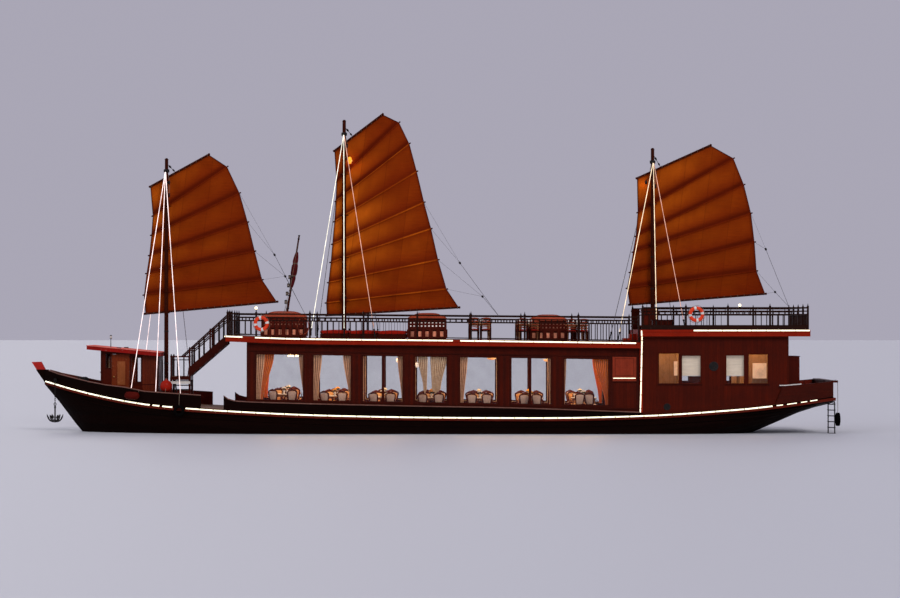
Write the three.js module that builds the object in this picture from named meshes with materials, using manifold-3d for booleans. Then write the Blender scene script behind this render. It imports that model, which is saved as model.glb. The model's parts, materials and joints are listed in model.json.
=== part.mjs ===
// A motor junk of 35 m with three battened sails, two decks and a solid decked hull.
// Sizes are in millimetres. X points to the bow, Y to port and Z up.
// The origin is amidships on the waterline.

import * as THREE from 'three';
import { mergeVertices } from 'three/addons/utils/BufferGeometryUtils.js';
import Module from 'manifold-3d';

const wasm = await Module();
wasm.setup();

// Clearances
const GAP = 0.3; // between pieces that touch
const SWING = 6; // round doors that move
const LATCH = 9; // at a door's free edge, whose corner swings out
const REACH = 6000; // a cutter reaches this far past the boat's side

// Hull lines: smooth curves through [x, value]
const HALF_BEAM = curve([
  [-17350, 2700], [-15400, 2960], [-12000, 3050], [0, 3050], [6000, 3000], [9000, 2850],
  [11000, 2550], [13000, 2050], [14500, 1500], [16000, 800], [16900, 160],
]);
const RUB_LINE = curve([
  [-17350, 1500], [-14700, 1140], [-13200, 985], [-9000, 715], [-4850, 630], [-470, 650],
  [4160, 730], [8970, 940], [12200, 1190], [13600, 1410], [15000, 1690], [16900, 2160],
]);
const KEEL_LINE = curve([
  [-17350, 1200], [-16400, 950], [-15300, 480], [-14200, 0], [-12600, -560], [-10500, -1050],
  [-7500, -1320], [-3000, -1400], [9000, -1400], [11000, -1350], [13000, -1200],
  [14500, -760], [15400, 180], [16200, 1230], [16900, 2060],
]);
const FULLNESS = curve([
  [-17350, 1.6], [-14200, 2.0], [-10500, 2.5], [-3000, 3.0], [6000, 2.8], [11000, 2.0],
  [13000, 1.6], [15400, 1.25], [16900, 1.2],
]);
const HULL = { aft: -17350, fore: 16900, stations: 34, roundSteps: 8, keelHalf: 90 };
const RUB = { below: 80, above: 50, out: 90, deck: 100 };
const STEM = { half: 90, back: 16750 };
const BULWARK = 60; // thickness

// Decks and houses
const SALOON = { aft: -9080, fore: 7820, half: 2750, wall: 80, fascia: 250 };
const UPPER = { aft: -9080, fore: 8710, half: 3000 };
const UPPER_TOP = curve([[-9080, 3920], [-470, 4035], [5530, 4100], [8710, 4215]]);
const AFT_UPPER = { aft: -16320, fore: -9050, half: 3050, top: 4470, thick: 290 };
const AFT_CABIN = { aft: -15400, fore: -9160, half: 2850, wall: 80 };
const WHEELHOUSE = { aft: 11830, fore: 14320, half: 1050, wall: 50 };
const HOUSE_ROOF = { aft: 11700, fore: 14900, half: 1300, thick: 170, aftTop: 3480, foreTop: 3780 };
const LANDING = { aft: 10450, fore: 11350, half: 550, top: 2420, thick: 150 };

// Windows of the saloon as [aft, fore] in x; the sill and the head follow the sheer
const SALOON_WINDOWS = [
  [5355, 7466], [3308, 5012], [1082, 2888], [-797, 632], [-2981, -1286], [-5276, -3487],
  [-7743, -5752],
];
const SILL = (x) => 1310 + 0.0165 * x;
const HEAD = (x) => 3360 + 0.0145 * x;
// Windows of the aft cabin as [aft, fore, head]
const CABIN_WINDOWS = [
  [-10730, -9830, 3470], [-11660, -10820, 3373], [-13520, -12720, 3386], [-14540, -13670, 3430],
];
const CABIN_SILL = 2148;

// Doors
const HINGE = { radius: 14, tab: 70 };
const SALOON_DOOR = { leaf: 600, top: 3100, sill: 60, thick: 40 };
const HOUSE_DOOR = { x: [13060, 13850], z: [1600, 3400], thick: 38 };
const CABIN_DOOR = { y: [-1900, -1100], sill: 150, top: 3300, thick: 40 };

// Underwater gear
const KEEL_BAR = { half: 60, bottom: -1600, aft: -14250, fore: 12800, shoe: 80, pinBed: 20 };
const SHAFT = { z: -1020, radius: 38, bore: 39.4, boss: 95, aft: -12400, fore: -11500 };
const PROPELLER = { x: -12750, radius: 420, hub: 75, blades: 4, bladeHalf: 190 };
const RUDDER = { x: -13350, stock: 50, bore: 56, aft: -14200, fore: -13080, z: [-1500, -450], thick: 70 };

// Masts: x, foot radius, head radius, crosstree height and head height
const MASTS = {
  fore: { x: 11580, foot: 100, head: 75, crosstree: 11460, top: 11940 },
  main: { x: 3760, foot: 110, head: 75, crosstree: 13080, top: 13630 },
  mizzen: { x: -9820, foot: 100, head: 75, crosstree: 11850, top: 12390 },
};
const STAY_RADIUS = 20;
const CROSSTREE = { half: 420, radius: 22 };
// Feet of the stays of one side, in x
const STAY_FEET = { fore: [12950, 11800, 10650], main: [5100, 3640, 2300], mizzen: [-8090, -9750, -10970] };
const STAY_INSET = 160; // from the upper decks' edges

// Sails: corners in [x, z], then each batten from [x, z] on the leech to [x, z] on the luff
const SPAR = { y: -215, batten: 26, yard: 45, rope: 14, beyond: 60, ring: 95 };
const CLOTH_THICK = 12;
const GOOSENECK = { thick: 25, out: 45, clear: 12, seat: 40 }; // the boom's band and its seat on the mast
const SAILS = {
  fore: {
    throat: [12310, 10790], peak: [9760, 12190], clew: [6740, 5700], tack: [12520, 5170],
    battens: [
      [[8940, 11650], [12200, 9500]], [[8390, 10490], [12260, 8650]], [[8030, 9210], [12350, 7750]],
      [[7720, 7930], [12470, 6950]], [[7390, 6670], [12580, 6000]],
    ],
  },
  main: {
    throat: [4190, 12370], peak: [2090, 13960], clew: [-1280, 5450], tack: [4520, 5100],
    battens: [
      [[1350, 13600], [4100, 11000]], [[900, 12670], [4130, 10150]], [[570, 11440], [4190, 9250]],
      [[250, 10080], [4280, 8250]], [[-60, 8920], [4350, 7450]], [[-370, 7550], [4450, 6550]],
      [[-740, 6260], [4550, 5650]],
    ],
  },
  mizzen: {
    throat: [-9160, 11160], peak: [-12370, 12600], clew: [-14790, 6050], tack: [-8830, 5570],
    battens: [
      [[-13400, 12020], [-9190, 9650]], [[-13860, 10860], [-9100, 8600]], [[-14170, 9600], [-8980, 7900]],
      [[-14320, 8330], [-8850, 7000]], [[-14410, 7060], [-8720, 6300]],
    ],
  },
};

// Deck gear
const HELM = { x: 13850, z: 2320, shaft: 20, bore: 21 };
const WINDLASS = {
  x: 15200, z: 2250, base: [1500, 1970], cheeks: [-360, 300], drum: 95, flange: 140,
  ends: [-525, -230, 230, 525],
};
const ANCHOR = { x: 16350, y: 760, z: [420, 1180], flukes: 6, chainTop: 2240 };
const SIGNAL = { from: [6450, 0, 4050], to: [5740, 0, 8600], radius: 55 };

// Railings: the rails' heights are under the top rail, the foot rail's over the deck
const RAIL = {
  deep: 60, wide: 60, slat: 45, second: 150, third: 290, foot: 90, post: 80, finial: 170,
  pitch: 250, baluster: 36,
};
const UPPER_RAIL_TOP = (x) => 5115 + 0.0085 * x;
const UPPER_RAILING = {
  line: 2930, corner: 8630, aftEnd: -8990, way: 680, crossPosts: [1800],
  posts: [7400, 5100, 2800, 500, -1800, -4100, -6400],
};
const AFT_RAILING = {
  line: 2980, fore: -9150, rear: -16220, top: 5440, foot: 200, posts: [-11000, -12800, -14600],
  rearPosts: [-1500, 0, 1500],
};

// Furniture: dining sets, and booths as [middle x, half length]
const CHAIR = { half: 210, seat: 460, back: 980, thick: 60 };
const MAT = 20; // floor covering that carries the seats
const SALOON_SET = { length: 1100, width: 800, reach: 640 };
const SALOON_SEATING = {
  y: 1500, half: 2500, x: [-9060, 7300], sets: [6300, 4100, 2000, -100, -2200, -4400, -6700],
};
const UPPER_SET = { length: 1000, width: 700, reach: 540 };
const UPPER_SEATING = {
  y: 1700, strip: [900, 2700], x: [-8400, 5200], sets: [-2200, -4300, -6400],
};
const BENCH = { x: [1000, 4700], y: [2240, 2640], seat: 360 };
const BOOTHS = [[6390, 1000], [100, 880], [-5200, 860]];
const BOOTH = { half: 600, body: 880, top: 1150 };

// Finishes as [colour, roughness, metalness]
const FINISH = {
  hull: [0x0c0a0b, 0.45, 0], rail: [0x3a120c, 0.5, 0], house: [0x4a1610, 0.55, 0],
  fascia: [0x7a2014, 0.55, 0], roof: [0xa04a40, 0.5, 0], spar: [0x24120c, 0.6, 0],
  sail: [0x8a4316, 0.85, 0], stay: [0xe8d9b4, 0.4, 0], glass: [0x2a2018, 0.08, 0],
  metal: [0x3c3c3e, 0.45, 0.8], bronze: [0x8f6a35, 0.35, 0.9], red: [0xb02820, 0.5, 0],
  door: [0x94481c, 0.5, 0], booth: [0xb86a48, 0.6, 0], seat: [0x5a2c18, 0.6, 0],
};

/** A smooth line through [x, value] pairs that never overshoots them. */
function curve(points) {
  const rise = points.slice(1).map(([x, v], i) => (v - points[i][1]) / (x - points[i][0]));
  const slope = points.map((_, i) => {
    if (i === 0) return rise[0];
    if (i === points.length - 1) return rise[i - 1];
    if (rise[i - 1] * rise[i] <= 0) return 0;
    return 2 / (1 / rise[i - 1] + 1 / rise[i]);
  });
  return (x) => {
    let i = 0;
    while (i < points.length - 2 && x > points[i + 1][0]) i += 1;
    const [x0, v0] = points[i];
    const [x1, v1] = points[i + 1];
    const span = x1 - x0;
    const t = Math.min(Math.max((x - x0) / span, 0), 1);
    const u = 1 - t;
    return v0 * u * u * (1 + 2 * t) + v1 * t * t * (3 - 2 * t)
      + span * t * u * (slope[i] * u - slope[i + 1] * t);
  };
}

/** A geometry's points merged by place, as a solid that can be cut and joined. */
function solid(geometry) {
  const bare = geometry.clone();
  bare.deleteAttribute('normal');
  bare.deleteAttribute('uv');
  const merged = mergeVertices(bare, 0.01);
  const corners = merged.index.array;
  const faces = [];
  for (let i = 0; i < corners.length; i += 3) {
    const [a, b, c] = [corners[i], corners[i + 1], corners[i + 2]];
    if (a !== b && b !== c && c !== a) faces.push(a, b, c);
  }
  return new wasm.Manifold(new wasm.Mesh({
    numProp: 3,
    vertProperties: Float32Array.from(merged.attributes.position.array),
    triVerts: Uint32Array.from(faces),
  }));
}

function shapeOf(manifold) {
  const mesh = manifold.getMesh();
  const geometry = new THREE.BufferGeometry();
  geometry.setAttribute('position', new THREE.BufferAttribute(Float32Array.from(mesh.vertProperties), 3));
  geometry.setIndex(new THREE.BufferAttribute(Uint32Array.from(mesh.triVerts), 1));
  return geometry;
}

/** Several overlapping shapes as one. */
function join(...shapes) {
  return shapeOf(shapes.flat().map(solid).reduce((whole, next) => whole.add(next)));
}

/** A shape less its cutters. */
function cut(shape, ...cutters) {
  return shapeOf(cutters.flat().map(solid).reduce((left, next) => left.subtract(next), solid(shape)));
}

/** The same shape on the other side of the boat's middle. */
function mirrored(shape) {
  const other = shape.index ? shape.toNonIndexed() : shape.clone();
  const p = other.attributes.position;
  for (let i = 0; i < p.count; i += 3) {
    const [x, y, z] = [p.getX(i + 1), p.getY(i + 1), p.getZ(i + 1)];
    p.setXYZ(i + 1, p.getX(i + 2), p.getY(i + 2), p.getZ(i + 2));
    p.setXYZ(i + 2, x, y, z);
  }
  return other.scale(1, -1, 1);
}

function bothSides(shape) {
  return [shape, mirrored(shape)];
}

function block([x0, x1], [y0, y1], [z0, z1]) {
  return new THREE.BoxGeometry(x1 - x0, y1 - y0, z1 - z0)
    .translate((x0 + x1) / 2, (y0 + y1) / 2, (z0 + z1) / 2);
}

function extruded(points, depth, holes = []) {
  const outline = (list) => new THREE.Shape(list.map(([u, v]) => new THREE.Vector2(u, v)));
  const body = new THREE.ExtrudeGeometry(outline(points), { depth, bevelEnabled: false });
  if (holes.length === 0) return body;
  const through = { depth: depth + 20, bevelEnabled: false };
  return cut(body, ...holes.map((hole) => new THREE.ExtrudeGeometry(outline(hole), through)
    .translate(0, 0, -10)));
}

/** A side outline in [x, z] with a thickness in y. */
function sidePlate(points, [y0, y1], holes) {
  return extruded(points, y1 - y0, holes).rotateX(Math.PI / 2).translate(0, y1, 0);
}

/** A plan outline in [x, y] with a thickness in z. */
function deckPlate(points, [z0, z1], holes) {
  return extruded(points, z1 - z0, holes).translate(0, 0, z0);
}

/** A cross outline in [y, z] with a length in x. */
function crossPlate(points, [x0, x1], holes) {
  const turn = new THREE.Matrix4().makeBasis(
    new THREE.Vector3(0, 1, 0), new THREE.Vector3(0, 0, 1), new THREE.Vector3(1, 0, 0),
  );
  return extruded(points, x1 - x0, holes).applyMatrix4(turn).translate(x0, 0, 0);
}

/** A round bar between two points, tapered if its end has another radius. */
function rod(from, to, radius, sides = 8, endRadius = radius) {
  const start = new THREE.Vector3(...from);
  const end = new THREE.Vector3(...to);
  const axis = end.clone().sub(start);
  const turn = new THREE.Quaternion()
    .setFromUnitVectors(new THREE.Vector3(0, 1, 0), axis.clone().normalize());
  const middle = start.add(end).multiplyScalar(0.5);
  return new THREE.CylinderGeometry(endRadius, radius, axis.length(), sides)
    .applyQuaternion(turn).translate(middle.x, middle.y, middle.z);
}

/** A body through sections of [x, y, z] points, all with the same count, in order of x. */
function loft(sections) {
  const area = (ring) => ring.reduce((sum, [, y, z], i) => {
    const [, nextY, nextZ] = ring[(i + 1) % ring.length];
    return sum + y * nextZ - nextY * z;
  }, 0);
  const rings = [...sections].sort((a, b) => a[0][0] - b[0][0])
    .map((ring) => (area(ring) < 0 ? [...ring].reverse() : ring));
  const count = rings[0].length;
  const faces = [];
  for (let i = 0; i < rings.length - 1; i += 1) {
    for (let j = 0; j < count; j += 1) {
      const a = i * count + j;
      const b = i * count + ((j + 1) % count);
      faces.push(a, b, b + count, a, b + count, a + count);
    }
  }
  const cap = (ring, first, facing) => {
    const flat = ring.map(([, y, z]) => new THREE.Vector2(y, z));
    for (const [a, b, c] of THREE.ShapeUtils.triangulateShape(flat, [])) {
      const [p, q, r] = [flat[a], flat[b], flat[c]];
      const turn = (q.x - p.x) * (r.y - p.y) - (q.y - p.y) * (r.x - p.x);
      const order = turn * facing > 0 ? [a, b, c] : [a, c, b];
      faces.push(...order.map((corner) => corner + first));
    }
  };
  cap(rings[0], 0, -1);
  cap(rings.at(-1), (rings.length - 1) * count, 1);
  const geometry = new THREE.BufferGeometry();
  geometry.setAttribute('position', new THREE.Float32BufferAttribute(rings.flat(2), 3));
  geometry.setIndex(faces);
  return geometry;
}

const group = new THREE.Group();

function addPart(name, shape, [color, roughness, metalness]) {
  const mesh = new THREE.Mesh(shape, new THREE.MeshStandardMaterial({ color, roughness, metalness }));
  mesh.name = name;
  group.add(mesh);
}

// Hull stations lie closer together towards the ends
const STATIONS = Array.from({ length: HULL.stations + 1 }, (_, i) => {
  const t = (2 * i) / HULL.stations - 1;
  const spread = 0.6 * t + 0.4 * Math.sin((Math.PI * t) / 2);
  return (HULL.aft + HULL.fore) / 2 + (spread * (HULL.fore - HULL.aft)) / 2;
});

/** The stations from x0 to x1 with both ends and any extra places. */
function stationsBetween(x0, x1, extra = []) {
  const all = [x0, ...STATIONS, ...extra, x1].filter((x) => x >= x0 && x <= x1);
  return [...new Set(all)].sort((a, b) => a - b).filter((x, i, list) => i === 0 || x - list[i - 1] > 1);
}

/** A value that runs straight from station to station, as the hull's faces do. */
function faired(line) {
  const values = STATIONS.map(line);
  return (x) => {
    let i = 0;
    while (i < STATIONS.length - 2 && x > STATIONS[i + 1]) i += 1;
    const t = (x - STATIONS[i]) / (STATIONS[i + 1] - STATIONS[i]);
    return values[i] + t * (values[i + 1] - values[i]);
  };
}

const beamAt = faired(HALF_BEAM);
const deckAt = faired((x) => RUB_LINE(x) + RUB.deck);

/** A prism under the deck line, raised by the gap, to fit pieces to the deck. */
function underDeck() {
  const line = STATIONS.map((x) => [x, deckAt(x) + GAP]);
  return sidePlate([[HULL.aft, -3000], ...line, [HULL.fore, -3000]], [-REACH, REACH]);
}

/** The outline of a wall that stands on the deck and ends at a height. */
function onDeck(x0, x1, topAt, extra = []) {
  const places = stationsBetween(x0, x1, extra);
  const foot = places.map((x) => [x, deckAt(x) + GAP]);
  const head = places.map((x) => [x, topAt(x)]).reverse();
  return [...foot, ...head];
}

function hull() {
  const section = (x) => {
    const half = [];
    const beam = HALF_BEAM(x);
    const rub = RUB_LINE(x);
    const keel = KEEL_LINE(x);
    const start = rub - RUB.below;
    half.push([x, beam, rub + RUB.deck], [x, beam, rub + RUB.above], [x, beam, start]);
    for (let i = 1; i <= HULL.roundSteps; i += 1) {
      const angle = (i / HULL.roundSteps) * (Math.PI / 2);
      const power = 2 / FULLNESS(x);
      const y = Math.max(beam * Math.cos(angle) ** power, HULL.keelHalf * (2 - i / HULL.roundSteps));
      half.push([x, Math.min(y, beam), start - (start - keel) * Math.sin(angle) ** power]);
    }
    return [...half, ...half.map(([sx, y, z]) => [sx, -y, z]).reverse()];
  };
  const body = loft(STATIONS.map(section));
  const stem = sidePlate(
    [[16300, 1500], [16900, 2135], [17300, 2720], [STEM.back, 2720], [STEM.back, 2150], [16300, 2050]],
    [-STEM.half, STEM.half],
  );
  const keel = sidePlate(
    [
      [SHAFT.aft, KEEL_BAR.bottom + KEEL_BAR.shoe], [SHAFT.aft, -450], [-9000, -1000], [0, -1300],
      [11000, -1250], [14300, -700], [15000, -330], [14400, -860], [13300, -1400],
      [KEEL_BAR.fore, KEEL_BAR.bottom], [SHAFT.aft, KEEL_BAR.bottom],
    ],
    [-KEEL_BAR.half, KEEL_BAR.half],
  );
  const shoe = block(
    [KEEL_BAR.aft, SHAFT.aft + 300], [-KEEL_BAR.half, KEEL_BAR.half],
    [KEEL_BAR.bottom, KEEL_BAR.bottom + KEEL_BAR.shoe],
  );
  const boss = rod([SHAFT.aft, 0, SHAFT.z], [SHAFT.fore, 0, SHAFT.z], SHAFT.boss, 12);
  const bore = rod([SHAFT.aft - 50, 0, SHAFT.z], [SHAFT.aft + 400, 0, SHAFT.z], SHAFT.bore, 16);
  const trunk = rod([RUDDER.x, 0, -1000], [RUDDER.x, 0, 200], RUDDER.bore, 16);
  const heel = rod([RUDDER.x, 0, KEEL_BAR.bottom + KEEL_BAR.pinBed], [RUDDER.x, 0, -1400], 36, 12);
  return cut(join(body, stem, keel, shoe, boss), bore, trunk, heel);
}

function rubRail() {
  const section = (x, side) => {
    const y = beamAt(x) + GAP;
    const rub = faired(RUB_LINE)(x);
    const ring = [
      [x, y, rub - RUB.below + 1], [x, y + RUB.out, rub - RUB.below + 20],
      [x, y + RUB.out, rub + RUB.above - 20], [x, y, rub + RUB.above],
    ];
    return ring.map(([sx, sy, sz]) => [sx, side * sy, sz]);
  };
  const places = stationsBetween(HULL.aft - 60, 16850);
  const sides = [1, -1].map((side) => loft(places.map((x) => section(x, side))));
  const rub = RUB_LINE(HULL.aft);
  const stern = block(
    [HULL.aft - RUB.out, HULL.aft - GAP], [-beamAt(HULL.aft) - RUB.out, beamAt(HULL.aft) + RUB.out],
    [rub - RUB.below + 5, rub + RUB.above],
  );
  return join(...sides, stern);
}

/** A bulwark of one side, flush with the hull's side. */
function bulwarkSide(x0, x1, topAt, extra) {
  return loft(stationsBetween(x0, x1, extra).map((x) => {
    const y = beamAt(x);
    const z = deckAt(x) + GAP;
    return [[x, y, z], [x, y, topAt(x)], [x, y - BULWARK, topAt(x)], [x, y - BULWARK, z]];
  }));
}

function bulwarks() {
  const bowTop = curve([
    [9790, 1650], [10800, 1720], [11700, 1765], [12300, 1810], [12950, 1950], [14300, 2110],
    [15500, 2365], [16100, 2490], [16700, 2680], [16900, 2720],
  ]);
  const bow = bulwarkSide(9790, 16890, bowTop);
  const breasthook = deckPlate(
    [[16300, 560], [STEM.back - GAP, 200], [STEM.back - GAP, -200], [16300, -560]], [2380, 2480],
  );
  addPart('bulwark_bow', join(...bothSides(bow), breasthook), FINISH.hull);

  const midTop = curve([
    [-9100, 930], [-7700, 980], [-3500, 1120], [400, 1190], [7700, 1370], [8200, 1400],
    [8600, 1490], [8800, 1630],
  ]);
  const port = bulwarkSide(-9060, 8800, midTop, [7700, 8200, 8400, 8600]);
  addPart('bulwark_port', port, FINISH.hull);
  addPart('bulwark_starboard', mirrored(port), FINISH.hull);

  const sternTop = curve([[-17350, 2260], [-16300, 2160], [-15250, 2070]]);
  const side = cut(
    bulwarkSide(HULL.aft, -14840, sternTop),
    sidePlate([[-14840, 1300], [-15250, 2300], [-14000, 2400], [-14000, 1000]], [0, REACH]),
  );
  const half = beamAt(HULL.aft);
  const transom = block(
    [HULL.aft, HULL.aft + BULWARK], [-half + 5, half - 5], [deckAt(HULL.aft) + GAP, 2250],
  );
  const cap = block([HULL.aft - 200, HULL.aft + 100], [-half, half], [2200, 2280]);
  const stern = cut(join(...bothSides(side), transom, cap), underDeck());
  addPart('bulwark_stern', stern, FINISH.rail);
}

function stemHead() {
  const foot = 2720 + GAP;
  return sidePlate([[16890, foot], [17270, foot], [17490, 3050], [17070, 3060]], [-100, 100]);
}

function rudder() {
  const { x, stock, z, thick } = RUDDER;
  const blade = deckPlate(
    [[RUDDER.fore, 0], [x, thick / 2], [-13700, thick / 2], [RUDDER.aft, 8], [RUDDER.aft, -8],
      [-13700, -thick / 2], [x, -thick / 2]],
    z,
  );
  const post = rod([x, 0, z[0] + 20], [x, 0, 150], stock, 12);
  const pin = rod([x, 0, KEEL_BAR.bottom + KEEL_BAR.pinBed + GAP], [x, 0, z[0] + 60], 30, 12);
  return join(blade, post, pin);
}

function propeller() {
  const { x, radius, hub, blades, bladeHalf } = PROPELLER;
  const shapes = [
    rod([x + 130, 0, 0], [x - 110, 0, 0], hub, 12),
    rod([x - 109, 0, 0], [x - 200, 0, 0], hub, 12, 18),
    rod([x, 0, 0], [SHAFT.aft + 395, 0, 0], SHAFT.radius, 12),
  ];
  for (let i = 0; i < blades; i += 1) {
    const blade = new THREE.CylinderGeometry(bladeHalf, bladeHalf, 22, 12)
      .scale(0.75, 1, 1).rotateZ(Math.PI / 2).translate(0, 0, radius - bladeHalf);
    const lean = new THREE.Matrix4().makeRotationZ(THREE.MathUtils.degToRad(32));
    const place = new THREE.Matrix4().makeRotationX((i / blades) * 2 * Math.PI);
    shapes.push(blade.applyMatrix4(lean).applyMatrix4(place).translate(x, 0, 0));
  }
  return join(...shapes).translate(0, 0, SHAFT.z);
}

/** Two hinge knuckles up a door's edge: round barrels on the axis, with tabs onto the leaf. */
function knuckles(axis, tab, [low, high]) {
  return [low + 250, high - 250].flatMap((z) => [
    rod([...axis, z - 55], [...axis, z + 55], HINGE.radius, 8),
    block(...tab, [z - 45, z + 45]),
  ]);
}

/** The underside of the wheelhouse roof. */
function roofUnder(x) {
  const { aft, fore, aftTop, foreTop, thick } = HOUSE_ROOF;
  return aftTop + ((x - aft) / (fore - aft)) * (foreTop - aftTop) - thick;
}

function wheelhouse() {
  const { aft, fore, half, wall } = WHEELHOUSE;
  const head = (x) => roofUnder(x) - GAP;
  const hole = (x0, x1, z0, z1) => [[x0, z0], [x1, z0], [x1, z1], [x0, z1]];
  const door = hole(...HOUSE_DOOR.x, HOUSE_DOOR.z[0] - SWING, HOUSE_DOOR.z[1] + SWING);
  const openings = [hole(13900, 14100, 2800, 3460), door, hole(12550, 12980, 2150, 3260)];
  const side = sidePlate(onDeck(aft, fore, head), [half - wall, half], openings);
  addPart('wheelhouse_side_port', side, FINISH.house);
  addPart('wheelhouse_side_starboard', mirrored(side), FINISH.house);

  const inner = half - wall - GAP;
  const panel = (y0, y1) => [[y0, 2700], [y1, 2700], [y1, 3440], [y0, 3440]];
  const frontTop = head(fore - wall);
  const front = crossPlate(
    [[-inner, 1500], [inner, 1500], [inner, frontTop], [-inner, frontTop]], [fore - wall, fore],
    [panel(-900, -340), panel(-280, 280), panel(340, 900)],
  );
  addPart('wheelhouse_front', cut(front, underDeck()), FINISH.house);
  const rearTop = head(aft);
  const rear = crossPlate(
    [[-inner, 1000], [inner, 1000], [inner, rearTop], [-inner, rearTop]], [aft, aft + wall],
  );
  addPart('wheelhouse_rear', cut(rear, underDeck()), FINISH.house);

  const { foreTop, aftTop, thick } = HOUSE_ROOF;
  const roof = sidePlate(
    [[HOUSE_ROOF.aft, aftTop - thick], [HOUSE_ROOF.fore, foreTop - thick], [HOUSE_ROOF.fore, foreTop],
      [HOUSE_ROOF.aft, aftTop]],
    [-HOUSE_ROOF.half, HOUSE_ROOF.half],
  );
  addPart('wheelhouse_roof', roof, FINISH.roof);

  const { x: [hinged, free], z: span, thick: board } = HOUSE_DOOR;
  const face = half - SWING;
  const pivot = half + GAP + HINGE.radius;
  const leaf = join(
    block([hinged + SWING, free - LATCH], [face - board, face], span),
    ...knuckles([hinged, pivot], [[hinged + 1, hinged + HINGE.tab], [face - 5, pivot]], span),
  );
  addPart('wheelhouse_door_port', leaf, FINISH.door);
  addPart('wheelhouse_door_starboard', mirrored(leaf), FINISH.door);
}

function helm() {
  const console = cut(
    join(
      block([13920, 14200], [-450, 450], [1400, 2560]),
      sidePlate([[13920, 2500], [14200, 2500], [14200, 2700], [14080, 2700]], [-450, 450]),
    ),
    underDeck(),
    rod([13900, 0, HELM.z], [14080, 0, HELM.z], HELM.bore, 16),
  );
  addPart('helm_console', console, FINISH.door);
  const rim = new THREE.TorusGeometry(330, 20, 4, 12).rotateY(Math.PI / 2);
  const shapes = [rim, rod([-30, 0, 0], [35, 0, 0], 70, 10), rod([20, 0, 0], [180, 0, 0], HELM.shaft, 8)];
  for (let i = 0; i < 4; i += 1) {
    const angle = (i / 4) * Math.PI;
    const y = 420 * Math.cos(angle);
    const z = 420 * Math.sin(angle);
    shapes.push(rod([0, -y, -z], [0, y, z], 14, 4));
  }
  addPart('helm_wheel', join(...shapes).translate(HELM.x, 0, HELM.z), FINISH.door);
}

function windlass() {
  const { x, z, base, cheeks, drum, flange, ends } = WINDLASS;
  const shapes = [block([x - 250, x + 250], [-430, 430], base)];
  for (const y of cheeks) {
    const side = [[x - 150, base[1] - 40], [x + 150, base[1] - 40], [x + 70, z + 110], [x - 70, z + 110]];
    shapes.push(sidePlate(side, [y, y + 60]));
  }
  shapes.push(rod([x, ends[0], z], [x, ends.at(-1), z], drum, 10));
  for (const y of ends) shapes.push(rod([x, y - 20, z], [x, y + 20, z], flange, 10));
  return cut(join(...shapes), underDeck());
}

/** A grapnel that hangs by its chain on the port bow. */
function anchor() {
  const { x, y, z: [low, high], flukes, chainTop } = ANCHOR;
  const shapes = [
    rod([x, y, low], [x, y, high], 32, 6), rod([x, y, high - 30], [x, y, chainTop], 20, 6),
    block([x - 40, x + 40], [beamAt(x - 40) + GAP, y + 30], [chainTop - 20, chainTop + 60]),
  ];
  for (let i = 0; i < flukes; i += 1) {
    const angle = (i / flukes) * 2 * Math.PI;
    const at = (reach, rise) => [x + reach * Math.cos(angle), y + reach * Math.sin(angle), low + rise];
    shapes.push(rod(at(0, 20), at(230, 100), 24, 4), rod(at(215, 85), at(360, 340), 24, 4, 12));
  }
  return join(...shapes);
}

function stairs() {
  const { aft, fore, half, top, thick } = LANDING;
  const deck = block([aft, fore], [-half, half], [top - thick, top]);
  const shapes = [deck];
  const flight = [
    [10550, 2270], [10550, 2500], [8880, 3950], [UPPER.fore + GAP, 3950],
    [UPPER.fore + GAP, 4205], [8930, 4205], [10550, 2800], [10600, 2420], [10600, 2270],
  ];
  const treads = 8;
  for (const side of [-1, 1]) {
    const y = side * (half - 30);
    shapes.push(sidePlate(flight, [y - 25, y + 25]));
    shapes.push(rod([10860, y, 3280], [8760, y, 5190], 28, 6));
    for (const [x, z] of [[10500, 3590], [9600, 4410], [8780, 5160]]) {
      shapes.push(block([x - 35, x + 35], [y - 35, y + 35], [z - 1150, z + 40]));
    }
    for (const x of [aft + 45, fore - 45]) {
      shapes.push(block([x - 45, x + 45], [y - 45, y + 45], [1000, top - 20]));
      shapes.push(block([x - 35, x + 35], [y - 35, y + 35], [top - 20, 3320]));
    }
    if (side > 0) shapes.push(block([aft, fore], [y - 30, y + 30], [3260, 3320]));
  }
  shapes.push(block([fore - 75, fore - 15], [-half, half], [3260, 3320]));
  for (let i = 1; i <= treads; i += 1) {
    const z = top + (i * (4190 - top)) / (treads + 1);
    const x = 10550 - ((i - 0.5) * (10550 - 8760)) / treads;
    shapes.push(block([x - 130, x + 130], [-half + 20, half - 20], [z - 40, z]));
  }
  const steps = 5;
  for (let i = 1; i <= steps; i += 1) {
    const z = top - (i * (top - 1230)) / (steps + 1);
    const y = -half - (i - 0.5) * 240;
    shapes.push(block([10520, 11280], [y - 125, y + 125], [z - 40, z]));
  }
  for (const x of [10520, 11240]) {
    const run = [[-half + 20, 2290], [-half + 20, 2400], [-half - 240 * steps, 1240 + 150],
      [-half - 240 * steps, 1000], [-half - 240 * steps + 190, 1000]];
    shapes.push(crossPlate(run, [x, x + 40]));
  }
  return cut(join(...shapes), underDeck());
}

const upperAt = (x) => UPPER_TOP(x);
const UPPER_PLACES = Array.from({ length: 15 }, (_, i) => UPPER.aft + (i * (UPPER.fore - UPPER.aft)) / 14);

/** A value along the upper deck that runs straight between its places. */
function upperTop(x) {
  let i = 0;
  while (i < UPPER_PLACES.length - 2 && x > UPPER_PLACES[i + 1]) i += 1;
  const [x0, x1] = [UPPER_PLACES[i], UPPER_PLACES[i + 1]];
  return upperAt(x0) + ((x - x0) / (x1 - x0)) * (upperAt(x1) - upperAt(x0));
}

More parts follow.
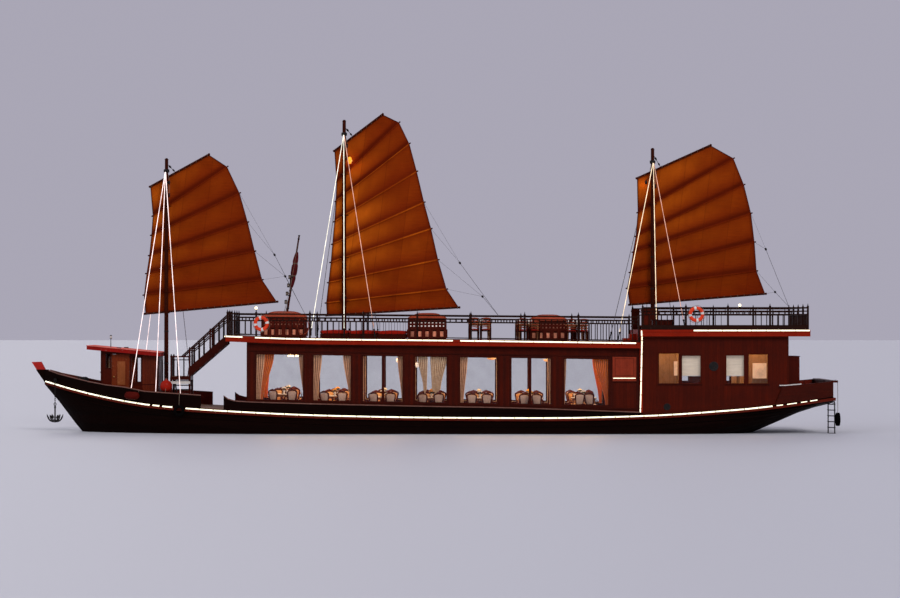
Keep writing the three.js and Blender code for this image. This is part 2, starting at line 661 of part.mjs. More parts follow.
/** A prism under the upper deck's top, raised by the gap. */
function underUpper() {
  const line = UPPER_PLACES.map((x) => [x, upperTop(x) + GAP]);
  return sidePlate([[UPPER.aft - 200, 3000], [UPPER.aft - 200, upperTop(UPPER.aft) + GAP], ...line,
    [UPPER.fore + 400, upperTop(UPPER.fore) + GAP], [UPPER.fore + 400, 3000]], [-REACH, REACH]);
}

function upperDecks() {
  const top = UPPER_PLACES.map((x) => [x, upperTop(x)]);
  const under = UPPER_PLACES.map((x) => [x, upperTop(x) - SALOON.fascia]).reverse();
  addPart('upper_deck', sidePlate([...top, ...under], [-UPPER.half, UPPER.half]), FINISH.fascia);
  const { aft, fore, half, top: high, thick } = AFT_UPPER;
  const slab = block([aft, fore], [-half, half], [high - thick, high]);
  const low = upperTop(UPPER.aft) + GAP + 1;
  const rear = UPPER.aft + GAP;
  const steps = [
    block([rear, -8780], [-450, 450], [low, high - 185]), block([rear, -8500], [-450, 450], [low, high - 370]),
  ];
  const riser = block([rear, fore], [-half, half], [low, high]);
  addPart('aft_upper_deck', cut(join(slab, riser, ...steps), underUpper()), FINISH.fascia);
}

function saloon() {
  const { aft, fore, half, wall } = SALOON;
  const head = (x) => upperTop(x) - SALOON.fascia - GAP;
  const window = ([x0, x1]) => [[x0, SILL(x0)], [x1, SILL(x1)], [x1, HEAD(x1)], [x0, HEAD(x0)]];
  const side = sidePlate(
    onDeck(aft, fore, head, UPPER_PLACES), [half - wall, half], SALOON_WINDOWS.map(window),
  );
  addPart('saloon_wall_port', side, FINISH.house);
  addPart('saloon_wall_starboard', mirrored(side), FINISH.house);

  const inner = half - wall - GAP;
  const { leaf, top, sill } = SALOON_DOOR;
  const low = deckAt(fore) + sill;
  const high = head(fore - wall);
  const way = leaf + SWING;
  const front = crossPlate(
    [[-inner, 900], [inner, 900], [inner, high], [-inner, high]], [fore - wall, fore],
    [[[-way, low - SWING], [way, low - SWING], [way, top + SWING], [-way, top + SWING]]],
  );
  addPart('saloon_front_wall', cut(front, underDeck()), FINISH.house);
  const { thick } = SALOON_DOOR;
  const face = fore - SWING;
  const pivot = fore + GAP + HINGE.radius;
  const door = join(
    block([face - thick, face], [SWING, leaf], [low, top]),
    ...knuckles([pivot, way], [[face - 5, pivot], [way - HINGE.tab, way - 1]], [low, top]),
  );
  addPart('saloon_door_port', door, FINISH.door);
  addPart('saloon_door_starboard', mirrored(door), FINISH.door);

  const [x0, x1] = [SALOON_WINDOWS.at(-1)[0] - 40, SALOON_WINDOWS[0][1] + 40];
  const glass = sidePlate(
    [[x0, SILL(x0) - 40], [x1, SILL(x1) - 40], [x1, HEAD(x1) + 40], [x0, HEAD(x0) + 40]],
    [inner - 12, inner],
  );
  addPart('saloon_glass_port', glass, FINISH.glass);
  addPart('saloon_glass_starboard', mirrored(glass), FINISH.glass);
}

/** A dining chair with a boxed seat that faces along y. */
function chair(x, y, z, facing) {
  const { half, seat, back, thick } = CHAIR;
  const rear = y - facing * half;
  const front = y + facing * half;
  const side = [[rear, z - 10], [front, z - 10], [front, z + seat], [rear + facing * thick, z + seat],
    [rear + facing * thick * 0.5, z + back], [rear, z + back]];
  return crossPlate(side, [x - half, x + half]);
}

/** A table along x on a panel leg, with two chairs on each long side. */
function diningSet(x, y, z, { length, width, reach }) {
  const shapes = [
    block([x - length / 2, x + length / 2], [y - width / 2, y + width / 2], [z + 720, z + 760]),
    block([x - length / 4, x + length / 4], [y - 60, y + 60], [z - 10, z + 730]),
  ];
  for (const side of [-1, 1]) {
    for (const end of [-1, 1]) shapes.push(chair(x + (end * length) / 4, y + side * reach, z, -side));
  }
  return shapes;
}

function saloonFurniture() {
  const { y, half, x: [aft, fore], sets } = SALOON_SEATING;
  const places = stationsBetween(aft, fore);
  const mat = [
    ...places.map((x) => [x, deckAt(x) - MAT]), ...places.map((x) => [x, deckAt(x) + MAT]).reverse(),
  ];
  const shapes = [sidePlate(mat, [-half, half])];
  for (const x of sets) {
    for (const side of [-1, 1]) shapes.push(...diningSet(x, side * y, deckAt(x) + MAT, SALOON_SET));
  }
  return cut(join(...shapes), underDeck());
}

function aftCabin() {
  const { aft, fore, half, wall } = AFT_CABIN;
  const head = AFT_UPPER.top - AFT_UPPER.thick - GAP;
  const hole = ([x0, x1, top]) => [[x0, CABIN_SILL], [x1, CABIN_SILL], [x1, top], [x0, top]];
  const side = sidePlate(
    onDeck(aft, fore, () => head), [half - wall, half], CABIN_WINDOWS.map(hole),
  );
  addPart('aft_cabin_side_port', side, FINISH.house);
  addPart('aft_cabin_side_starboard', mirrored(side), FINISH.house);

  const inner = half - wall - GAP;
  const way = [[-450, 860], [450, 860], [450, 2900], [-450, 2900]];
  const front = crossPlate(
    [[-inner, 700], [inner, 700], [inner, head], [-inner, head]], [fore, fore + wall - GAP], [way],
  );
  addPart('aft_cabin_front', cut(front, underDeck()), FINISH.house);
  const { y: [y0, y1], top, thick } = CABIN_DOOR;
  const low = deckAt(aft) + CABIN_DOOR.sill;
  const doorway = [[y0 - SWING, low - SWING], [y1 + SWING, low - SWING], [y1 + SWING, top + SWING],
    [y0 - SWING, top + SWING]];
  const rear = crossPlate(
    [[-inner, 1100], [inner, 1100], [inner, head], [-inner, head]], [aft, aft + wall], [doorway],
  );
  addPart('aft_cabin_rear', cut(rear, underDeck()), FINISH.house);
  const pivot = aft - GAP - HINGE.radius;
  const hinged = y0 - SWING;
  const door = join(
    block([aft + SWING, aft + SWING + thick], [y0, y1 + SWING - LATCH], [low, top]),
    ...knuckles([pivot, hinged], [[pivot, aft + SWING + 5], [hinged + 1, hinged + HINGE.tab]], [low, top]),
  );
  addPart('aft_cabin_door', door, FINISH.door);

  const [first, last] = [CABIN_WINDOWS[0], CABIN_WINDOWS.at(-1)];
  const glass = block([last[0] - 40, first[1] + 40], [inner - 12, inner], [CABIN_SILL - 40, 3510]);
  addPart('aft_cabin_glass_port', glass, FINISH.glass);
  addPart('aft_cabin_glass_starboard', mirrored(glass), FINISH.glass);

  const locker = block([-15950, aft - GAP], [500, 2300], [1200, 3310]);
  addPart('stern_locker', cut(locker, underDeck()), FINISH.spar);
}

/** A railing panel over a span: its rails and balusters are what its holes leave. */
function railingPanel(plate, [u0, u1], middle, topAt, footAt, posts, form = {}) {
  const { foot = RAIL.foot, barred = false } = form;
  const below = (under) => (u) => topAt(u) - under;
  const above = (rise) => (u) => footAt(u) + rise;
  const band = (a, b, upper, lower) => [[a, lower(a)], [b, lower(b)], [b, upper(b)], [a, upper(a)]];
  const open = [
    [below(RAIL.deep), below(RAIL.second)], [below(RAIL.second + RAIL.slat), below(RAIL.third)],
  ];
  const [high, low] = [below(RAIL.third + RAIL.slat), above(foot)];
  const ends = [u0, ...posts.filter((u) => u > u0 + RAIL.post && u < u1 - RAIL.post), u1];
  const holes = [];
  ends.slice(1).forEach((end, i) => {
    const [a, b] = [ends[i] + RAIL.post / 2, end - RAIL.post / 2];
    for (const [upper, lower] of open) holes.push(band(a, b, upper, lower));
    const count = barred ? Math.round((b - a) / RAIL.pitch) : 1;
    const step = (b - a + RAIL.baluster) / count;
    for (let k = 0; k < count; k += 1) {
      holes.push(band(a + k * step, a + (k + 1) * step - RAIL.baluster, high, low));
    }
  });
  const outline = band(u0, u1, topAt, above(foot === RAIL.foot ? RAIL.foot - RAIL.slat : -10));
  return plate(outline, [middle - RAIL.wide / 2, middle + RAIL.wide / 2], holes);
}

/** A railing post with a small pointed finial. */
function post(x, y, foot, top) {
  const half = RAIL.post / 2;
  return join(
    block([x - half, x + half], [y - half, y + half], [foot - 20, top + 40]),
    rod([x, y, top + 30], [x, y, top + RAIL.finial], 34, 4, 0),
  );
}

function railings() {
  const { corner, line, aftEnd, way, posts, crossPosts } = UPPER_RAILING;
  const [top, foot] = [UPPER_RAIL_TOP(corner), upperTop(corner)];
  const port = cut(join(
    railingPanel(sidePlate, [aftEnd, corner], line, UPPER_RAIL_TOP, upperTop, posts, { barred: true }),
    railingPanel(crossPlate, [way, line], corner, () => top, () => foot, crossPosts),
    ...[aftEnd, ...posts].map((x) => post(x, line, upperTop(x), UPPER_RAIL_TOP(x))),
    ...[way, ...crossPosts, line].map((y) => post(corner, y, foot, top)),
  ), underUpper());
  addPart('railing_port', port, FINISH.spar);
  addPart('railing_starboard', mirrored(port), FINISH.spar);

  const aft = AFT_RAILING;
  const deck = () => AFT_UPPER.top;
  const railTop = () => aft.top;
  const side = [
    railingPanel(sidePlate, [aft.rear, aft.fore], aft.line, railTop, deck, aft.posts, {
      foot: aft.foot, barred: true,
    }),
    ...[aft.fore, ...aft.posts].map((x) => post(x, aft.line, AFT_UPPER.top, aft.top)),
  ];
  const rear = railingPanel(crossPlate, [-aft.line, aft.line], aft.rear, railTop, deck, aft.rearPosts, {
    foot: aft.foot,
  });
  const rearPosts = [-aft.line, ...aft.rearPosts, aft.line]
    .map((y) => post(aft.rear, y, AFT_UPPER.top, aft.top));
  const under = block([-17000, -8000], [-REACH, REACH], [4000, AFT_UPPER.top + GAP]);
  const whole = cut(join(...side, ...side.map(mirrored), rear, ...rearPosts), under);
  addPart('railing_aft', whole, FINISH.spar);
}

function booths() {
  BOOTHS.forEach(([x, length], i) => {
    const z = upperTop(x);
    const { half, body, top } = BOOTH;
    const shapes = [
      block([x - length + 60, x + length - 60], [-half + 60, half - 60], [z - 100, z + body + 40]),
    ];
    const level = [body, body + 110, top - 60, top];
    const inset = [0, 130, 420, 560];
    const hip = [...level.keys()].map((k) => [inset[k], z + level[k]]);
    const rise = [...hip.map(([d, h]) => [x - length + d, h]), ...hip.map(([d, h]) => [x + length - d, h]).reverse()];
    shapes.push(sidePlate(rise, [-half, half]));
    let whole = cut(join(...shapes), underUpper());
    if (i === 0) whole = cut(whole, rod(SIGNAL.from, SIGNAL.to, SIGNAL.radius + 20, 12));
    addPart(`booth_${i + 1}`, whole, FINISH.booth);
  });
}

function upperTables() {
  const { y, strip, x: [aft, fore], sets } = UPPER_SEATING;
  const places = [aft, ...UPPER_PLACES.filter((x) => x > aft && x < fore), fore];
  const mat = [
    ...places.map((x) => [x, upperTop(x) - MAT]), ...places.map((x) => [x, upperTop(x) + MAT]).reverse(),
  ];
  const shapes = [sidePlate(mat, strip)];
  for (const x of sets) shapes.push(...diningSet(x, y, upperTop(x) + MAT, UPPER_SET));
  const bench = (rise) => BENCH.x.map((x) => [x, upperTop(x) + rise]);
  shapes.push(sidePlate([...bench(0), ...bench(MAT + BENCH.seat).reverse()], BENCH.y));
  const port = cut(join(...shapes), underUpper());
  addPart('upper_tables_port', port, FINISH.seat);
  addPart('upper_tables_starboard', mirrored(port), FINISH.seat);
}

function signalMast() {
  const { from, to, radius } = SIGNAL;
  const along = (t) => from.map((value, i) => value + t * (to[i] - value));
  const shapes = [rod(from, to, radius, 10, 35)];
  for (const [t, half] of [[0.42, 420], [0.6, 330]]) {
    const [x, y, z] = along(t);
    shapes.push(rod([x, y - half, z], [x, y + half, z], 22, 6));
  }
  for (const t of [0.36, 0.44, 0.52, 0.6]) {
    const [x, , z] = along(t);
    shapes.push(rod([x - 20, 0, z], [x + 140, 0, z], 16, 6));
    shapes.push(rod([x + 130, 0, z - 70], [x + 130, 0, z + 80], 55, 8));
  }
  return cut(join(...shapes), underUpper());
}

/** The height that a mast stands on. */
function mastFoot(name) {
  if (name === 'fore') return deckAt(MASTS.fore.x);
  return name === 'main' ? upperTop(MASTS.main.x) : AFT_UPPER.top;
}

function mast(name) {
  const { x, foot, head, top } = MASTS[name];
  const low = mastFoot(name);
  const shapes = [rod([x, 0, low - 100], [x, 0, top], foot, 12, head)];
  const band = boomAtMast(name) - GOOSENECK.thick - GAP;
  shapes.push(rod([x, 0, band - GOOSENECK.seat], [x, 0, band], foot + GOOSENECK.out, 12));
  const partner = name === 'mizzen' ? 900 : 260;
  const [wide, long] = name === 'mizzen' ? [200, 230] : [150, name === 'fore' ? 100 : 170];
  shapes.push(block([x - long, x + long], [-wide, wide], [low - 100, low + partner]));
  const under = block([x - 600, x + 600], [-600, 600], [low - 600, low + GAP]);
  const cutter = { fore: underDeck(), main: underUpper(), mizzen: under }[name];
  return cut(join(...shapes), cutter);
}

/** Where a stay's foot lands on the port side, as [x, y, z]. */
function stayFoot(name, x) {
  if (name === 'fore') return [x, beamAt(x) - BULWARK - 45, deckAt(x)];
  if (name === 'main' || x > AFT_UPPER.fore) return [x, UPPER.half - STAY_INSET, upperTop(x)];
  return [x, AFT_UPPER.half - STAY_INSET, AFT_UPPER.top];
}

function stays(name) {
  const { x, crosstree } = MASTS[name];
  const shapes = [
    rod([x, -CROSSTREE.half - 20, crosstree], [x, CROSSTREE.half + 20, crosstree], CROSSTREE.radius, 6),
    rod([x, 0, crosstree - 70], [x, 0, crosstree + 70], 125, 10),
  ];
  for (const footX of STAY_FEET[name]) {
    const [fx, y, z] = stayFoot(name, footX);
    const port = join(
      rod([x, CROSSTREE.half, crosstree], [fx, y, z + 40], STAY_RADIUS, 6),
      block([fx - 45, fx + 45], [y - 30, y + 30], [z - 60, z + 60]),
    );
    shapes.push(...bothSides(port));
  }
  const { foot, head, top } = MASTS[name];
  const low = mastFoot(name);
  const way = rod([x, 0, low - 100], [x, 0, top], foot + GAP, 12, head + GAP);
  const under = block([-11500, AFT_UPPER.fore], [-REACH, REACH], [3000, AFT_UPPER.top + GAP]);
  const cutters = name === 'fore' ? [underDeck()] : [underUpper()];
  if (name === 'mizzen') cutters.push(under);
  return cut(join(...shapes), way, ...cutters);
}

function sailCloth(name) {
  const { throat, peak, clew, tack, battens } = SAILS[name];
  const leech = battens.map(([end]) => end);
  const luff = battens.map(([, end]) => end).reverse();
  const face = SPAR.y - SPAR.batten - GAP;
  return sidePlate([throat, peak, ...leech, clew, tack, ...luff], [face - CLOTH_THICK, face]);
}

/** The height at which a sail's boom passes its mast. */
function boomAtMast(name) {
  const { clew: [clewX, clewZ], tack: [tackX, tackZ] } = SAILS[name];
  return tackZ + ((tackX - MASTS[name].x) / (tackX - clewX)) * (clewZ - tackZ);
}

/** Yard, boom and battens, tied by the edge ropes, with rings that run round the mast. */
function spars(name) {
  const { throat, peak, clew, tack, battens } = SAILS[name];
  const { x: mastX, foot } = MASTS[name];
  const bar = ([x0, z0], [x1, z1], radius) => {
    const stretch = SPAR.beyond / Math.hypot(x1 - x0, z1 - z0);
    const [dx, dz] = [(x1 - x0) * stretch, (z1 - z0) * stretch];
    const y = SPAR.y + radius - SPAR.batten;
    return rod([x0 - dx, y, z0 - dz], [x1 + dx, y, z1 + dz], radius, 6);
  };
  const shapes = [
    bar(throat, peak, SPAR.yard), bar(tack, clew, SPAR.yard),
    ...battens.map(([leech, luff]) => bar(luff, leech, SPAR.batten)),
  ];
  const leech = [peak, ...battens.map(([end]) => end), clew];
  const luff = [throat, ...battens.map(([, end]) => end), tack];
  for (const edge of [leech, luff]) {
    edge.slice(1).forEach(([x1, z1], i) => {
      const [x0, z0] = edge[i];
      shapes.push(rod([x0, SPAR.y, z0], [x1, SPAR.y, z1], SPAR.rope, 3));
    });
  }
  for (const [[x0, z0], [x1, z1]] of battens.filter((_, i) => i % 2 === 0)) {
    const z = z0 + ((mastX - x0) / (x1 - x0)) * (z1 - z0);
    shapes.push(new THREE.TorusGeometry(foot + SPAR.ring, 18, 3, 8).translate(mastX, 0, z));
  }
  const { thick } = GOOSENECK;
  const z = boomAtMast(name);
  const band = rod([mastX, 0, z - thick], [mastX, 0, z + thick], foot + GOOSENECK.out, 12);
  const arm = block([mastX - 30, mastX + 30], [SPAR.y + 20, -foot], [z - thick + 2, z + thick - 2]);
  const bore = rod([mastX, 0, z - 100], [mastX, 0, z + 100], foot + GOOSENECK.clear, 12);
  return cut(join(...shapes, band, arm), bore);
}

// The boat, from the keel up
addPart('hull', hull(), FINISH.hull);
addPart('rub_rail', rubRail(), FINISH.rail);
addPart('stem_head', stemHead(), FINISH.red);
bulwarks();
addPart('rudder', rudder(), FINISH.hull);
addPart('propeller', propeller(), FINISH.bronze);
wheelhouse();
helm();
addPart('windlass', windlass(), FINISH.metal);
addPart('anchor', anchor(), FINISH.metal);
addPart('stairs', stairs(), FINISH.spar);
upperDecks();
saloon();
addPart('saloon_furniture', saloonFurniture(), FINISH.seat);
aftCabin();
railings();
booths();
upperTables();
addPart('signal_mast', signalMast(), FINISH.spar);
for (const name of Object.keys(MASTS)) {
  addPart(`mast_${name}`, mast(name), FINISH.spar);
  addPart(`stays_${name}`, stays(name), FINISH.stay);
  addPart(`sail_${name}`, sailCloth(name), FINISH.sail);
  addPart(`spars_${name}`, spars(name), FINISH.spar);
}

export default group;
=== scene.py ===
"""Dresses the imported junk: finishes, sails, lamps, rigging, furniture and the studio round them.

Lengths are in metres, X points to the bow, Y to port and Z up, from amidships on the waterline.
"""

import bisect
import json
import logging
import math
from dataclasses import dataclass, field
from enum import Enum
from typing import Callable, Iterable, Sequence

import bmesh
import bpy
from mathutils import Vector
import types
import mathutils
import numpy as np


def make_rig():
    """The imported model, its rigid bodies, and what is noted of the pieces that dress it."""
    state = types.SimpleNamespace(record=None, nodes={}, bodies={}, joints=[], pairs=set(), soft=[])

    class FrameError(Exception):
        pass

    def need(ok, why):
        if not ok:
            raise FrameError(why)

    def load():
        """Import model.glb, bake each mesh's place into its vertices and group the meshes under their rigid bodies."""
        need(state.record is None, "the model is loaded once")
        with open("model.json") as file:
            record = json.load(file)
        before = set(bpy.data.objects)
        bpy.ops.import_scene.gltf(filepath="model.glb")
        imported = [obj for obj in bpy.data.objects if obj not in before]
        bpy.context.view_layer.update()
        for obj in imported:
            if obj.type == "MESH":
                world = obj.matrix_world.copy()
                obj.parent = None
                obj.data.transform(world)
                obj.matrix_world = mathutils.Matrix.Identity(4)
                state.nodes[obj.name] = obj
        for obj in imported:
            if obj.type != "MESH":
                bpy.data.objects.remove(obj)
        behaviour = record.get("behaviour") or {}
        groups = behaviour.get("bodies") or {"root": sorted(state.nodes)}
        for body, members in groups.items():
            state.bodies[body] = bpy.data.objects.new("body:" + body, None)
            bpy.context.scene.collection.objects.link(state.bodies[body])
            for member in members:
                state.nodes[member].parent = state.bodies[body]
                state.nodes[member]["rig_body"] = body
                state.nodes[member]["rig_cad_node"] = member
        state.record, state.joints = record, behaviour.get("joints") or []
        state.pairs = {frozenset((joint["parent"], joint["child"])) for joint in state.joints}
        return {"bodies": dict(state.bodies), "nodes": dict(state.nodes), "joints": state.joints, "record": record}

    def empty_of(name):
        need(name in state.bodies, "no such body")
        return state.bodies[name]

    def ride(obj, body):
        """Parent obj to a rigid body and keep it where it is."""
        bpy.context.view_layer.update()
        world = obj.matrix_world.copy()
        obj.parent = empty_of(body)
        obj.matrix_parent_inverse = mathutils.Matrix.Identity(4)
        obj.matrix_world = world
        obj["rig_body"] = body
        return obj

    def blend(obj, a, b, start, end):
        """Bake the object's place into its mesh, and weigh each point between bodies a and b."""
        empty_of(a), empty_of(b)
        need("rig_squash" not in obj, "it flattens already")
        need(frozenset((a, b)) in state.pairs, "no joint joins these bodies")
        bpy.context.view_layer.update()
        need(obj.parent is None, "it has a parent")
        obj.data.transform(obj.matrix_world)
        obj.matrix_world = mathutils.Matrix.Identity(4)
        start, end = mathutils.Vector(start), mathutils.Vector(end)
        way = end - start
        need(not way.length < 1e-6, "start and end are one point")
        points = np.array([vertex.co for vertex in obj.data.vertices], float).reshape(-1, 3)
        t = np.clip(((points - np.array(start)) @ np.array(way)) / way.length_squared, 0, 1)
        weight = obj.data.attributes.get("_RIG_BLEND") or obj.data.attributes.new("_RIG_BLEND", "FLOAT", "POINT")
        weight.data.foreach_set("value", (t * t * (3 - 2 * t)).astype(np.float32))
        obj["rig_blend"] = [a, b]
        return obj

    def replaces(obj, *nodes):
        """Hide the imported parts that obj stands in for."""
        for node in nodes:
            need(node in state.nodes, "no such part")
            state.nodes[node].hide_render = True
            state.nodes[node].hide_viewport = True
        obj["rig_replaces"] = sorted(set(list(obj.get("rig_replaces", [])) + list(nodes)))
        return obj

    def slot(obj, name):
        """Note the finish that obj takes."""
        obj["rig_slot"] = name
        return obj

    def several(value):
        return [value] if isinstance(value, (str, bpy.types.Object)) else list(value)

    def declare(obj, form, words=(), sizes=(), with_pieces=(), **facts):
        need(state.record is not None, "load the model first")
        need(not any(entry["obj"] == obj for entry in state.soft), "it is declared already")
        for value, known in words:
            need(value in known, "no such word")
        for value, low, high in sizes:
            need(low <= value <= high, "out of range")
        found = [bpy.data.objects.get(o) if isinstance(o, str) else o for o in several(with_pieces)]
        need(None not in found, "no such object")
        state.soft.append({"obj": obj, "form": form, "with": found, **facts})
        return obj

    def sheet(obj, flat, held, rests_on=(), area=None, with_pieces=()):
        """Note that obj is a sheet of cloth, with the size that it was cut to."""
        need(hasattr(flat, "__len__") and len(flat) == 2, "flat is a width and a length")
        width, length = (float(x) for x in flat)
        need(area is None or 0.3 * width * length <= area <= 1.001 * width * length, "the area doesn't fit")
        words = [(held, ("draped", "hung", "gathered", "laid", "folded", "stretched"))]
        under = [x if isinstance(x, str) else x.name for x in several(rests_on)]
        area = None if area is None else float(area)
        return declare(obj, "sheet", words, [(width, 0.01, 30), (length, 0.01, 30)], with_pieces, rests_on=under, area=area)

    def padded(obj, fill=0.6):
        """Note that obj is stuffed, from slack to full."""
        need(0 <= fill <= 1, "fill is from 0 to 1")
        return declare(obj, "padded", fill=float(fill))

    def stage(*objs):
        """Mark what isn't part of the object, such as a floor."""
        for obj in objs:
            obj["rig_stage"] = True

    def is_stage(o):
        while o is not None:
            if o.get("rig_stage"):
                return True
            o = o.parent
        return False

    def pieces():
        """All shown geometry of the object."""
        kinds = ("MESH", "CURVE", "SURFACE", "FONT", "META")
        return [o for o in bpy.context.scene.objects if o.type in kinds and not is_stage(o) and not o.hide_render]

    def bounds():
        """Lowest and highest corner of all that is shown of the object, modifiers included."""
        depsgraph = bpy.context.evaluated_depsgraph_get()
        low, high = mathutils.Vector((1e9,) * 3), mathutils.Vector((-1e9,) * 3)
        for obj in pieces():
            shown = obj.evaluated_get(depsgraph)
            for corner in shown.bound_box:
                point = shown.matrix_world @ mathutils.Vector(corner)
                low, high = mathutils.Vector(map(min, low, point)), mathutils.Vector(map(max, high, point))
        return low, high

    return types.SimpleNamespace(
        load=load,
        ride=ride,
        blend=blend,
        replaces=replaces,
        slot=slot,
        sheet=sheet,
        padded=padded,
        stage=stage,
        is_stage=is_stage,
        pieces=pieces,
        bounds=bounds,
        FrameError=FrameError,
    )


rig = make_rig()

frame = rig.load()

LOG = logging.getLogger("junk")
Point = Sequence[float]
Colour = tuple[float, float, float]
Pairs = Sequence[tuple[float, float]]
Bend = tuple[str, Point, Point]

BOAT = "boat"
BOARDS = 0.012
GOLDEN_ANGLE = 2.399963


class Curve:
    """A smooth line through (x, value) pairs that never overshoots them."""

    def __init__(self, pairs: Pairs) -> None:
        """Works out the slopes.

        Args:
            pairs: Places and values, in order of place.
        """
        self.x = [p[0] for p in pairs]
        self.v = [p[1] for p in pairs]
        rise = [(b[1] - a[1]) / (b[0] - a[0]) for a, b in zip(pairs, pairs[1:])]
        inner = [0.0 if a * b <= 0 else 2 / (1 / a + 1 / b) for a, b in zip(rise, rise[1:])]
        self.slope = [rise[0], *inner, rise[-1]]

    def __call__(self, x: float) -> float:
        """Returns the line's value at x."""
        i = min(max(bisect.bisect_left(self.x, x) - 1, 0), len(self.x) - 2)
        span = self.x[i + 1] - self.x[i]
        t = min(max((x - self.x[i]) / span, 0.0), 1.0)
        u = 1 - t
        ends = self.v[i] * u * u * (1 + 2 * t) + self.v[i + 1] * t * t * (3 - 2 * t)
        return ends + span * t * u * (self.slope[i] * u - self.slope[i + 1] * t)


@dataclass
class HullLines:
    """The hull's lines, which every piece along its side follows."""

    aft: float = -17.35
    fore: float = 16.9
    count: int = 34
    beam: Curve = field(default_factory=lambda: Curve([
        (-17.35, 2.7), (-15.4, 2.96), (-12.0, 3.05), (0, 3.05), (6, 3.0), (9, 2.85), (11, 2.55),
        (13, 2.05), (14.5, 1.5), (16, 0.8), (16.9, 0.16),
    ]))
    rub: Curve = field(default_factory=lambda: Curve([
        (-17.35, 1.5), (-14.7, 1.14), (-13.2, 0.985), (-9, 0.715), (-4.85, 0.63), (-0.47, 0.65),
        (4.16, 0.73), (8.97, 0.94), (12.2, 1.19), (13.6, 1.41), (15, 1.69), (16.9, 2.16),
    ]))
    deck_rise: float = 0.1

    def __post_init__(self) -> None:
        """Sets the stations, which lie closer together towards the ends."""
        self.stations = []
        for i in range(self.count + 1):
            t = 2 * i / self.count - 1
            spread = 0.6 * t + 0.4 * math.sin(math.pi * t / 2)
            self.stations.append((self.aft + self.fore) / 2 + spread * (self.fore - self.aft) / 2)

    def faired(self, line: Callable[[float], float], x: float) -> float:
        """Reads a line that runs straight from station to station.

        Args:
            line: The smooth line.
            x: The place along the boat.

        Returns:
            The value on the hull's own faces.
        """
        s = self.stations
        i = min(max(bisect.bisect_left(s, x) - 1, 0), len(s) - 2)
        t = (x - s[i]) / (s[i + 1] - s[i])
        return line(s[i]) + t * (line(s[i + 1]) - line(s[i]))

    def half(self, x: float) -> float:
        """Returns the half beam at x."""
        return self.faired(self.beam, x)

    def rail(self, x: float) -> float:
        """Returns the middle of the rub rail at x."""
        return self.faired(self.rub, x)

    def deck(self, x: float) -> float:
        """Returns the deck's height at x."""
        return self.rail(x) + self.deck_rise

    def between(self, start: float, end: float) -> list[float]:
        """Returns the stations from start to end, with both ends."""
        low, high = min(start, end), max(start, end)
        inner = [x for x in self.stations if low + 0.01 < x < high - 0.01]
        places = [low, *inner, high]
        return places if start < end else places[::-1]


HULL = HullLines()
UPPER_LINE = Curve([(-9.08, 3.92), (-0.47, 4.035), (5.53, 4.1), (8.71, 4.215)])
UPPER_STEPS = [-9.08 + i * (8.71 + 9.08) / 14 for i in range(15)]


def upper(x: float) -> float:
    """Returns the height of the upper deck's top at x."""
    i = min(max(bisect.bisect_left(UPPER_STEPS, x) - 1, 0), 13)
    a, b = UPPER_STEPS[i], UPPER_STEPS[i + 1]
    return UPPER_LINE(a) + (x - a) / (b - a) * (UPPER_LINE(b) - UPPER_LINE(a))


def ceiling(x: float) -> float:
    """Returns the saloon ceiling's height at x."""
    return upper(x) - 0.262


def rail_top(x: float) -> float:
    """Returns the top of the upper deck's rail at x."""
    return 5.115 + 0.0085 * x


def turns(count: int) -> list[float]:
    """Returns the angles of a full turn in even steps."""
    return [2 * math.pi * k / count for k in range(count)]


def slab(start: float, end: float, low: float, high: float) -> Pairs:
    """Returns a rectangle's corners, from its bounds in y and z."""
    return (start, low), (end, low), (end, high), (start, high)


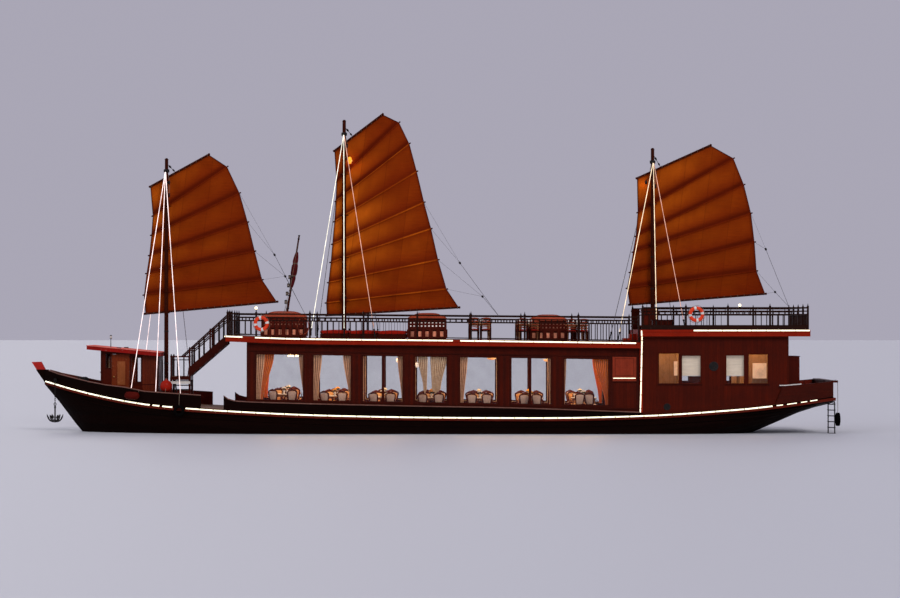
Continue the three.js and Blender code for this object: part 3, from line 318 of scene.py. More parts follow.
class Solid:
    """Collects the faces of one piece before it becomes an object."""

    def __init__(self) -> None:
        """Starts with nothing in it."""
        self.points: list[Vector] = []
        self.faces: list[tuple[int, ...]] = []
        self.skins: list[int] = []

    def add(self, points: Iterable[Point], faces: Iterable[Sequence[int]], skin: int = 0) -> None:
        """Adds points and the faces on them.

        Args:
            points: The corners.
            faces: Their numbers, face by face, counted from 0.
            skin: Which of the piece's finishes the faces get.
        """
        start = len(self.points)
        self.points += [Vector(p) for p in points]
        for face in faces:
            self.faces.append(tuple(start + i for i in face))
            self.skins.append(skin)

    def rings(self, rings: Sequence[Sequence[Point]], skin: int = 0, capped: bool = True,
              looped: bool = False) -> None:
        """Joins rings of points into a skin.

        Args:
            rings: Closed rings, all with the same count.
            skin: Which of the piece's finishes it gets.
            capped: Whether the first and last rings are closed.
            looped: Whether the last ring joins the first.
        """
        n = len(rings[0])
        faces: list[Sequence[int]] = []
        turns = len(rings) if looped else len(rings) - 1
        for i in range(turns):
            a, b = i * n, (i + 1) % len(rings) * n
            faces += [(a + j, a + (j + 1) % n, b + (j + 1) % n, b + j) for j in range(n)]
        if capped and not looped:
            faces += [tuple(range(n))[::-1], tuple(range((len(rings) - 1) * n, len(rings) * n))]
        self.add([p for ring in rings for p in ring], faces, skin)

    def run(self, stops: Iterable[float], line: Callable[[float], tuple[float, float]], section: Pairs
            ) -> None:
        """Runs a moulding along X.

        Args:
            stops: Its stops on X.
            line: The y and z that it follows.
            section: Its corners about that line.
        """
        rings = []
        for x in stops:
            y, z = line(x)
            rings.append([(x, y + out, z + up) for out, up in section])
        self.rings(rings)

    def block(self, low: Point, high: Point, skin: int = 0) -> None:
        """Adds a box between two corners."""
        (a, b, c), (d, e, f) = low, high
        ring = [(a, b), (d, b), (d, e), (a, e)]
        self.rings([[(x, y, c) for x, y in ring], [(x, y, f) for x, y in ring]], skin)

    def bar(self, start: Point, end: Point, wide: float, deep: float) -> None:
        """Adds a square bar between two points.

        Args:
            start: One end's middle.
            end: The other end's middle.
            wide: Its width across.
            deep: Its depth.
        """
        a, b = Vector(start), Vector(end)
        along = (b - a).normalized()
        side = along.cross(Vector((0, 0, 1)))
        side = Vector((1, 0, 0)) if side.length < 1e-3 else side.normalized()
        up = side.cross(along)
        s, u = side * wide / 2, up * deep / 2
        self.rings([[p - s - u, p + s - u, p + s + u, p - s + u] for p in (a, b)])

    def tube(self, path: Sequence[Point], radius: float | Sequence[float], sides: int = 8,
             skin: int = 0, looped: bool = False) -> None:
        """Adds a round tube along a path.

        Args:
            path: Its middle line.
            radius: One radius, or one for each point.
            sides: The count of its faces round.
            skin: Which of the piece's finishes it gets.
            looped: Whether its end joins its start.
        """
        line = [Vector(p) for p in path]
        size = [radius] * len(line) if isinstance(radius, (int, float)) else list(radius)
        rings = []
        side = None
        for i, p in enumerate(line):
            if looped:
                along = line[(i + 1) % len(line)] - line[i - 1]
            else:
                along = line[min(i + 1, len(line) - 1)] - line[max(i - 1, 0)]
            along.normalize()
            if side is None:
                side = along.orthogonal().normalized()
            side = (side - along * side.dot(along)).normalized()
            up = along.cross(side)
            rings.append([p + (side * math.cos(t) + up * math.sin(t)) * size[i] for t in turns(sides)])
        self.rings(rings, skin, capped=not looped, looped=looped)

    def turned(self, profile: Pairs, centre: Point, axis: Point = (0, 0, 1), sides: int = 12) -> None:
        """Adds a turned shape.

        Args:
            profile: Radius and height up the axis, pair by pair, closed by flat ends.
            centre: The foot of the axis.
            axis: Its direction.
            sides: The count of its faces round.
        """
        spin = Vector((0, 0, 1)).rotation_difference(Vector(axis)).to_matrix()
        self.rings([
            [Vector(centre) + spin @ Vector((r * math.cos(t), r * math.sin(t), h)) for t in turns(sides)]
            for r, h in profile
        ])

    def plate(self, outline: Pairs, plane: str, low: float, high: float) -> None:
        """Adds a flat plate from an outline.

        Args:
            outline: Its corners in the plane.
            plane: "xz", "xy" or "yz", the outline's two axes.
            low: Its lower face on the third axis.
            high: Its upper face on the third axis.
        """
        axes = ["xyz".index(c) for c in plane]
        third = 3 - sum(axes)

        def corner(u: float, v: float, w: float) -> list[float]:
            """Returns the outline's corner with its third value."""
            out = [0.0, 0.0, 0.0]
            out[axes[0]], out[axes[1]], out[third] = u, v, w
            return out

        self.rings([[corner(u, v, w) for u, v in outline] for w in (low, high)])

    def frame(self, rect: tuple[float, float, float, float], wide: float, into: float, plane: str,
              low: float, high: float) -> None:
        """Adds a mitred frame round a rectangle.

        Args:
            rect: The rectangle's bounds on the plane's first axis, then on its second.
            wide: How far the frame reaches beyond it.
            into: How far it reaches into it.
            plane: "xz", "xy" or "yz".
            low: Its lower face on the third axis.
            high: Its upper face on the third axis.
        """
        a, b, c, d = rect
        axes = ["xyz".index(k) for k in plane]
        rings = []
        for u, v, su, sv in ((a, c, -1, -1), (b, c, 1, -1), (b, d, 1, 1), (a, d, -1, 1)):
            ring = []
            for far, w in ((wide, low), (wide, high), (-into, high), (-into, low)):
                at = [w, w, w]
                at[axes[0]], at[axes[1]] = u + su * far, v + sv * far
                ring.append(at)
            rings.append(ring)
        self.rings(rings, looped=True)

    def grid(self, rows: Sequence[Sequence[Point]]) -> None:
        """Adds an open sheet from rows of points."""
        n = len(rows[0])
        faces = [
            (i * n + j, i * n + j + 1, (i + 1) * n + j + 1, (i + 1) * n + j)
            for i in range(len(rows) - 1) for j in range(n - 1)
        ]
        self.add([p for row in rows for p in row], faces)

    def mirrored(self) -> "Solid":
        """Returns itself with its copy on the other side."""
        faces = [f[::-1] for f in self.faces]
        start = len(self.points)
        self.points += [Vector((p.x, -p.y, p.z)) for p in self.points]
        self.faces += [tuple(start + i for i in f) for f in faces]
        self.skins += list(self.skins)
        return self

    def mesh(self, name: str, closed: bool = True, sharp: float = 40.0) -> bpy.types.Mesh:
        """Makes the mesh, with its normals out and its sharp edges marked.

        Args:
            name: The mesh's name.
            closed: Whether its shells are closed, so that normals can be set outwards.
            sharp: The angle in degrees over which an edge stays sharp.

        Returns:
            The new mesh.
        """
        data = bpy.data.meshes.new(name)
        data.from_pydata(self.points, [], self.faces)
        data.polygons.foreach_set("material_index", self.skins)
        work = bmesh.new()
        work.from_mesh(data)
        bmesh.ops.remove_doubles(work, verts=work.verts, dist=1e-5)
        if closed:
            bmesh.ops.recalc_face_normals(work, faces=work.faces)
        for face in work.faces:
            face.smooth = True
        for edge in work.edges:
            edge.smooth = edge.is_manifold and edge.calc_face_angle(0.0) < math.radians(sharp)
        work.to_mesh(data)
        work.free()
        return data

    def put(self, name: str, slot: str, finishes: Sequence[bpy.types.Material], nodes: Sequence[str] = (),
            body: str = BOAT, bend: Bend | None = None, sharp: float = 40.0) -> bpy.types.Object:
        """Makes the mesh and puts it into the scene as a piece.

        Args:
            name: The piece's name.
            slot: The record's material slot it takes its finish from.
            finishes: Its materials, in the order of its skins.
            nodes: The CAD nodes that it stands for.
            body: The body it moves with.
            bend: A second body that it bends to, and where the bend starts and ends.
            sharp: The angle in degrees over which an edge stays sharp.

        Returns:
            The new object.
        """
        return place(self.mesh(name, sharp=sharp), name, body, slot, finishes, nodes, bend)


def place(data: bpy.types.Mesh, name: str, body: str, slot: str,
          finishes: Sequence[bpy.types.Material], nodes: Sequence[str] = (),
          bend: Bend | None = None) -> bpy.types.Object:
    """Puts a finished mesh into the scene.

    Args:
        data: The mesh, with its place in it.
        name: The piece's name.
        body: The body it moves with.
        slot: The record's material slot it takes its finish from.
        finishes: Its materials, in the order of its skins.
        nodes: The CAD nodes that it stands for.
        bend: A second body that it bends to, and where the bend starts and ends.

    Returns:
        The new object.
    """
    for finish in finishes:
        data.materials.append(finish)
    piece = bpy.data.objects.new(name, data)
    bpy.context.collection.objects.link(piece)
    if bend:
        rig.blend(piece, body, *bend)
    else:
        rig.ride(piece, body)
    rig.slot(piece, slot)
    if nodes:
        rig.replaces(piece, *nodes)
    LOG.info("%s: %d faces on %s", name, len(data.polygons), body)
    return piece


def unfold(data: bpy.types.Mesh, spot: Callable[[Vector], tuple[float, float]]) -> None:
    """Lays a UV map, in metres, on a sheet from the place of each corner."""
    flat = data.uv_layers.new(name="UVMap")
    for loop in data.loops:
        flat.data[loop.index].uv = spot(data.vertices[loop.vertex_index].co)


def thicken(piece: bpy.types.Object, thickness: float, offset: float = -1.0) -> None:
    """Gives a sheet its thickness."""
    shell = piece.modifiers.new("Thick", "SOLIDIFY")
    shell.thickness = thickness
    shell.offset = offset


def area(data: bpy.types.Mesh) -> float:
    """Returns a sheet's area."""
    return sum(face.area for face in data.polygons)


def rounded(piece: bpy.types.Object, width: float) -> bpy.types.Object:
    """Rounds a piece's edges with a bevel and returns it."""
    bevel = piece.modifiers.new("Rounded", "BEVEL")
    bevel.width = width
    bevel.segments = 2
    bevel.limit_method = "ANGLE"
    bevel.angle_limit = math.radians(40)
    bevel.harden_normals = False
    return piece


class Socket(Enum):
    """The kinds of node group sockets used here."""

    NUMBER = "NodeSocketFloat"
    VECTOR = "NodeSocketVector"
    GEOMETRY = "NodeSocketGeometry"
    MATERIAL = "NodeSocketMaterial"
    OBJECT = "NodeSocketObject"


class Graph:
    """A node tree with short ways to add and join its nodes."""

    def __init__(self, tree: bpy.types.NodeTree) -> None:
        """Holds the tree."""
        self.tree = tree

    def node(self, kind: str, **values: object) -> bpy.types.Node:
        """Adds a node.

        Args:
            kind: The node's type.
            **values: Its properties by name.

        Returns:
            The new node.
        """
        made = self.tree.nodes.new(kind)
        for name, value in values.items():
            setattr(made, name, value)
        return made

    def wired(self, kind: str, inputs: dict[str | int, object], **values: object) -> bpy.types.Node:
        """Adds a node and feeds its inputs.

        Args:
            kind: The node's type.
            inputs: A value or socket for each input, by its name or number.
            **values: Its properties by name.

        Returns:
            The new node.
        """
        made = self.node(kind, **values)
        for key, source in inputs.items():
            self.join(source, made.inputs[key])
        return made

    def join(self, source: object, target: bpy.types.NodeSocket) -> None:
        """Feeds a socket from another socket, or sets it to a plain value."""
        if isinstance(source, bpy.types.NodeSocket):
            self.tree.links.new(source, target)
        else:
            target.default_value = source

    def math(self, operation: str, a: object, b: object = 0.0, clamp: bool = False) -> bpy.types.NodeSocket:
        """Adds a Math node.

        Args:
            operation: What it does.
            a: The first value or socket.
            b: The second value or socket.
            clamp: Whether the result is kept between 0 and 1.

        Returns:
            Its result.
        """
        return self.wired("ShaderNodeMath", {0: a, 1: b}, operation=operation, use_clamp=clamp).outputs[0]

    def mix(self, share: object, a: object, b: object) -> bpy.types.NodeSocket:
        """Adds a colour mix.

        Args:
            share: How much of b shows.
            a: The first colour or socket.
            b: The second colour or socket.

        Returns:
            The mixed colour.
        """
        return self.wired("ShaderNodeMix", {0: share, 6: full(a), 7: full(b)}, data_type="RGBA").outputs[2]

    def spread(self, value: object, low: float, high: float, out: tuple[float, float] = (0.0, 1.0)
               ) -> bpy.types.NodeSocket:
        """Stretches a value from one span to another.

        Args:
            value: The value or socket.
            low: Where the first span starts.
            high: Where it ends.
            out: The second span.

        Returns:
            The stretched value.
        """
        given = dict(enumerate((value, low, high, *out)))
        return self.wired("ShaderNodeMapRange", given, clamp=True).outputs[0]

    def noise(self, vector: object, scale: float, detail: float = 3.0, rough: float = 0.55
              ) -> bpy.types.NodeSocket:
        """Adds a noise texture.

        Args:
            vector: Where it is read.
            scale: Its scale.
            detail: Its detail.
            rough: Its roughness.

        Returns:
            Its value.
        """
        given = {"Vector": vector, "Scale": scale, "Detail": detail, "Roughness": rough}
        return self.wired("ShaderNodeTexNoise", given, noise_dimensions="3D").outputs[0]

    def stretched(self, vector: object, scale: Point) -> bpy.types.NodeSocket:
        """Scales a vector along each axis and returns it."""
        return self.wired("ShaderNodeVectorMath", {0: vector, 1: scale}, operation="MULTIPLY").outputs[0]

    def effect(self, tree: bpy.types.NodeTree, **values: object) -> bpy.types.NodeOutputs:
        """Adds a shared effect.

        Args:
            tree: The effect's node group.
            **values: A value or socket for each of its inputs.

        Returns:
            Its outputs.
        """
        return self.wired("ShaderNodeGroup", values, node_tree=tree).outputs

    def bump(self, height: object, strength: float, depth: float, shader: bpy.types.Node) -> None:
        """Raises a shader's surface.

        Args:
            height: The height at each place.
            strength: How much of it shows.
            depth: Its depth in metres.
            shader: The shader.
        """
        made = self.wired("ShaderNodeBump", {"Strength": strength, "Distance": depth, "Height": height})
        self.join(made.outputs[0], shader.inputs["Normal"])


def blank(name: str) -> tuple[bpy.types.Material, Graph, bpy.types.Node]:
    """Returns a new material with its graph and its shader."""
    material = bpy.data.materials.new(name)
    material.use_nodes = True
    graph = Graph(material.node_tree)
    return material, graph, graph.tree.nodes["Principled BSDF"]


def shaded(colour: Colour, share: float) -> Colour:
    """Returns a colour at a share of its brightness."""
    return tuple(c * share for c in colour)


def full(value: object) -> object:
    """Returns a colour with its alpha, and anything else as it is."""
    return (*value, 1.0) if isinstance(value, (tuple, list)) and len(value) == 3 else value


def group(name: str, inputs: dict[str, tuple[Socket, object]], outputs: dict[str, Socket],
          kind: str = "ShaderNodeTree") -> tuple[Graph, bpy.types.Node, bpy.types.Node]:
    """Makes a node group with named sockets.

    Args:
        name: The group's name.
        inputs: Each input's kind and first value.
        outputs: Each output's kind.
        kind: Shader or geometry tree.

    Returns:
        The graph, its input node and its output node.
    """
    tree = bpy.data.node_groups.new(name, kind)
    for label, (socket, value) in inputs.items():
        made = tree.interface.new_socket(label, in_out="INPUT", socket_type=socket.value)
        if value is not None:
            made.default_value = value
    for label, socket in outputs.items():
        tree.interface.new_socket(label, in_out="OUTPUT", socket_type=socket.value)
    graph = Graph(tree)
    return graph, graph.node("NodeGroupInput"), graph.node("NodeGroupOutput")


class Effects:
    """The shader groups that several finishes share, each built once."""

    def __init__(self) -> None:
        """Builds the groups."""
        self.grain = self.make_grain()
        self.patches = self.make_patches()
        self.boards = self.make_boards()
        self.weave = self.make_weave()

    def make_grain(self) -> bpy.types.NodeTree:
        """Returns wood grain that runs along the stretched axis."""
        g, given, out = group(
            "Grain",
            {"Vector": (Socket.VECTOR, None), "Stretch": (Socket.VECTOR, (1.5, 18.0, 18.0)),
             "Contrast": (Socket.NUMBER, 1.0)},
            {"Streak": Socket.NUMBER, "Height": Socket.NUMBER},
        )
        scaled = g.stretched(given.outputs["Vector"], given.outputs["Stretch"])
        wide = g.noise(scaled, 1.0, 4.0, 0.6)
        fine = g.noise(scaled, 4.0, 2.0, 0.5)
        both = g.math("ADD", g.math("MULTIPLY", wide, 0.7), g.math("MULTIPLY", fine, 0.3))
        streak = g.spread(both, 0.35, 0.65)
        g.join(g.math("MULTIPLY", streak, given.outputs["Contrast"], clamp=True), out.inputs["Streak"])
        g.join(both, out.inputs["Height"])
        return g.tree

    def make_patches(self) -> bpy.types.NodeTree:
        """Returns broad stains and small scuffs."""
        g, given, out = group(
            "Patches",
            {"Vector": (Socket.VECTOR, None), "Size": (Socket.NUMBER, 0.8), "Reach": (Socket.NUMBER, 0.5)},
            {"Stain": Socket.NUMBER, "Scuff": Socket.NUMBER},
        )
        scale = g.math("DIVIDE", 1.0, given.outputs["Size"])
        broad = g.noise(given.outputs["Vector"], scale, 4.0, 0.6)
        small = g.noise(given.outputs["Vector"], g.math("MULTIPLY", scale, 9.0), 3.0, 0.7)
        edge = g.math("SUBTRACT", 0.75, g.math("MULTIPLY", given.outputs["Reach"], 0.3))
        g.join(g.spread(broad, 0.38, 0.66), out.inputs["Stain"])
        over = g.math("SUBTRACT", small, edge)
        g.join(g.math("MULTIPLY", over, 8.0, clamp=True), out.inputs["Scuff"])
        return g.tree

    def make_boards(self) -> bpy.types.NodeTree:
        """Returns the seams between boards and a shade for each board."""
        g, given, out = group(
            "Boards",
            {"Across": (Socket.NUMBER, 0.0), "Width": (Socket.NUMBER, 0.15), "Seam": (Socket.NUMBER, 0.006)},
            {"Seam": Socket.NUMBER, "Shade": Socket.NUMBER, "Height": Socket.NUMBER},
        )
        count = g.math("DIVIDE", given.outputs["Across"], given.outputs["Width"])
        part = g.math("FRACT", count)
        near = g.math("MULTIPLY", g.math("MINIMUM", part, g.math("SUBTRACT", 1.0, part)),
                      given.outputs["Width"])
        inside = g.math("DIVIDE", near, given.outputs["Seam"], clamp=True)
        g.join(g.math("SUBTRACT", 1.0, inside), out.inputs["Seam"])
        g.join(inside, out.inputs["Height"])
        white = g.node("ShaderNodeTexWhiteNoise", noise_dimensions="1D")
        g.join(g.math("FLOOR", count), white.inputs["W"])
        g.join(white.outputs["Value"], out.inputs["Shade"])
        return g.tree

    def make_weave(self) -> bpy.types.NodeTree:
        """Returns the height and shade of woven threads."""
        g, given, out = group(
            "Weave",
            {"Vector": (Socket.VECTOR, None), "Threads": (Socket.NUMBER, 120.0)},
            {"Height": Socket.NUMBER, "Slub": Socket.NUMBER},
        )
        parts = g.node("ShaderNodeSeparateXYZ")
        g.join(given.outputs["Vector"], parts.inputs[0])
        waves = []
        for axis in (0, 1):
            turn = g.math("MULTIPLY", parts.outputs[axis], given.outputs["Threads"])
            waves.append(g.math("ABSOLUTE", g.math("SINE", g.math("MULTIPLY", turn, math.pi))))
        g.join(g.math("MULTIPLY", waves[0], waves[1]), out.inputs["Height"])
        slub = g.noise(g.stretched(given.outputs["Vector"], (1.5, 22.0, 1.0)), 1.0, 3.0, 0.6)
        g.join(g.spread(slub, 0.35, 0.65), out.inputs["Slub"])
        return g.tree


EFFECTS = Effects()


class Run(Enum):
    """Which way a finish's boards lie on top of each other."""

    NONE = -1
    X = 0
    Y = 1
    Z = 2


@dataclass(frozen=True)
class Finish:
    """A painted, varnished, cast or moulded finish with its wear."""

    name: str
    colour: Colour
    shade: Colour
    rough: float = 0.5
    metal: float = 0.0
    coat: float = 0.0
    grain: Point = (1.5, 18.0, 18.0)
    streak: float = 0.6
    worn: Colour = (0.12, 0.08, 0.06)
    scuff: float = 0.25
    stain: float = 0.35
    patch: float = 0.9
    boards: Run = Run.NONE
    width: float = 0.15
    seam: float = 0.006
    bump: float = 0.25
    gloss: float = 0.04

    def build(self) -> bpy.types.Material:
        """Builds the material and returns it."""
        material, g, shader = blank(self.name)
        shader.inputs["Specular IOR Level"].default_value = self.gloss
        where = g.node("ShaderNodeTexCoord").outputs["Object"]
        grain = g.effect(EFFECTS.grain, Vector=where, Stretch=self.grain, Contrast=self.streak)
        patches = g.effect(EFFECTS.patches, Vector=where, Size=self.patch)
        colour = g.mix(grain["Streak"], self.colour, self.shade)
        height = g.math("MULTIPLY", grain["Height"], 0.15)
        if self.boards is not Run.NONE:
            parts = g.node("ShaderNodeSeparateXYZ")
            g.join(where, parts.inputs[0])
            boards = g.effect(EFFECTS.boards, Across=parts.outputs[self.boards.value], Width=self.width,
                              Seam=self.seam)
            colour = g.mix(g.math("MULTIPLY", boards["Shade"], 0.5), colour, self.shade)
            colour = g.mix(g.math("MULTIPLY", boards["Seam"], 0.85), colour, shaded(self.shade, 0.25))
            height = g.math("ADD", height, boards["Height"])
        colour = g.mix(g.math("MULTIPLY", patches["Stain"], self.stain), colour, shaded(self.shade, 0.55))
        colour = g.mix(g.math("MULTIPLY", patches["Scuff"], self.scuff), colour, self.worn)
        g.join(colour, shader.inputs["Base Color"])
        g.join(g.spread(patches["Stain"], 0.0, 1.0, (self.rough - 0.08, self.rough + 0.12)),
               shader.inputs["Roughness"])
        shader.inputs["Metallic"].default_value = self.metal
        shader.inputs["Coat Weight"].default_value = self.coat * 0.12
        shader.inputs["Coat Roughness"].default_value = 0.15
        g.bump(height, self.bump, 0.01, shader)
        return material


@dataclass(frozen=True)
class Cloth:
    """A woven cloth that reads the piece's own UV map, in metres, with painted light and shade from the mesh where it
    has them.
    """

    name: str
    colour: Colour
    shade: Colour
    rough: float = 0.85
    threads: float = 120.0
    seams: float = 0.0
    sheen: float = 0.03
    stain: float = 0.3
    patch: float = 1.6
    alpha: float = 1.0
    glow: float = 0.0
    bump: float = 0.2
    # Colour of the painted light that spreads where a sail's lit attribute is high.
    lit_colour: Colour | None = None
    # How far the painted shade in a curtain's pleats darkens it.
    folded: float = 0.0

    def build(self) -> bpy.types.Material:
        """Builds the material and returns it."""
        material, g, shader = blank(self.name)
        where = g.node("ShaderNodeUVMap").outputs[0]
        weave = g.effect(EFFECTS.weave, Vector=where, Threads=self.threads)
        patches = g.effect(EFFECTS.patches, Vector=where, Size=self.patch)
        colour = g.mix(g.math("MULTIPLY", weave["Slub"], 0.6), self.colour, self.shade)
        colour = g.mix(g.math("MULTIPLY", patches["Stain"], self.stain), colour, self.shade)
        height = g.math("MULTIPLY", weave["Height"], 0.1)
        shader.inputs["Specular IOR Level"].default_value = 0.02
        # Sails: painted light in patchy streaks where the lit attribute is high, then painted shade at the battens
        # with the dark rope along the edges.
        if self.lit_colour:
            streak = g.noise(g.stretched(where, (1.1, 0.5, 1.0)), 1.0, 4.0, 0.6)
            broad = g.noise(g.stretched(where, (0.22, 0.35, 1.0)), 1.0, 2.0, 0.5)
            patchy = g.math("MULTIPLY", g.spread(streak, 0.30, 0.66, (0.45, 1.0)),
                            g.spread(broad, 0.34, 0.60, (0.40, 1.0)))
            lit = g.node("ShaderNodeAttribute", attribute_name="lit").outputs["Fac"]
            colour = g.mix(g.math("MULTIPLY", lit, patchy), colour, self.lit_colour)
            shade_and_edge = g.node("ShaderNodeAttribute", attribute_name="shade_and_edge").outputs["Fac"]
            colour = g.mix(g.math("MULTIPLY", shade_and_edge, 0.8), colour, shaded(self.shade, 0.45))
        # Curtains: painted shade in the hollows of the pleats.
        if self.folded:
            shade_and_edge = g.node("ShaderNodeAttribute", attribute_name="shade_and_edge").outputs["Fac"]
            colour = g.mix(g.math("MULTIPLY", shade_and_edge, self.folded), colour, shaded(self.shade, 0.4))
        if self.seams:
            parts = g.node("ShaderNodeSeparateXYZ")
            g.join(where, parts.inputs[0])
            boards = g.effect(EFFECTS.boards, Across=parts.outputs[0], Width=self.seams, Seam=0.02)
            colour = g.mix(g.math("MULTIPLY", boards["Shade"], 0.3), colour, self.shade)
            colour = g.mix(g.math("MULTIPLY", boards["Seam"], 0.4), colour, shaded(self.shade, 0.5))
            height = g.math("SUBTRACT", height, g.math("MULTIPLY", boards["Seam"], 0.5))
        g.join(colour, shader.inputs["Base Color"])
        shader.inputs["Roughness"].default_value = self.rough
        shader.inputs["Sheen Weight"].default_value = self.sheen
        shader.inputs["Alpha"].default_value = self.alpha
        # Curtains and blinds glow a little as if lit from behind: painted light, not a lamp.
        if self.glow:
            g.join(colour, shader.inputs["Emission Color"])
            shader.inputs["Emission Strength"].default_value = self.glow
        g.bump(height, self.bump, 0.004, shader)
        return material


@dataclass(frozen=True)
class Lamp:
    """A lit finish, with a slight change of brightness along it."""

    name: str
    colour: Colour
    strength: float = 4.0
    dim: float = 0.25

    def build(self) -> bpy.types.Material:
        """Builds the material and returns it."""
        material, g, shader = blank(self.name)
        where = g.node("ShaderNodeTexCoord").outputs["Object"]
        flicker = g.spread(g.noise(where, 3.0, 2.0), 0.35, 0.65)
        dimmed = shaded(self.colour, 1 - self.dim)
        g.join(g.mix(flicker, self.colour, dimmed), shader.inputs["Emission Color"])
        shader.inputs["Emission Strength"].default_value = self.strength
        g.join(g.mix(flicker, self.colour, dimmed), shader.inputs["Base Color"])
        shader.inputs["Roughness"].default_value = 0.35
        return material


@dataclass(frozen=True)
class Pane:
    """Thin window glass with a faint film on it."""

    name: str
    alpha: float = 0.07
    tint: Colour = (0.05, 0.07, 0.09)

    def build(self) -> bpy.types.Material:
        """Builds the material and returns it."""
        material, g, shader = blank(self.name)
        where = g.node("ShaderNodeTexCoord").outputs["Object"]
        film = g.noise(where, 1.3, 3.0)
        g.join(g.spread(film, 0.3, 0.7, (0.03, 0.12)), shader.inputs["Roughness"])
        g.join(g.spread(film, 0.3, 0.7, (self.alpha * 0.7, self.alpha * 1.3)), shader.inputs["Alpha"])
        shader.inputs["Base Color"].default_value = full(self.tint)
        shader.inputs["IOR"].default_value = 1.45
        shader.inputs["Specular IOR Level"].default_value = 0.2
        return material


def even(scale: float) -> Point:
    """Returns a grain that is the same along all three axes."""
    return (scale, scale, scale)


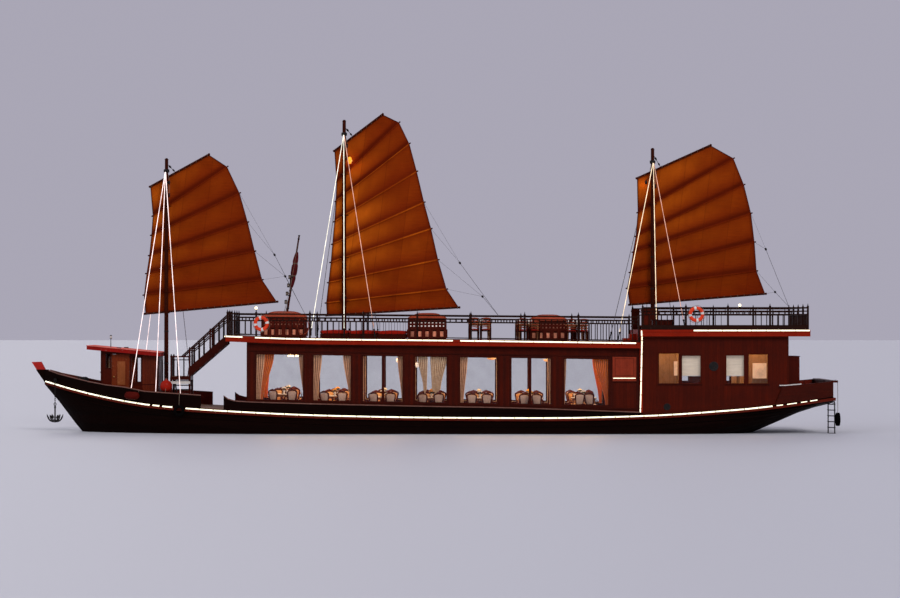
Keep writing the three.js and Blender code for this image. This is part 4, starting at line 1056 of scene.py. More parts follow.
WOOD_X, WOOD_Z = (1.2, 16.0, 16.0), (16.0, 16.0, 1.2)
LOOKS: dict[str, Finish | Cloth | Lamp | Pane] = {
    "hull": Finish("Hull_black", (0.0025, 0.0012, 0.0010), (0.007, 0.0016, 0.0010), 0.5, boards=Run.Z,
        width=0.19, seam=0.007, worn=(0.022, 0.006, 0.004), scuff=0.15, stain=0.4, bump=0.3, gloss=0.015),
    "red_brown": Finish("Rub_rail_red", (0.125, 0.012, 0.005), (0.05, 0.006, 0.003), 0.45, grain=WOOD_X,
        scuff=0.35),
    "house": Finish("House_red_brown", (0.074, 0.0058, 0.0012), (0.036, 0.0032, 0.0009), 0.42, coat=0.2,
        grain=WOOD_Z, boards=Run.X, width=0.16, seam=0.005, worn=(0.11, 0.022, 0.010), scuff=0.15),
    "front": Finish("House_front_red_brown", (0.074, 0.0058, 0.0012), (0.036, 0.0032, 0.0009), 0.42,
        coat=0.2, grain=WOOD_Z, boards=Run.Y, width=0.16, seam=0.005, worn=(0.11, 0.022, 0.010),
        scuff=0.15),
    "trim": Finish("Trim_dark_brown", (0.048, 0.0045, 0.0013), (0.022, 0.0025, 0.0010), 0.38, coat=0.3,
        grain=WOOD_X, worn=(0.09, 0.022, 0.012)),
    "fascia": Finish("Fascia_brick_red", (0.31, 0.015, 0.0025), (0.19, 0.009, 0.002), 0.45, grain=WOOD_X,
        coat=0.15, boards=Run.Z, width=0.25, seam=0.006, worn=(0.25, 0.1, 0.06), scuff=0.2),
    "roof": Finish("Wheelhouse_roof_red", (0.29, 0.008, 0.006), (0.19, 0.006, 0.004), 0.5, grain=WOOD_X,
        boards=Run.Y, width=0.2, worn=(0.5, 0.3, 0.25), scuff=0.3),
    "rail": Finish("Railing_black_brown", (0.020, 0.005, 0.0025), (0.009, 0.003, 0.002), 0.4, coat=0.2,
        grain=WOOD_X, worn=(0.09, 0.05, 0.035)),
    "mast": Finish("Mast_brown", (0.050, 0.007, 0.003), (0.022, 0.004, 0.002), 0.5, coat=0.08, grain=WOOD_Z,
        worn=(0.10, 0.024, 0.011), gloss=0.015),
    "door": Finish("Door_orange_brown", (0.17, 0.026, 0.006), (0.09, 0.014, 0.004), 0.4, coat=0.3,
        grain=WOOD_Z, worn=(0.4, 0.2, 0.1)),
    "door_light": Finish("Door_panel_light", (0.27, 0.075, 0.022), (0.17, 0.042, 0.012), 0.38, coat=0.3,
        grain=WOOD_Z, worn=(0.5, 0.25, 0.12)),
    "roof_edge": Finish("Roof_edge_pinkish", (0.80, 0.20, 0.16), (0.58, 0.12, 0.09), 0.45, grain=WOOD_X,
        scuff=0.3, worn=(0.6, 0.4, 0.35)),
    "booth": Finish("Booth_orange", (0.33, 0.055, 0.024), (0.19, 0.028, 0.011), 0.55, grain=WOOD_X,
        worn=(0.5, 0.25, 0.15)),
    "booth_dark": Finish("Booth_dark_red", (0.085, 0.009, 0.004), (0.042, 0.005, 0.003), 0.5, grain=WOOD_Z,
        coat=0.1, worn=(0.3, 0.1, 0.06)),
    "cushion": Cloth("Cushion_red_cloth", (0.42, 0.014, 0.006), (0.24, 0.009, 0.004), threads=200.0,
        patch=0.4),
    "panel": Finish("Sign_panel_red", (0.24, 0.030, 0.012), (0.16, 0.020, 0.008), 0.35, grain=WOOD_Z,
        coat=0.3, worn=(0.35, 0.15, 0.08), patch=0.2),
    "inside": Finish("Cabin_lining_beige", (0.50, 0.30, 0.16), (0.34, 0.19, 0.10), 0.6, grain=WOOD_Z,
        patch=0.3, boards=Run.X, width=0.3, seam=0.006),
    "light_wood": Finish("Chair_light_wood", (0.42, 0.20, 0.085), (0.25, 0.10, 0.04), 0.45, coat=0.2,
        grain=WOOD_Z),
    "iron": Finish("Iron_dark", (0.024, 0.022, 0.022), (0.012, 0.011, 0.011), 0.6, metal=0.5,
        grain=even(9.0), worn=(0.16, 0.08, 0.05), scuff=0.5, patch=0.3),
    "bronze": Finish("Bronze", (0.33, 0.17, 0.05), (0.18, 0.10, 0.03), 0.35, metal=1.0, grain=even(9.0),
        patch=0.2),
    "stem_red": Finish("Stem_red", (0.42, 0.02, 0.015), (0.25, 0.012, 0.01), 0.4, coat=0.3, grain=WOOD_X,
        worn=(0.5, 0.3, 0.2)),
    "rubber": Finish("Rubber_black", (0.0025, 0.002, 0.002), (0.002, 0.0016, 0.0016), 0.8, grain=even(6.0),
        worn=(0.012, 0.010, 0.009), patch=0.2, gloss=0.015),
    "buoy": Finish("Fender_red", (0.34, 0.012, 0.004), (0.20, 0.008, 0.003), 0.4, coat=0.4, grain=even(6.0),
        patch=0.2, worn=(0.2, 0.05, 0.04)),
    "dim_red": Finish("Fender_dim_red", (0.085, 0.0045, 0.002), (0.05, 0.003, 0.002), 0.6, grain=even(6.0),
        patch=0.3, worn=(0.12, 0.02, 0.012)),
    "lining": Finish("Bulwark_lining_red", (0.19, 0.018, 0.010), (0.10, 0.010, 0.006), 0.5, grain=WOOD_X,
        boards=Run.Z, width=0.2, seam=0.006, worn=(0.25, 0.09, 0.05), scuff=0.2),
    "cap": Finish("Cap_rail_pale", (0.17, 0.080, 0.062), (0.10, 0.045, 0.034), 0.4, coat=0.3, grain=WOOD_X,
        worn=(0.35, 0.25, 0.2), scuff=0.3),
    "planks": Finish("Wheelhouse_planks_red", (0.125, 0.018, 0.006), (0.065, 0.010, 0.004), 0.42, coat=0.2,
        grain=WOOD_Z, worn=(0.25, 0.08, 0.04), scuff=0.2),
    "ring": Finish("Life_ring_orange", (0.74, 0.06, 0.02), (0.52, 0.035, 0.012), 0.5, grain=even(6.0),
        patch=0.2),
    "white": Finish("White_paint", (0.72, 0.68, 0.64), (0.55, 0.5, 0.46), 0.5, grain=even(6.0), patch=0.3,
        worn=(0.3, 0.25, 0.2)),
    "rope": Finish("Rope_grey", (0.20, 0.15, 0.11), (0.10, 0.07, 0.05), 0.85, grain=even(30.0), patch=0.3),
    "tarred": Finish("Rope_tarred", (0.050, 0.011, 0.005), (0.026, 0.006, 0.003), 0.85, grain=even(30.0),
        patch=0.3, gloss=0.01),
    "wire": Finish("Wire_dark", (0.05, 0.045, 0.05), (0.03, 0.028, 0.03), 0.4, metal=0.8, grain=even(30.0)),
    "deck": Finish("Deck_boards", (0.20, 0.085, 0.045), (0.11, 0.045, 0.025), 0.6, grain=WOOD_X,
        boards=Run.Y, width=0.12, seam=0.006, worn=(0.3, 0.2, 0.14)),
    "chair": Finish("Chair_frame_dark_red", (0.10, 0.012, 0.004), (0.05, 0.007, 0.003), 0.4, coat=0.3,
        grain=WOOD_Z),
    "pad": Finish("Seat_cloth", (0.82, 0.47, 0.22), (0.62, 0.31, 0.12), 0.85, grain=even(20.0), patch=0.3,
        worn=(0.6, 0.4, 0.25), bump=0.2),
    "pad_pale": Finish("Seat_cloth_pale", (0.70, 0.45, 0.32), (0.42, 0.22, 0.14), 0.85, grain=even(20.0),
        patch=0.5, worn=(0.6, 0.4, 0.3), bump=0.2),
    "casing": Finish("Casing_cream", (0.60, 0.46, 0.36), (0.46, 0.34, 0.26), 0.5, grain=WOOD_X, patch=0.3,
        worn=(0.3, 0.22, 0.16)),
    "sleeve": Finish("Rope_sleeve_grey", (0.34, 0.37, 0.42), (0.22, 0.25, 0.30), 0.6, grain=even(6.0),
        patch=0.2, worn=(0.5, 0.5, 0.5)),
    "petal_yellow": Finish("Petals_yellow", (0.75, 0.36, 0.03), (0.52, 0.20, 0.02), 0.7, grain=even(20.0),
        patch=0.4, worn=(0.8, 0.5, 0.1)),
    "leaf": Finish("Leaves_dark", (0.05, 0.06, 0.015), (0.025, 0.03, 0.01), 0.7, grain=even(20.0),
        patch=0.4, worn=(0.1, 0.1, 0.04)),
    "carpet": Finish("Saloon_carpet", (0.16, 0.025, 0.018), (0.10, 0.016, 0.012), 0.95, grain=even(60.0),
        worn=(0.2, 0.06, 0.04), bump=0.3),
    "ceiling": Finish("Ceiling_wood", (0.28, 0.12, 0.06), (0.18, 0.07, 0.035), 0.5, grain=WOOD_X,
        boards=Run.Y, width=0.14, seam=0.006, coat=0.2),
    # The sail's lit colour is painted light on the upper middle of each panel.
    "sail": Cloth("Sail_cloth_orange", (0.200, 0.022, 0.0016), (0.120, 0.009, 0.0012), seams=1.1, sheen=0.0,
        threads=60.0, bump=0.25, lit_colour=(0.56, 0.112, 0.005), stain=0.35),
    # Curtains and blinds: their glow is painted light, and the curtains' folded share is painted shade in their
    # pleats.
    "beige": Cloth("Curtain_beige", (0.86, 0.47, 0.27), (0.40, 0.17, 0.08), threads=300.0, patch=0.5,
        glow=0.09, folded=0.95),
    "orange": Cloth("Curtain_orange", (0.85, 0.20, 0.035), (0.44, 0.08, 0.014), threads=300.0, patch=0.5,
        glow=0.14, folded=0.9),
    "sheer": Cloth("Curtain_sheer", (0.92, 0.66, 0.42), (0.46, 0.22, 0.09), threads=250.0, patch=0.9,
        alpha=0.88, glow=0.10, folded=0.95),
    "blind": Cloth("Blind_cream", (0.66, 0.56, 0.44), (0.52, 0.42, 0.32), threads=250.0, patch=0.5,
        glow=0.25),
    "red_cloth": Cloth("Furled_red_cloth", (0.10, 0.008, 0.010), (0.04, 0.004, 0.005), threads=120.0,
        patch=0.3),
    "strip": Lamp("Lamp_strip_warm", (1.0, 0.95, 0.68), 1.45, 0.15),
    "stay_pink": Lamp("Lamp_rope_pinkish", (1.0, 0.80, 0.77), 1.25, 0.4),
    "stay_warm": Lamp("Lamp_rope_warm", (1.0, 0.95, 0.76), 1.05, 0.4),
    "stay_cream": Lamp("Lamp_rope_cream", (1.0, 0.78, 0.50), 1.0, 0.4),
    "stay_dim": Lamp("Lamp_rope_dim", (0.85, 0.42, 0.28), 0.62, 0.4),
    "bulb": Lamp("Lamp_bulb_warm", (1.0, 0.80, 0.45), 3.5, 0.2),
    "amber": Lamp("Lamp_bulb_amber", (1.0, 0.30, 0.015), 1.6, 0.3),
    "lens": Pane("Signal_lens", 0.75, (0.25, 0.20, 0.16)),
    "booth_glow": Lamp("Booth_lit_panel", (0.80, 0.27, 0.15), 0.115, 0.6),
    "booth_light": Lamp("Booth_lattice_light", (1.0, 0.86, 0.82), 0.75, 0.4),
    "cream_panel": Lamp("Cabin_lit_panel", (1.0, 0.64, 0.40), 0.5, 0.3),
    "globe": Lamp("Lamp_globe_white", (1.0, 0.86, 0.74), 0.8, 0.4),
    "dish": Lamp("Lamp_dish_orange", (1.0, 0.48, 0.20), 0.85, 0.5),
    "glass": Pane("Window_glass"),
}


class Finishes:
    """Every finish of the boat, built once, under its short name in the list of looks."""

    def __init__(self) -> None:
        """Builds the materials in the list's order."""
        for name, look in LOOKS.items():
            setattr(self, name, look.build())


FINISH = Finishes()


class Shape(Enum):
    """What a repeat sets along its line: a square bar or a link of a chain."""

    BAR = "bar"
    LINK = "link"


class Repeats:
    """Geometry Nodes trees that set one shape at even steps along lines, or a copy at each place."""

    def __init__(self) -> None:
        """Builds the trees."""
        self.trees = {shape: self.line_tree(shape) for shape in Shape}
        self.copies = self.copy_tree()

    def instance(self, g: Graph, shape: Shape) -> bpy.types.NodeSocket:
        """Adds the shape that a tree repeats.

        Args:
            g: The tree.
            shape: Which shape.

        Returns:
            Its geometry, a unit across.
        """
        if shape is Shape.BAR:
            made = g.wired("GeometryNodeMeshCube", {"Size": (1.0, 1.0, 1.0)})
        else:
            circle = "GeometryNodeCurvePrimitiveCircle"
            loop = g.wired(circle, {"Resolution": 10, "Radius": 0.5})
            oval = g.wired("GeometryNodeTransform", {
                "Geometry": loop.outputs["Curve"], "Rotation": (math.pi / 2, 0.0, 0.0),
                "Scale": (0.62, 1.0, 1.0),
            })
            wire = g.wired(circle, {"Resolution": 5, "Radius": 0.11})
            made = g.wired("GeometryNodeCurveToMesh", {
                "Curve": oval.outputs["Geometry"], "Profile Curve": wire.outputs["Curve"],
            })
        return made.outputs["Mesh"]

    def line_tree(self, shape: Shape) -> bpy.types.NodeTree:
        """Builds a tree that sets a shape along lines.

        Args:
            shape: Which shape.

        Returns:
            The tree, with inputs for the step, the size, the turn and the finish.
        """
        g, given_node, out = group(
            f"Along_a_line_{shape.value}",
            {"Lines": (Socket.GEOMETRY, None), "Step": (Socket.NUMBER, 0.1),
             "Size": (Socket.VECTOR, (0.1, 0.1, 0.1)), "Turn": (Socket.NUMBER, 0.0),
             "Upright": (Socket.NUMBER, 0.0), "Finish": (Socket.MATERIAL, None)},
            {"Pieces": Socket.GEOMETRY}, "GeometryNodeTree",
        )
        given = given_node.outputs
        curve = g.wired("GeometryNodeMeshToCurve", {0: given["Lines"]})
        even_curve = g.wired("GeometryNodeResampleCurve",
                             {"Curve": curve.outputs[0], "Length": given["Step"]}, mode="LENGTH")
        upright = g.wired("FunctionNodeCompare", {0: given["Upright"], 1: 0.5}, data_type="FLOAT",
                          operation="GREATER_THAN")
        tangent = g.node("GeometryNodeInputTangent").outputs[0]
        way = g.wired("GeometryNodeSwitch", {0: upright.outputs[0], 1: tangent, 2: (0.0, 0.0, 1.0)},
                      input_type="VECTOR")
        along = g.wired("FunctionNodeAlignRotationToVector", {"Vector": way.outputs[0]}, axis="Z")
        number = g.node("GeometryNodeInputIndex").outputs[0]
        turn = g.wired("FunctionNodeAxisAngleToRotation", {
            "Axis": (0.0, 0.0, 1.0), "Angle": g.math("MULTIPLY", number, given["Turn"]),
        })
        spin = g.wired("FunctionNodeRotateRotation", {0: along.outputs[0], 1: turn.outputs[0]},
                       rotation_space="LOCAL")
        put = g.wired("GeometryNodeInstanceOnPoints", {
            "Points": even_curve.outputs[0], "Instance": self.instance(g, shape),
            "Rotation": spin.outputs[0], "Scale": given["Size"],
        })
        self.close(g, put.outputs[0], given_node, out)
        return g.tree

    def copy_tree(self) -> bpy.types.NodeTree:
        """Returns a tree that sets a copy of a pattern piece at each point, turned by its own angle."""
        g, given, out = group(
            "Copies_at_places",
            {"Places": (Socket.GEOMETRY, None), "Pattern": (Socket.OBJECT, None),
             "Finish": (Socket.MATERIAL, None)},
            {"Pieces": Socket.GEOMETRY}, "GeometryNodeTree",
        )
        pattern = g.wired("GeometryNodeObjectInfo", {0: given.outputs["Pattern"]},
                          transform_space="ORIGINAL")
        angle = g.wired("GeometryNodeInputNamedAttribute", {"Name": "turn"}, data_type="FLOAT")
        turn = g.wired("FunctionNodeAxisAngleToRotation", {
            "Axis": (0.0, 0.0, 1.0), "Angle": angle.outputs["Attribute"],
        })
        put = g.wired("GeometryNodeInstanceOnPoints", {
            "Points": given.outputs["Places"], "Instance": pattern.outputs["Geometry"],
            "Rotation": turn.outputs[0],
        })
        self.close(g, put.outputs[0], given, out)
        return g.tree

    def close(self, g: Graph, source: bpy.types.NodeSocket, given: bpy.types.Node,
              out: bpy.types.Node) -> None:
        """Ends a tree in real faces with their finish."""
        real = g.wired("GeometryNodeRealizeInstances", {0: source})
        finish = g.wired("GeometryNodeSetMaterial", {
            "Geometry": real.outputs[0], "Material": given.outputs["Finish"],
        })
        g.join(finish.outputs[0], out.inputs[0])

    def bake(self, carrier: bpy.types.Object, tree: bpy.types.NodeTree,
             values: dict[str, object]) -> bpy.types.Mesh:
        """Runs a tree on an object and returns the plain mesh it makes.

        Args:
            carrier: The object with the lines or places. It is removed.
            tree: The tree.
            values: Each input's value by the name of its socket.

        Returns:
            The new mesh.
        """
        maker = carrier.modifiers.new("Repeat", "NODES")
        maker.node_group = tree
        sockets = {
            item.name: item.identifier for item in tree.interface.items_tree
            if item.item_type == "SOCKET" and item.in_out == "INPUT"
        }
        for name, value in values.items():
            maker[sockets[name]] = value
        bpy.context.view_layer.update()
        graph = bpy.context.evaluated_depsgraph_get()
        data = bpy.data.meshes.new_from_object(carrier.evaluated_get(graph))
        carrier.modifiers.remove(maker)
        bpy.data.objects.remove(carrier)
        return data

    def carrier(self, name: str, points: Sequence[Point], edges: Sequence[tuple[int, int]]
                ) -> bpy.types.Object:
        """Returns an object that carries bare points and edges."""
        data = bpy.data.meshes.new(name)
        data.from_pydata([tuple(p) for p in points], list(edges), [])
        carrier = bpy.data.objects.new(name, data)
        bpy.context.collection.objects.link(carrier)
        return carrier

    def along(self, name: str, lines: Sequence[Sequence[Point]], shape: Shape, step: float,
              size: Point, finish: bpy.types.Material, slot: str, turn: float = 0.0,
              upright: bool = False) -> bpy.types.Object:
        """Sets a shape at even steps along lines.

        Args:
            name: The piece's name.
            lines: The lines, each a list of points.
            shape: What is set along them.
            step: The step.
            size: The shape's size, with the last value along the line.
            finish: Its material.
            slot: The record's material slot.
            turn: How far each one is turned from the last, in radians.
            upright: Whether the shapes stand upright, whatever way the line runs.

        Returns:
            The finished piece.
        """
        points: list[Point] = []
        edges: list[tuple[int, int]] = []
        for line in lines:
            start = len(points)
            points += list(line)
            edges += [(start + i, start + i + 1) for i in range(len(line) - 1)]
        carrier = self.carrier(name + "_lines", points, edges)
        data = self.bake(carrier, self.trees[shape], {
            "Step": step, "Size": tuple(size), "Turn": turn, "Upright": 1.0 if upright else 0.0,
            "Finish": finish,
        })
        return place(data, name, BOAT, slot, [finish])

    def copy(self, name: str, pattern: Solid, places: Sequence[tuple[float, float, float, float]],
             finish: bpy.types.Material, slot: str, nodes: Sequence[str] = ()) -> bpy.types.Object:
        """Sets a copy of a pattern at each place.

        Args:
            name: The piece's name.
            pattern: The pattern, about its own origin.
            places: Each copy's x, y, z and turn about Z in radians.
            finish: Its material.
            slot: The record's material slot.
            nodes: The CAD nodes that the copies stand for.

        Returns:
            The finished piece.
        """
        model = bpy.data.objects.new(name + "_pattern", pattern.mesh(name + "_pattern"))
        bpy.context.collection.objects.link(model)
        carrier = self.carrier(name + "_places", [p[:3] for p in places], [])
        turns = carrier.data.attributes.new("turn", "FLOAT", "POINT")
        turns.data.foreach_set("value", [p[3] for p in places])
        data = self.bake(carrier, self.copies, {"Pattern": model, "Finish": finish})
        bpy.data.objects.remove(model)
        return place(data, name, BOAT, slot, [finish], nodes)


REPEAT = Repeats()


@dataclass
class Studio:
    """The camera at the photograph's angle, a pale floor at the waterline and soft light."""

    eye: Point = (-0.9, 110.0, 4.5)
    pitch: float = math.atan(30 / 2500)
    lens: float = 100.0
    floor: float = 900.0
    paint: Colour = (0.50, 0.51, 0.56)

    def camera(self) -> None:
        """Sets the camera."""
        data = bpy.data.cameras.new("Camera")
        data.lens = self.lens
        data.sensor_width = 36.0
        data.clip_end = 3000.0
        camera = bpy.data.objects.new("Camera", data)
        camera.location = self.eye
        camera.rotation_euler = (math.pi / 2 + self.pitch, 0.0, math.pi)
        bpy.context.collection.objects.link(camera)
        bpy.context.scene.camera = camera

    def ground(self) -> None:
        """Lays the floor and paints the air round it."""
        f = self.floor
        data = bpy.data.meshes.new("Floor")
        data.from_pydata([(-f, -f, 0), (f, -f, 0), (f, f, 0), (-f, f, 0)], [], [(0, 1, 2, 3)])
        floor = bpy.data.objects.new("Floor", data)
        bpy.context.collection.objects.link(floor)
        paint = bpy.data.materials.new("Floor_pale")
        paint.use_nodes = True
        shader = paint.node_tree.nodes["Principled BSDF"]
        shader.inputs["Base Color"].default_value = full(self.paint)
        shader.inputs["Roughness"].default_value = 0.55
        data.materials.append(paint)
        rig.stage(floor)
        world = bpy.data.worlds.new("Air")
        world.use_nodes = True
        back = world.node_tree.nodes["Background"]
        back.inputs["Color"].default_value = (0.50, 0.48, 0.58, 1.0)
        back.inputs["Strength"].default_value = 0.8
        bpy.context.scene.world = world
        bpy.context.scene.view_settings.view_transform = "Standard"

    def light(self, name: str, kind: str, power: float, colour: Colour, **values: object
              ) -> bpy.types.Object:
        """Adds a light.

        Args:
            name: Its name.
            kind: What kind it is.
            power: Its strength.
            colour: Its colour.
            **values: More of its settings by name.

        Returns:
            The light.
        """
        data = bpy.data.lights.new(name, kind)
        data.energy = power
        data.color = colour
        for key, value in values.items():
            setattr(data, key, value)
        made = bpy.data.objects.new(name, data)
        bpy.context.collection.objects.link(made)
        return made

    def sun(self, name: str, power: float, tilt: Point, spread: float, colour: Colour) -> None:
        """Adds a broad far light.

        Args:
            name: Its name.
            power: Its strength.
            tilt: Its turn about X, Y and Z in degrees.
            spread: Its angle in degrees, which softens the shadows.
            colour: Its colour.
        """
        light = self.light(name, "SUN", power, colour, angle=math.radians(spread))
        light.rotation_euler = [math.radians(t) for t in tilt]

    def room_lamp(self, name: str, at: Point, size: tuple[float, float], power: float) -> None:
        """Adds a warm lamp under a ceiling.

        Args:
            name: Its name.
            at: Where it hangs.
            size: Its length and width.
            power: Its power in watts.
        """
        light = self.light(name, "AREA", power, (1.0, 0.60, 0.28), shape="RECTANGLE", size=size[0],
                           size_y=size[1])
        light.location = at

    def build(self) -> None:
        """Builds the studio."""
        self.camera()
        self.ground()
        self.sun("Key", 1.6, (-52, 0, 25), 25, (1.0, 0.96, 0.92))
        self.sun("Fill", 0.6, (-60, 0, -50), 50, (0.9, 0.93, 1.0))
        self.sun("Back", 0.5, (55, 0, 20), 40, (1.0, 0.98, 0.95))
        self.room_lamp("Saloon_lamp_fore", (4.2, 0.0, 3.5), (6.5, 3.0), 420.0)
        self.room_lamp("Saloon_lamp_aft", (-4.6, 0.0, 3.45), (6.5, 3.0), 420.0)
        for name, y in (("port", 1.75), ("starboard", -1.75)):
            self.room_lamp(f"Cabin_lamp_{name}", (-12.2, y, 4.05), (5.6, 1.0), 150.0)
        self.room_lamp("Wheelhouse_lamp", (12.9, 0.0, 3.2), (1.4, 1.0), 12.0)
        for name, at, power in (("main", (3.40, 0.04, 11.84), 4.0), ("mizzen", (-9.46, 0.0, 10.85), 2.0)):
            light = self.light(f"Mast_lamp_{name}", "POINT", power, (1.0, 0.62, 0.22),
                               shadow_soft_size=0.08)
            light.location = at


@dataclass
class Carried:
    """The frame's own pieces that keep their shape and only get a finish."""

    def build(self) -> None:
        """Gives every kept node its finish."""
        plan = {
            FINISH.hull: ["hull", "bulwark_bow", "bulwark_port", "bulwark_starboard", "rudder"],
            FINISH.red_brown: ["rub_rail"],
            FINISH.stem_red: ["stem_head"],
            FINISH.bronze: ["propeller"],
            FINISH.iron: ["windlass", "anchor"],
            FINISH.house: [
                "saloon_wall_port", "saloon_wall_starboard", "aft_cabin_side_port",
                "aft_cabin_side_starboard", "wheelhouse_side_port", "wheelhouse_side_starboard",
            ],
            FINISH.front: [
                "saloon_front_wall", "aft_cabin_front", "aft_cabin_rear", "wheelhouse_front",
                "wheelhouse_rear", "stern_locker",
            ],
            FINISH.trim: ["bulwark_stern", "stairs"],
            FINISH.roof: ["wheelhouse_roof"],
            FINISH.door: [
                "wheelhouse_door_port", "wheelhouse_door_starboard", "helm_console", "helm_wheel",
                "saloon_door_port", "saloon_door_starboard", "aft_cabin_door",
            ],
            FINISH.fascia: ["upper_deck", "aft_upper_deck"],
            FINISH.glass: [
                "saloon_glass_port", "saloon_glass_starboard", "aft_cabin_glass_port",
                "aft_cabin_glass_starboard",
            ],
            FINISH.rail: ["railing_port", "railing_starboard", "railing_aft"],
            FINISH.mast: [
                "signal_mast", "mast_fore", "mast_main", "mast_mizzen", "spars_fore", "spars_main",
                "spars_mizzen",
            ],
        }
        for finish, names in plan.items():
            for name in names:
                for slot in frame["nodes"][name].material_slots:
                    slot.material = finish


@dataclass
class HullDress:
    """What follows the hull's side: lamp strips, cap rails, linings, deck boards and fenders."""

    strip: float = 0.030
    runs: tuple[tuple[float, float], ...] = (
        (16.85, 12.0), (11.9, 11.57), (11.47, 11.0), (10.45, -14.7), (-14.85, -15.15), (-15.3, -15.75),
        (-15.9, -16.2), (-16.3, -16.65),
    )
    bow_top: Curve = field(default_factory=lambda: Curve([
        (9.79, 1.65), (10.8, 1.72), (11.7, 1.765), (12.3, 1.81), (12.95, 1.95), (14.3, 2.11),
        (15.5, 2.365), (16.1, 2.49), (16.7, 2.68), (16.9, 2.72),
    ]))
    mid_top: Curve = field(default_factory=lambda: Curve([
        (-9.1, 0.93), (-7.7, 0.98), (-3.5, 1.12), (0.4, 1.19), (7.7, 1.37), (8.2, 1.4), (8.6, 1.49),
        (8.8, 1.63),
    ]))
    stern_top: Curve = field(default_factory=lambda: Curve([(-17.35, 2.26), (-16.3, 2.16), (-15.25, 2.07)]))

    def along(self, start: float, end: float, out: float, line: Callable[[float], float],
              extra: Sequence[float] = ()) -> list[Point]:
        """Lists places along the side.

        Args:
            start: Where it starts.
            end: Where it ends.
            out: How far out of the hull's side.
            line: The height at each place.
            extra: More places to stop at.

        Returns:
            The places, on the port side.
        """
        low, high = min(start, end), max(start, end)
        places = sorted({*HULL.between(low, high), *[x for x in extra if low < x < high]})
        if start > end:
            places.reverse()
        return [(x, HULL.half(x) + out, line(x)) for x in places]

    def strips(self) -> None:
        """Lays the lamp strip on top of the rub rail, with its gaps and clips."""
        body = Solid()
        for start, end in self.runs:
            size = self.strip if end > -14.8 else self.strip * 0.6
            body.tube(self.along(start, end, 0.07, lambda x: HULL.rail(x) + 0.058), size, 8)
        body.mirrored().put("lamp_strip_hull", "rail_paint", [FINISH.strip])
        lines = [self.along(a, b, 0.07, lambda x: HULL.rail(x) + 0.05) for a, b in self.runs]
        lines += [[(x, -y, z) for x, y, z in line] for line in lines]
        REPEAT.along("strip_clips_hull", lines, Shape.BAR, 0.6, (0.075, 0.075, 0.025), FINISH.rail,
                     "rail_paint")

    def caps(self) -> None:
        """Sets a rounded cap rail on the bulwarks."""
        body = Solid()
        for line, start, end, extra in (
            (self.bow_top, 9.79, 16.72, ()), (self.mid_top, -9.02, 8.8, (7.7, 8.2, 8.4, 8.6)),
        ):
            body.run(sorted({*HULL.between(start, end), *extra}), lambda x: (HULL.half(x), line(x)), (
                (0.022, -0.012), (0.026, 0.012), (0.010, 0.030), (-0.070, 0.030), (-0.086, 0.012),
                (-0.082, -0.012),
            ))
        body.mirrored().put("bulwark_caps", "hull_paint", [FINISH.cap])

    def linings(self) -> None:
        """Lines the bulwarks' inner faces with boards and upright timbers."""
        body = Solid()
        out = -0.06
        for line, start, end in (
            (self.bow_top, 9.8, 16.2), (self.mid_top, -9.0, 8.75), (self.stern_top, -17.2, -15.1),
        ):
            rings = []
            for x in HULL.between(start, end):
                y, z = HULL.half(x) + out - 0.001, HULL.deck(x) + BOARDS
                top = line(x) - 0.02
                rings.append([(x, y, z), (x, y, top), (x, y - 0.012, top), (x, y - 0.012, z)])
            body.rings(rings)
            x = start + 0.3
            while x < end - 0.2:
                y, z = HULL.half(x) + out - 0.012, HULL.deck(x) + BOARDS
                body.block((x - 0.03, y - 0.05, z), (x + 0.03, y, line(x) - 0.03))
                x += 0.75
        body.mirrored().put("bulwark_lining", "house_wood", [FINISH.lining])

    def decks(self) -> None:
        """Boards the main deck and both upper decks."""
        body = Solid()
        rings = []
        for x in HULL.between(-17.2, 16.2):
            y, z = HULL.half(x) - 0.075, HULL.deck(x)
            rings.append([(x, -y, z + 0.0005), (x, y, z + 0.0005), (x, y, z + 0.010), (x, -y, z + 0.010)])
        body.rings(rings)
        body.run((-9.04, *UPPER_STEPS[1:-1], 8.66), lambda x: (0.0, upper(x)),
                 slab(-2.95, 2.95, 0.0005, 0.010))
        body.block((-16.28, -3.0, 4.4705), (-9.1, 3.0, 4.480))
        body.put("deck_boards", "house_wood", [FINISH.deck])

    def planks(self) -> None:
        """Adds the raised strakes under the rub rail and along the bilge."""
        body = Solid()
        for under, start, end in ((0.16, 15.9, -16.6), (0.30, 15.2, -15.6)):
            body.run(HULL.between(start, end)[::-1], lambda x: (HULL.half(x), HULL.rail(x) - under),
                     ((-0.03, -0.025), (0.012, -0.018), (0.012, 0.012), (-0.03, 0.02)))
        body.mirrored().put("hull_strakes", "hull_paint", [FINISH.hull])

